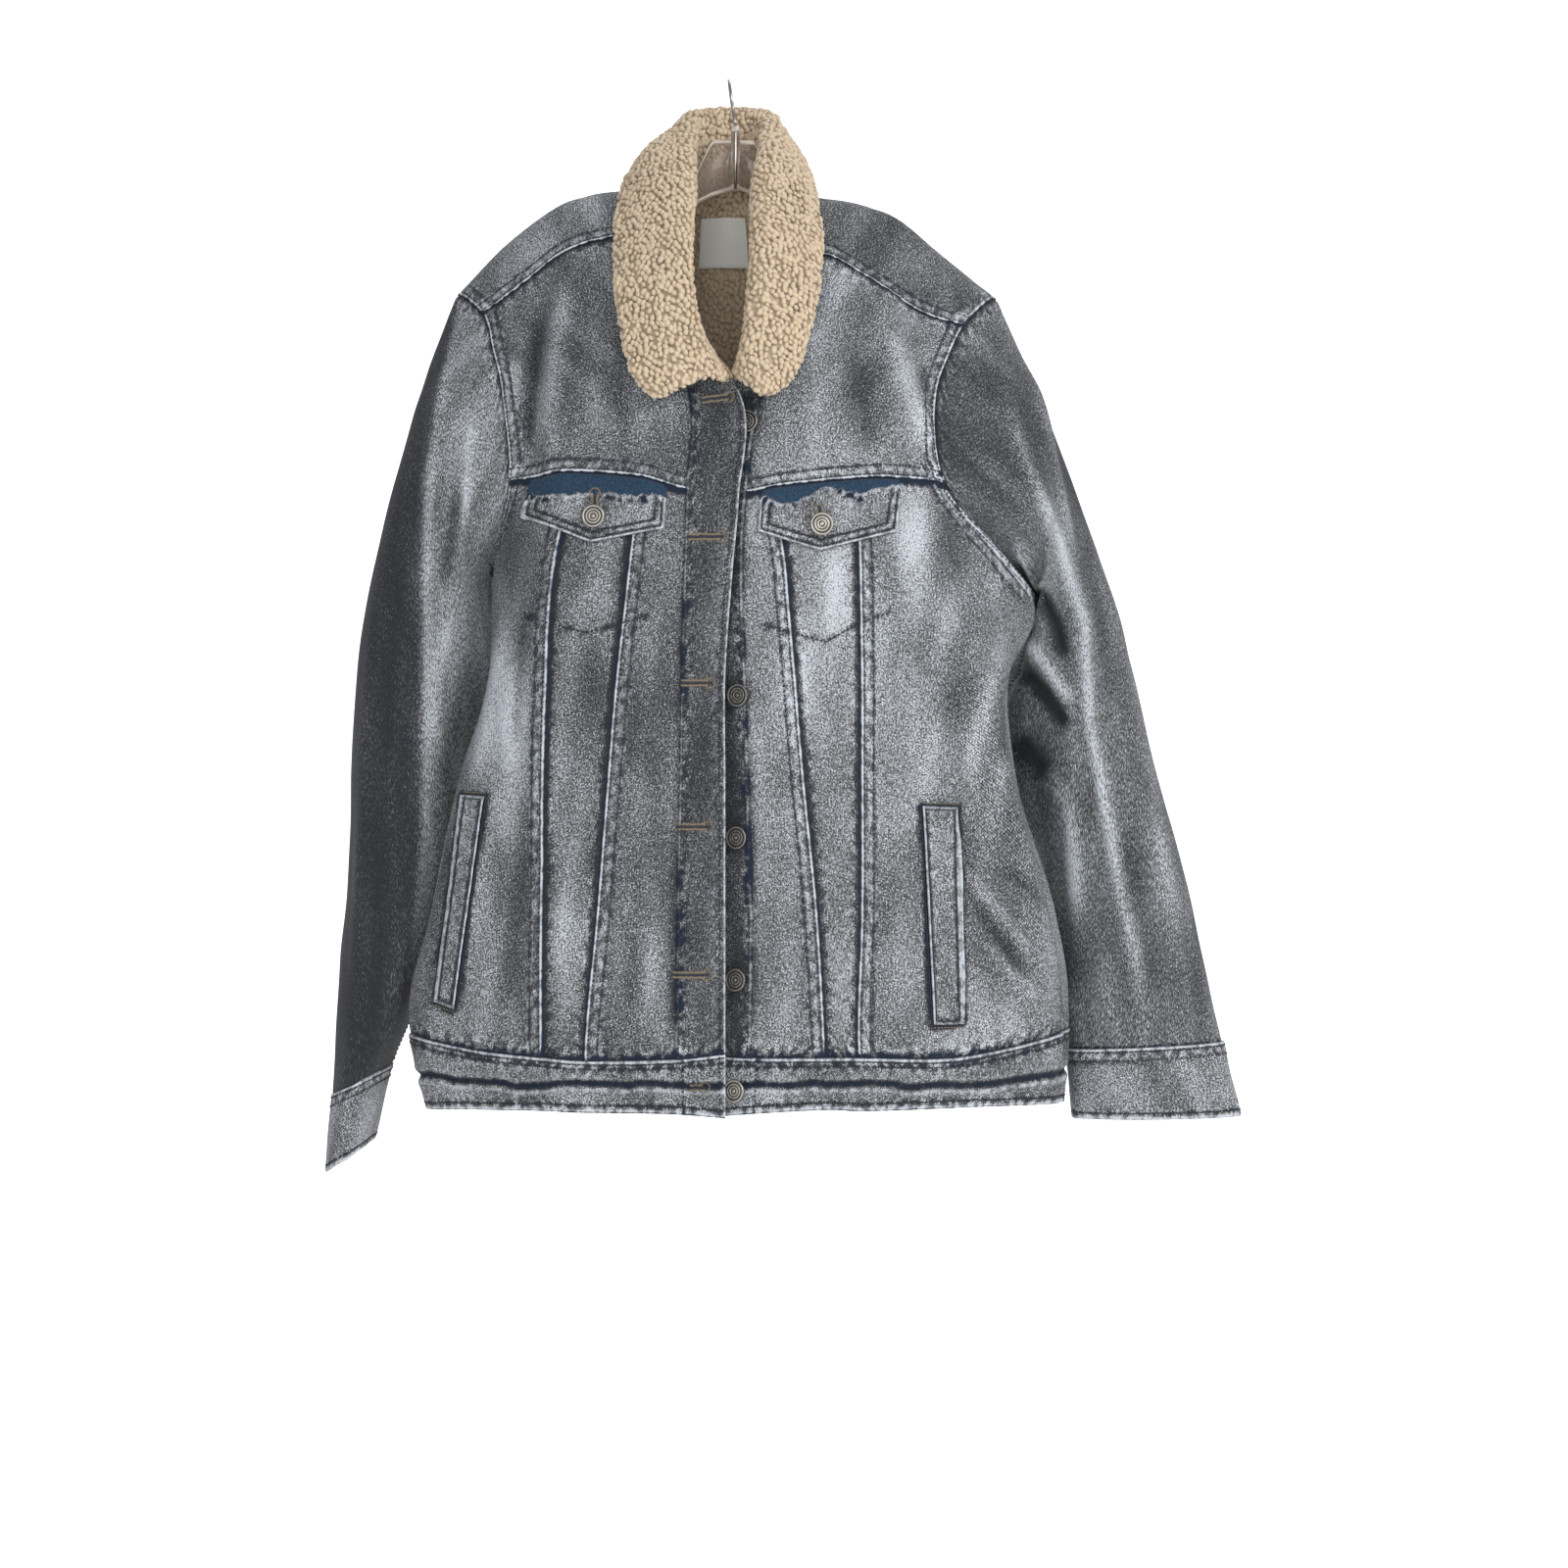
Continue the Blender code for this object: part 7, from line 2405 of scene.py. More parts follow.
        # depth paints the curls' tops lighter and the gaps between them darker, and the pad's underside
        # evenly
        depth = np.concatenate([shape.ravel() * 0.5, np.full(shape.size, 0.3)])
        piece = build_mesh("collar", points, faces, self.finishes.sherpa, depth=depth)
        weld(piece, 0.01)
        declare(piece, Slot.SHERPA, "collar_sherpa", flat=self.collar_cut, held="folded")
        self.undercollar(top)
        self.lining()
        self.label()

    def undercollar(self, top: Array) -> None:
        """Make the denim under the fall from the coarse grid of its top.

        Args:
            top: The grid of its top.
        """
        under, out = fine_collar(top, *self.under_samples)
        patch = Patch(under, out, np.zeros(under.shape[:2]), np.zeros(under.shape[:2]), False)
        patch.rumple(18, 0.3, 301)
        edge = patch.run[:, -1:] - patch.run
        patch.height -= 0.3 * bell(edge - 4.5, 0.9)
        patch.pale += 0.8 * bell(edge - 0.6, 1.0)
        patch.indigo += 0.4 * bell(edge - 4.5, 1.2)
        piece = cloth_piece("undercollar", [patch], self.finishes.denim, UNDERCOLLAR)
        declare(piece, Slot.DARK, "undercollar_denim", flat=patch.cut(), held="folded")

    def lining(self) -> None:
        """Make the sherpa on the inside of the back, which shows in the neck."""
        inside = WALL + SEAM + LINING
        whole = []
        for columns, levels, steps, down in LINING_PARTS:
            patch = Patch.on(self.surfaces["back"], columns, levels, steps, down, {}, {}, True)
            shape = 0.6 * curls(patch.base, 7.5, 15) + 0.4 * curls(patch.base, 3.4, 19)
            patch.height = -(inside - 1.2) - 2.2 * (shape - 0.75)
            shown = patch.base + patch.normals * patch.height[..., None]
            whole.append((patch, shown, shape))
        upper, lower = whole
        first = LINING_PARTS[1][2][0]  # where the upper part starts over the lower one
        lower[1][0, first: first + upper[1].shape[1]] = upper[1][-1]
        points = np.concatenate([shown.reshape(-1, 3) for _, shown, _ in whole])
        faces = np.concatenate([quads(*upper[2].shape, True), quads(*lower[2].shape, True) + upper[2].size])
        # depth paints the lining's curl tops lighter and the gaps between them darker
        depth = np.concatenate([shape.ravel() for _, _, shape in whole])
        piece = build_mesh("lining", points, faces, self.finishes.sherpa, depth=depth)
        weld(piece, 0.02)
        thicken(piece, self.lining_wall)
        declare(piece, Slot.SHERPA, "lining_back", flat=self.lining_cut)
        self.inside = whole

    def label(self) -> None:
        """Make the bare woven label under the neck seam."""
        (x0, z0), (x1, z1) = LABEL_BOX
        rows, columns = self.label_samples
        under = WALL + SEAM + LINING + 2 * LAP + 1.5
        grid = [[self.surfaces["back"].at(x, z) for x in np.linspace(x0, x1, columns)]
                for z in np.linspace(z0, z1, rows)]
        points = np.array([[cell[0] for cell in row] for row in grid])
        normals = np.array([[cell[1] for cell in row] for row in grid])
        self.label_out = -normals
        wave = 0.5 * clouds(points, 14, 21)
        shown = points - normals * (under + wave[..., None])
        faces = quads(rows, columns, True)
        piece = build_mesh("neck_label", shown.reshape(-1, 3), faces, self.finishes.label)
        thicken(piece, self.label_wall)
        declare(piece, Slot.LABEL, "neck_label", flat=self.label_cut, held="laid")
        self.label_grid = shown

    def sew(self, plain: Thread) -> None:
        """Sew the label down along its sides."""
        for side in (np.s_[1], np.s_[-2], np.s_[:, 1], np.s_[:, -2]):
            plain.row((self.label_grid[side], self.label_out[side]), pitch=2.2)

    def grow(self, tree: Repeat) -> None:
        """Grow the curled tufts of the collar and of the lining that shows in the neck.

        Args:
            tree: The tree of tufts.
        """
        rows, columns = self.tuft_samples
        outer, facing = fine_collar(self.showing, rows, columns)
        ground, _ = plump(outer + facing * 0.3, facing, self.wall, np.zeros((rows, columns)))
        faces = quads(rows, columns, False)
        self.tuft("collar_pile", tree, ground[: rows * columns], faces, facing, 0.0034, 0.0024, 3)
        upper, lower = self.inside
        keep = 54  # rows of the lining that show
        points = np.concatenate([upper[1].reshape(-1, 3), lower[1][:keep].reshape(-1, 3)])
        faces = np.concatenate([quads(*upper[2].shape, True),
                                quads(keep, lower[2].shape[1], True) + upper[2].size])
        outs = -np.concatenate([upper[0].normals.reshape(-1, 3), lower[0].normals[:keep].reshape(-1, 3)])
        self.tuft("lining_pile", tree, points, faces, outs, 0.0038, 0.0025, 4)

    def tuft(self, name: str, tree: Repeat, points: Array, faces: Array, outs: Array, spread: float,
             size: float, seed: int) -> None:
        """Grow tufts on a sheet that is thrown away after.

        Args:
            name: The piece's name.
            tree: The tree of tufts.
            points: The sheet's points.
            faces: Its faces.
            outs: The way out at each point.
            spread: Least distance between tufts, in metres.
            size: A tuft's size.
            seed: Seed of their places.
        """
        corners = points[faces]
        facing = np.cross(corners[:, 1] - corners[:, 0], corners[:, 2] - corners[:, 0])
        if (facing * outs.reshape(-1, 3)[faces[:, 0]]).sum() < 0:
            faces = faces[:, ::-1]
        carrier = build_mesh(name + "_ground", points, faces, self.finishes.sherpa)
        piece = tree.grow(name, carrier, Spacing=spread, Size=size, Seed=seed, Material=self.finishes.sherpa)
        bpy.data.objects.remove(carrier)
        declare(piece, Slot.SHERPA)


def inset(corners: Array, distance: float) -> Array:
    """A run of corners moved to its left.

    Args:
        corners: The (x, z) corners.
        distance: How far they are moved.

    Returns:
        The moved corners.
    """
    ways = unit(np.diff(corners, axis=0))
    lefts = np.stack([-ways[:, 1], ways[:, 0]], axis=1)
    moved = [corners[0] + lefts[0] * distance]
    for k in range(1, len(corners) - 1):
        mean = unit(lefts[k - 1] + lefts[k])
        moved.append(corners[k] + mean * distance / max(mean @ lefts[k], 0.3))
    moved.append(corners[-1] + lefts[-1] * distance)
    return np.array(moved)


def rounded(corners: Array, reach: float) -> Array:
    """A run of corners with each inner one cut round.

    Args:
        corners: The (x, z) corners.
        reach: How far from a corner the rounding starts.

    Returns:
        The rounded run.
    """
    found = [corners[0]]
    for before, corner, after in zip(corners, corners[1:], corners[2:]):
        to, on = before - corner, after - corner
        cut = min(reach, 0.4 * np.linalg.norm(to), 0.4 * np.linalg.norm(on))
        a, b = corner + unit(to) * cut, corner + unit(on) * cut
        found += [(1 - t) ** 2 * a + 2 * t * (1 - t) * corner + t * t * b for t in np.linspace(0, 1, 6)]
    return np.array([*found, corners[-1]])


@dataclass
class Pockets:
    """Pointed flaps on the chest and welts at the hips.

    Args:
        surfaces: The body's surfaces.
        body: The finished body pieces that they lie on.
        finishes: The materials.
    """

    surfaces: dict[str, Surface]
    body: Body
    finishes: Finishes
    wall: float = FLAP - 0.1
    lift: float = 0.5  # from the front to a pocket piece
    tip_lift: float = 1.9  # from the front to a flap's lower edge
    rows: tuple[float, float] = (2.6, 7.6)  # a flap's two rows of stitches, from its edge
    hole_rows: tuple[float, float] = (2.3, 8.6)  # those at the foot of the left armhole
    bag_stitch: float = 3.5

    def __post_init__(self) -> None:
        """Find the ground that the flaps and welts lie on, and start without rows."""
        self.ground = {side: Ground(self.body.pieces[f"front_{side}"]) for side in ("right", "left")}
        self.flaps: dict[str, Ground] = {}
        self.navy_routes: list[tuple[Ground, Array, float]] = []
        self.tan_routes: list[tuple[Ground, Array, float]] = []

    def lay(self, piece: Piece, patch: Patch) -> Ground:
        """Put a pocket piece under the root, hide its solid, and give its faces."""
        name = piece.name.removesuffix("_shown")
        return Ground(declare(piece, Slot.DENIM, name, flat=patch.cut(), held="laid"))

    def laid(self, side: str, outline: tuple, tip: tuple | None, across: int, down: int, lift: float,
             lift_low: float, seam: Array | None = None) -> Line:
        """Lay a piece on the front.

        Args:
            side: Which front.
            outline: Its (x, z) corners, two of the top and two of the foot.
            tip: The point of its foot, for a flap.
            across: Samples across it.
            down: Samples down it.
            lift: How far its top lies from the front.
            lift_low: How far its foot does.
            seam: The (x, z) points of a seam that its top follows.

        Returns:
            Its points and normals.
        """
        top_a, top_b, low_b, low_a = (np.array(c, float) for c in outline)
        share = 0.5
        if tip is not None:
            tip = np.array(tip, float)
            foot = low_b - low_a
            share = float(np.clip((tip - low_a) @ foot / (foot @ foot), 0.1, 0.9))
        s = np.concatenate([[0, 0.008, 0.02], np.linspace(0.04, 0.96, across), [0.98, 0.992, 1]])
        t = np.concatenate([[0, 0.02, 0.05], np.linspace(0.1, 0.86, down), [0.90, 0.93, 0.96, 0.98, 1]])
        points, normals = np.zeros((len(t), len(s), 3)), np.zeros((len(t), len(s), 3))
        rough = {}
        for i, u in enumerate(s):
            if tip is None:
                low = low_a + (low_b - low_a) * u
            elif u <= share:
                low = low_a + (tip - low_a) * u / share
            else:
                low = tip + (low_b - tip) * (u - share) / (1 - share)
            top = top_a + (top_b - top_a) * u
            if seam is not None:
                reach = ease(u / 0.03 + 0.4) * ease((1 - u) / 0.03 + 0.4)
                top[1] += reach * max(0.0, np.interp(top[0], seam[:, 0], seam[:, 1]) - 1.4 - top[1])
            for j, v in enumerate(t):
                x, z = top * (1 - v) + low * v
                key = (round(x / 6), round(z / 6))
                if key not in rough:
                    rough[key] = self.surfaces[side].at(x, z)[1]
                normal = rough[key]
                hit = self.ground[side].below(x, z)
                points[j, i] = hit[0] if hit is not None else self.surfaces[side].at(x, z)[0]
                normals[j, i] = normal
        for block in (points, normals):
            for _ in range(3):
                beside = block[1:-1, :-2] + block[1:-1, 2:]
                block[1:-1, 1:-1] = (block[:-2, 1:-1] + block[2:, 1:-1] + beside) / 4
        drop = lift + (lift_low - lift) * t[:, None, None]
        return points + normals * drop, unit(normals)

    def piece(self, points: Array, normals: Array, edge: Array,
              flip: bool, seed: int) -> Patch:
        """Give a small doubled piece its worn edges and painted shade along its rows of stitches.

        Args:
            points: Its points.
            normals: Its normals.
            edge: The (x, z) corners of its worn and stitched edge.
            flip: Whether the grid's own winding points into the cloth.
            seed: Seed of its unevenness.

        Returns:
            The patch.
        """
        place = np.zeros(points.shape[:2])
        patch = Patch(points + normals * FLAP, normals, place, place, flip)
        away, _ = nearest(points[..., [0, 2]], edge)
        near, far = away - self.rows[0], away - self.rows[1]
        patch.height += 0.45 * bell(away - 1.0, 1.1) - 0.35 * bell(near, 0.7) - 0.35 * bell(far, 0.8)
        patch.height += 0.5 * clouds(points, 13, seed) * ease(away / 4) - 0.9 * ease(1 - away / 0.7)
        patch.pale += 0.95 * bell(away - 0.8, 1.0) + 0.35 * bell(away - 5, 1.8)
        patch.indigo += 0.12 * bell(away - 5, 4)
        patch.pucker += 0.5 * bell(away - 5, 4)
        is_flap = edge[0, 0] != edge[-1, 0]
        patch.paint_stitch_shade(0.9, *((near, far) if is_flap else (near,)))
        patch.tone += 0.12 * clouds(points, 22, seed + 1)
        return patch

    def flap(self, name: str, side: str, top_a: tuple, top_b: tuple, low_b: tuple, tip: tuple,
             low_a: tuple, seed: int) -> None:
        """Make a pointed flap, its rows of stitches and the indigo left along its top.

        Args:
            name: Its name.
            side: Which front it lies on.
            top_a: The corner where its top starts.
            top_b: Where its top ends.
            low_b: The lower corner below that.
            tip: Its point.
            low_a: The lower corner below the first one.
            seed: Seed of its wear.
        """
        line = self.surfaces[side].grid(np.linspace(0, 5, 80), np.array([CHEST_SEAM]))[0][0][:, [0, 2]]
        line = line[np.argsort(line[:, 0])]
        outline = (top_a, top_b, low_b, low_a)
        points, normals = self.laid(side, outline, tip, 52, 26, self.lift, self.tip_lift, line)
        edge = np.array([top_a, low_a, tip, low_b, top_b], float)
        patch = self.piece(points, normals, edge, side == "right", seed)
        top = patch.fall
        share = patch.run / patch.run[:, -1:]
        chord = np.interp(points[..., 0], *np.array(sorted((top_a, top_b)), float).T)
        above = np.maximum(points[:1, :, 2] - chord[:1], 0)
        frayed = 1.1 * ripple(patch.run, 4, seed) + 1.2 * ripple(patch.run, 9, seed + 2)
        if side == "right":
            deep = above * 0.9 + 0.4 + frayed
        else:
            blots = np.maximum(0.75 * bell(share - 0.32, 0.24), 1.05 * bell(share - 0.78, 0.2))
            deep = (above + 1.0) * blots + frayed
        patch.fresh += 1.05 * ease((deep - top) / 2.6 + 0.5)
        patch.indigo += 0.75 * bell(top - deep - 3, 4.5) * np.clip(clouds(points, 9, seed + 4) + 0.5, 0, 1)
        patch.height -= 1.2 * ease(1 - top / 1.5)
        patch.pale += 0.5 * bell(top - deep - 1.5, 2.0)
        patch.pucker += 0.25
        self.flaps[side] = self.lay(cloth_piece(name, [patch], self.finishes.denim, self.wall), patch)
        way = 1 if edge[0, 0] < edge[-1, 0] else -1
        for distance, reach in zip(self.rows, (3.0, 1.5)):
            route = rounded(inset(edge, distance * way), reach)
            self.navy_routes.append((self.flaps[side], route, STITCH))

    def welt(self, name: str, side: str, top_a: tuple, top_b: tuple, low_b: tuple, low_a: tuple, gape: float,
             seed: int) -> None:
        """Make a hip pocket's welt, its stitches, and a dark row round it that paints its shadow on the
        front.

        Args:
            name: Its name.
            side: Which front it lies on.
            top_a: The corner where its top starts.
            top_b: Where its top ends.
            low_b: The lower corner below that.
            low_a: The lower corner below the first one.
            gape: How far its outer edge stands off.
            seed: Seed of its wear.
        """
        points, normals = self.laid(side, (top_a, top_b, low_b, low_a), None, 9, 60, self.lift, self.lift)
        ajar = np.linspace(0, 1, points.shape[1])[None, :, None]
        belly = np.sin(np.linspace(0, math.pi, points.shape[0]))[:, None, None]
        points = points + normals * gape * ajar * belly
        edge = np.array([top_a, top_b, low_b, low_a, top_a], float)
        patch = self.piece(points, normals, edge, True, seed)
        patch.height += 0.35 * ripple(patch.fall, 6, seed + 2)
        welt = self.lay(cloth_piece(name, [patch], self.finishes.denim, self.wall), patch)
        front = self.ground[side]
        # the front's row 1 mm outside the welt is so close that it makes a dark outline, a painted shadow
        self.navy_routes += [(welt, inset(edge, -2.4), 2.0), (front, inset(edge, 1.0), 1.9)]
        self.tan_routes += [(front, inset(edge[:2], 2.4), 2.4), (front, inset(edge[2:4], 2.4), 2.4)]

    def build(self) -> None:
        """Make the flaps and welts."""
        for seed, row in enumerate(FLAPS):
            self.flap(*row, seed=401 + 10 * seed)
        for seed, row in enumerate(WELTS):
            self.welt(*row, seed=441 + 10 * seed)

    def sew(self, navy: Thread, tan: Thread, bag: Thread) -> None:
        """Sew the pocket pieces on.

        Args:
            navy: The thread of flaps and welts.
            tan: That across the welts' ends.
            bag: That of the pocket bags' V below each flap.
        """
        for thread, routes in ((navy, self.navy_routes), (tan, self.tan_routes)):
            for ground, route, pitch in routes:
                thread.row(ground.route(route), pitch)
        for distance in self.hole_rows:
            navy.row(self.ground["left"].route(inset(np.array(ARMHOLE_LOW, float), -distance)))
        for side, route in POCKET_BAGS.items():
            bag.row(self.ground[side].route(route), self.bag_stitch)


def revolve(profile: tuple, sides: int) -> tuple[Array, list[list[int]], Array]:
    """Turn a profile round its axis.

    Args:
        profile: Rows of radius, height and darkness.
        sides: Sides of the turned shape.

    Returns:
        Its points, its faces and the darkness at each point.
    """
    angle = np.arange(sides) * 2 * math.pi / sides
    points, shade, rings, faces = [], [], [], []
    for radius, height, dark in profile:
        if radius == 0:
            rings.append([len(points)])
            points.append((0, 0, height))
            shade.append(dark)
            continue
        rings.append(list(range(len(points), len(points) + sides)))
        points += [(radius * math.cos(a), radius * math.sin(a), height) for a in angle]
        shade += [dark] * sides
    for upper, lower in zip(rings, rings[1:]):
        for k in range(sides):
            after = (k + 1) % sides
            if len(upper) == 1:
                faces.append([upper[0], lower[k], lower[after]])
            elif len(lower) == 1:
                faces.append([upper[k], lower[0], upper[after]])
            else:
                faces.append([upper[k], lower[k], lower[after], upper[after]])
    return np.array(points, float), faces, np.array(shade)


# A shank button's profile: radius, height and darkness, rings first.
BUTTON_PROFILE = (
    (0.0, 2.9, 0.0), (1.2, 2.9, 0.0), (1.7, 2.55, 1.0), (2.1, 2.55, 1.0), (2.5, 2.9, 0.1), (3.4, 2.95, 0.0),
    (3.8, 2.65, 1.0), (4.2, 2.65, 1.0), (4.6, 2.95, 0.1), (5.5, 3.0, 0.0), (5.9, 2.6, 1.0), (6.5, 2.6, 1.0),
    (6.9, 3.1, 0.2), (7.5, 3.4, 0.0), (8.1, 3.25, 0.0), (8.5, 2.7, 0.2), (8.45, 2.2, 0.4), (8.1, 1.7, 0.8),
    (3.0, 1.5, 1.0), (3.0, 0.05, 1.0), (0.0, 0.05, 1.0),
)


@dataclass
class Buttons:
    """Shank buttons on the flaps and down the front, and their buttonholes.

    Args:
        surfaces: The body's surfaces.
        body: The finished body.
        pockets: The finished flaps.
        finishes: The materials.
    """

    surfaces: dict[str, Surface]
    body: Body
    pockets: Pockets
    finishes: Finishes
    seat: float = 0.3  # from the cloth to a button
    sides: int = 32
    slit_width: float = 3.6  # between a buttonhole's two rows of bars
    eye: float = 3.9  # radius of its eye
    front_shade: float = 0.5  # how bright the front buttons are beside the flaps', painted darker as shade

    def build(self) -> None:
        """Make the buttons."""
        places = []
        for name, side, x, z in FLAP_BUTTONS:
            places.append((name, self.surfaces[side], self.pockets.flaps[side], x, z))
        stand = Ground(self.body.pieces["front_left"], self.body.pieces["waistband_left"])
        for number, (x, z) in enumerate(zip(FRONT_BUTTON_X, FRONT_BUTTON_HEIGHTS), start=1):
            places.append((f"button_front_{number}", self.surfaces["left"], stand, x, z))
        shape, faces, dark = revolve(BUTTON_PROFILE, self.sides)
        for name, surface, ground, x, z in places:
            point, normal = surface.at(x, z)
            point = ground.under(point, normal)
            turn = np.array(Vector((0, 0, 1)).rotation_difference(Vector(normal)).to_matrix())
            points = shape @ turn.T + point + normal * self.seat
            # the front buttons but the last are painted darker, a painted shade
            bright = 1.0 if "flap" in name or name.endswith("6") else self.front_shade
            piece = build_mesh(name, points, faces, self.finishes.silver, depth=(1 - dark) * bright)
            declare(piece, Slot.BUTTON, name)

    def holes(self, tan: Thread, dark: Thread) -> None:
        """Sew keyhole buttonholes, close bars round a slit with an eye at one end.

        Args:
            tan: The thread of the bars.
            dark: The thread whose dark stitches stand for the shade in the slit.
        """
        front, band = (Ground(self.body.pieces[name]) for name in ("front_right", "waistband_right"))
        places = [(front, hole) for hole in FRONT_HOLES] + [(band, BAND_HOLE)]
        places += [(self.pockets.flaps[side], hole) for side, hole in FLAP_HOLES.items()]
        for ground, hole in places:
            eye, end = np.array(hole, float)
            way = unit(end - eye)
            side = np.array([-way[1], way[0]])
            route, outs = [], []
            length = np.linalg.norm(end - eye)
            drift = np.random.default_rng(int(abs(end[1])))
            for t in np.arange(0, length, 0.8):
                for flank in (1, -1):
                    reach = flank * self.slit_width / 2 + drift.uniform(-0.3, 0.3)
                    route.append(eye + way * t + side * reach)
                    outs.append(side * flank)
            for angle in np.linspace(-2.5, 2.5, 16):
                out = -way * math.cos(angle) + side * math.sin(angle)
                route.append(eye - way * 1.4 + out * (self.eye + drift.uniform(-0.2, 0.2)))
                outs.append(out)
            core = len(route)
            for t in np.arange(-2.6, length, 0.7):
                route.append(eye + way * t)
                outs.append(side)
            points, ways, normals, slit = [], [], [], []
            for index, ((x, z), out) in enumerate(zip(route, outs)):
                hit = ground.below(x, z)
                if hit is None:
                    continue
                points.append(hit[0])
                normals.append(hit[1])
                flat = np.array([out[0], 0.0, out[1]])
                ways.append(flat - hit[1] * (flat @ hit[1]))
                slit.append(index >= core)
            points, ways, normals, slit = (np.array(block) for block in (points, ways, normals, slit))
            tan.bars(points[~slit], ways[~slit], normals[~slit])
            # dark stitches sunk in the slit, painted shade where the cloth is cut
            dark.bars(points[slit] - normals[slit] * 0.25, ways[slit], normals[slit])


# Buttonholes, as the (x, z) of the eye and of the slit's end.
FRONT_HOLES = (
    ((-1, -246), (-20, -248)),
    ((-6, -349), (-30, -349)),
    ((-15, -456), (-35, -456)),
    ((-17, -561), (-37, -561)),
    ((-17, -669), (-41, -669)),
)
BAND_HOLE = ((-19, -752), (-28, -752))
FLAP_HOLES = {"right": ((-98, -318), (-98, -330)), "left": ((67, -330), (67, -345))}


@dataclass
class Hanger:
    """The clear plastic hanger and its steel hook.

    Args:
        surfaces: The body's surfaces, whose shoulder folds the arms follow.
        finishes: The materials.
    """

    surfaces: dict[str, Surface]
    finishes: Finishes
    arm_half: float = 4.0
    arm_depth: float = 17.0
    wire: float = 3.0
    crook: float = 15.0  # inner radius of the hook's crook
    wire_sides: int = 14

    def stations(self) -> list[tuple[float, float, float, float]]:
        """Across the hanger: x, top, bottom and half thickness.

        Returns:
            The stations from tip to tip.
        """
        drop = WALL + SEAM + 3.2
        arms = []
        for side, low, high in (("right", ARM_END_RIGHT, -70), ("left", 62, ARM_END_LEFT)):
            line, _ = self.surfaces[side].grid(np.linspace(0, 5, 61), np.array([0.0]))
            arm = [(x, z - drop, z - drop - self.arm_depth, self.arm_half)
                   for x, _, z in line[0] if low < x < high]
            tip = arm[-1]
            end = low if side == "right" else high
            steep = 1.6 if side == "right" else 0.95
            arm.append((end, tip[1] - abs(end - tip[0]) * steep, tip[2] - 10, 2.5))
            arms.append(arm)
        return sorted(arms[0]) + list(PLATE) + sorted(arms[1])

    def build(self) -> None:
        """Make the body with thick rims round a thinner web, and the hook."""
        rows = np.array(self.stations())
        rings = []
        for x, top, bottom, half in rows:
            deep = min(1.5, (top - bottom) / 4)
            rib = 0.35 if 0 < x < 8 and half > 3 else 0.12
            web = half * 0.55
            ring = []
            bead = ((half * 0.35, half * 0.8, 1), (half, half, 1), (half + deep * 0.6, half * 0.95, 0.9),
                    (half + deep, web, rib))
            ring += [(x, y, top - fall, bright) for fall, y, bright in bead]
            ring += [(x, y, bottom + rise, bright) for rise, y, bright in bead[::-1]]
            ring.append((x, half * 0.3, bottom, 1))
            back = [(x, -y, z, bright) for x, y, z, bright in ring[::-1]]
            ring = [(x, half * 0.3, top, 1), *ring, *back, (x, -half * 0.3, top, 1)]
            rings.append(ring)
        rings = np.array(rings)
        piece = rod("hanger_body", rings[..., :3], self.finishes.clear, rim=rings[..., 3].ravel())
        declare(piece, Slot.CLEAR, "hanger_body")
        self.hook()

    def hook(self) -> None:
        """Make the bright wire hook, a crook in the plane through chest and back."""
        radius = self.crook + self.wire / 2
        middle = self.wire / 2 - radius
        shank = ((-3.0, -81.0), (-3.1, -60.0), (-2.6, -42.0), (0.0, -33.0), (0.0, -31.5))
        route = [(4.0, y, z) for y, z in shank]
        for degrees in range(-78, 203, 4):
            angle = math.radians(degrees)
            height = middle + radius * math.sin(angle)
            route.append((4.0 - 5.0 * (height + 33) / 34, radius * math.cos(angle), height))
        route = np.array(route)
        along = unit(np.gradient(route, axis=0))
        side = unit(np.cross(along, np.array([1.0, 0.0, 0.0])))
        up = np.cross(side, along)
        turn = np.linspace(0, 2 * math.pi, self.wire_sides, endpoint=False)
        scale = np.ones(len(route))
        scale[-1], scale[-2] = 0.55, 0.9
        ring = (np.cos(turn)[None, :, None] * side[:, None] + np.sin(turn)[None, :, None] * up[:, None])
        points = route[:, None] + ring * (self.wire * 0.38) * scale[:, None, None]
        declare(rod("hook", points, self.finishes.steel), Slot.STEEL, "hook")


CAMERA_X, CAMERA_Z, CAMERA_DISTANCE = 0.0407, -0.5298, 2.6
FLOOR_Z, DOME_RADIUS, DOME_Z = -1.06, 4.6, -0.53
FRAME_WIDTH = 1.184  # metres across the view in the plane of the hook


def turned(name: str, profile: tuple, finish: Material) -> Piece:
    """A surface turned round the jacket's upright.

    Args:
        name: Its name.
        profile: Rows of radius and height in metres.
        finish: Its finish.

    Returns:
        The object.
    """
    angle = np.linspace(0, 2 * math.pi, 49)
    rows = [np.stack([0.02 + radius * np.cos(angle), radius * np.sin(angle), np.full(49, height)], -1)
            for radius, height in profile]
    return build_mesh(name, np.concatenate(rows) / MM, quads(len(profile), 49, False), finish)


def pale(name: str, glow: float) -> Material:
    """Pale paper that glows a little, so that no light has to reach all of it.

    Args:
        name: Its name.
        glow: How much it glows.

    Returns:
        The material.
    """
    paper = bpy.data.materials.new(name)
    paper.use_nodes = True
    shader = paper.node_tree.nodes["Principled BSDF"]
    shader.inputs["Base Color"].default_value = (0.86, 0.86, 0.86, 1.0)
    shader.inputs["Roughness"].default_value = 0.9
    shader.inputs["Emission Color"].default_value = (1.0, 1.0, 1.0, 1.0)
    shader.inputs["Emission Strength"].default_value = glow
    paper.cycles.emission_sampling = "NONE"
    return paper


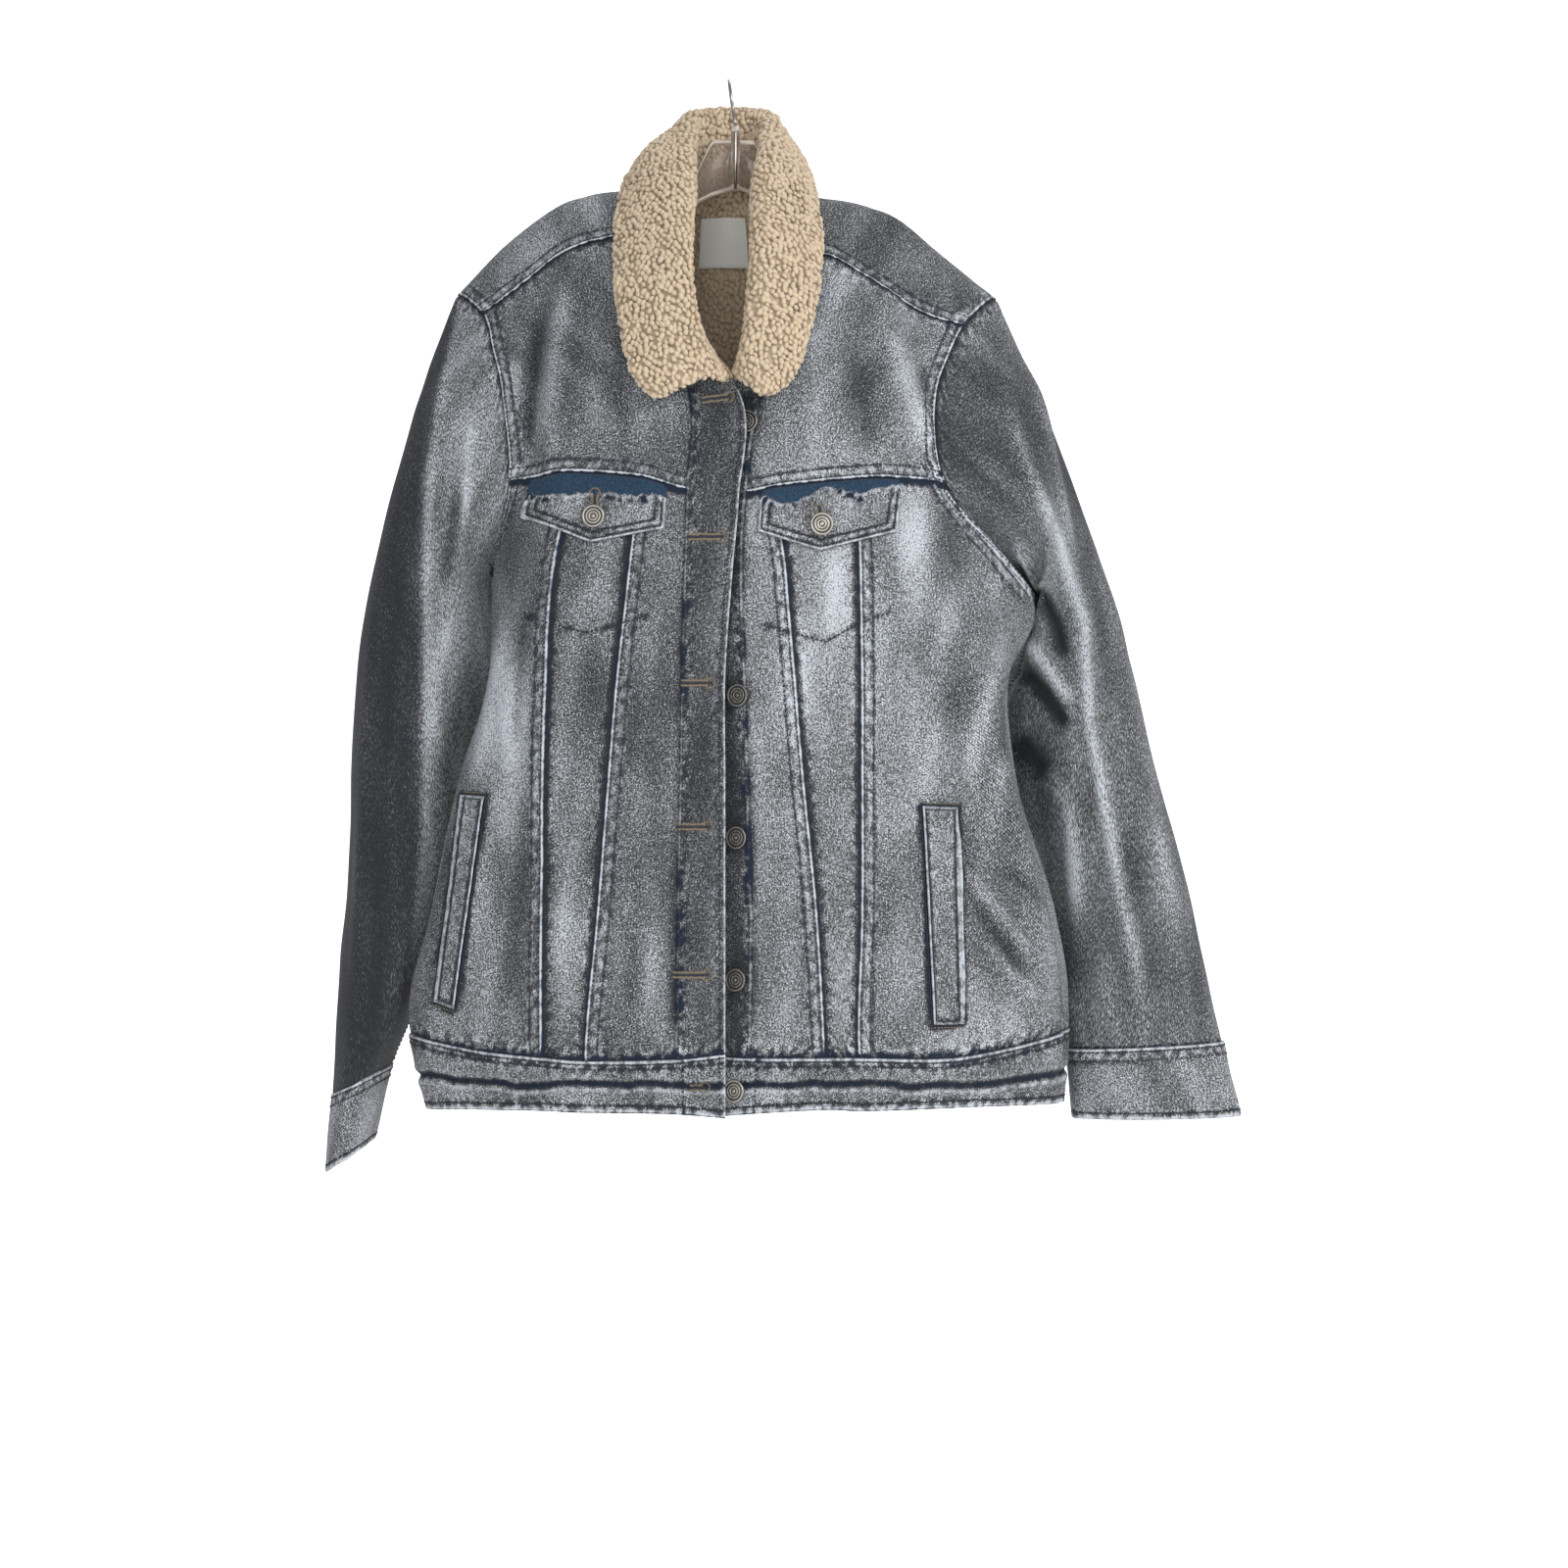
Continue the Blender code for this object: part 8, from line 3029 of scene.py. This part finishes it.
def light(name: str, size: tuple[float, float], place: tuple[float, float, float],
          energy: float) -> Piece:
    """An area light that faces the jacket's middle.

    Args:
        name: Its name.
        size: Its width and height in metres.
        place: Where it stands.
        energy: Its power in watts.

    Returns:
        The light.
    """
    data = bpy.data.lights.new(name, "AREA")
    data.shape, data.size, data.size_y, data.energy = "RECTANGLE", *size, energy
    made = bpy.data.objects.new(name, data)
    bpy.context.scene.collection.objects.link(made)
    made.location = place
    made.visible_camera = False
    made.rotation_euler = (Vector((0.02, 0.0, -0.42)) - Vector(place)).to_track_quat("-Z", "Y").to_euler()
    return made


def studio() -> None:
    """Floor, a pale dome that only the camera sees, lights, world and camera."""
    floor = turned("floor", [(radius, FLOOR_Z) for radius in (1.8, 0.9, 0.001)], pale("floor_paper", 0.38))
    sweep = [(DOME_RADIUS * math.sin(a) + 0.001, DOME_Z - DOME_RADIUS * math.cos(a))
             for a in np.linspace(0, math.pi, 25)]
    dome = turned("dome", tuple(sweep[::-1]), pale("dome_paper", 1.0))
    dome.visible_diffuse = dome.visible_glossy = dome.visible_shadow = False
    lights = [light("key", (0.9, 0.9), (2.0, -2.0, 0.9), 50.0),
              light("fill", (1.8, 1.8), (-0.3, -3.1, -0.1), 34.0),
              light("rim", (1.4, 1.0), (0.4, 1.2, 1.6), 14.0),
              light("back", (1.8, 1.8), (-0.4, 3.1, 0.1), 30.0)]
    world = bpy.data.worlds.new("studio")
    world.use_nodes = True
    world.node_tree.nodes["Background"].inputs[0].default_value = (0.93, 0.95, 1.0, 1.0)
    world.node_tree.nodes["Background"].inputs[1].default_value = 0.5
    bpy.context.scene.world = world
    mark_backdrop(floor, dome, *lights)
    data = bpy.data.cameras.new("camera")
    data.sensor_width = 36.0
    data.lens = 36.0 * CAMERA_DISTANCE / FRAME_WIDTH
    camera = bpy.data.objects.new("camera", data)
    bpy.context.scene.collection.objects.link(camera)
    camera.location = (CAMERA_X, -CAMERA_DISTANCE, CAMERA_Z)
    camera.rotation_euler = (math.pi / 2, 0.0, 0.0)
    bpy.context.scene.camera = camera
    bpy.context.scene.view_settings.view_transform = "Standard"


def corners() -> list[list[float]]:
    """The bounds of all that is in the scene, as plain lists."""
    return [[round(float(value), 5) for value in corner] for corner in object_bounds()]


def main() -> None:
    """Build the scene."""
    logging.basicConfig(level=logging.INFO, format="%(message)s")
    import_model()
    finishes = Finishes.make()
    surfaces = body_surfaces()
    body = Body(surfaces, finishes)
    body.build()
    sleeves = [Sleeve(side, surfaces, finishes) for side in ("right", "left")]
    for sleeve in sleeves:
        sleeve.build()
    collar = Collar(surfaces, finishes)
    collar.build()
    collar.grow(tuft_tree())
    pockets = Pockets(surfaces, body, finishes)
    pockets.build()
    buttons = Buttons(surfaces, body, pockets, finishes)
    buttons.build()
    Hanger(surfaces, finishes).build()
    tree = stitch_tree()
    navy = Thread("topstitch", finishes.navy)
    bag = Thread("topstitch_pockets", finishes.navy, (3.0, 1.5, 1.1))
    tan = Thread("topstitch_tan", finishes.tan, (2.3, 0.9, 0.8))
    plain = Thread("label_thread", finishes.label, (1.6, 0.5, 0.4))
    body.sew(navy, tan)
    for sleeve in sleeves:
        sleeve.sew(navy)
    collar.sew(plain)
    pockets.sew(navy, tan, bag)
    buttons.holes(tan, navy)
    for thread in (navy, tan, plain, bag):
        thread.sew(tree)
    studio()


if __name__ == "__main__":
    main()
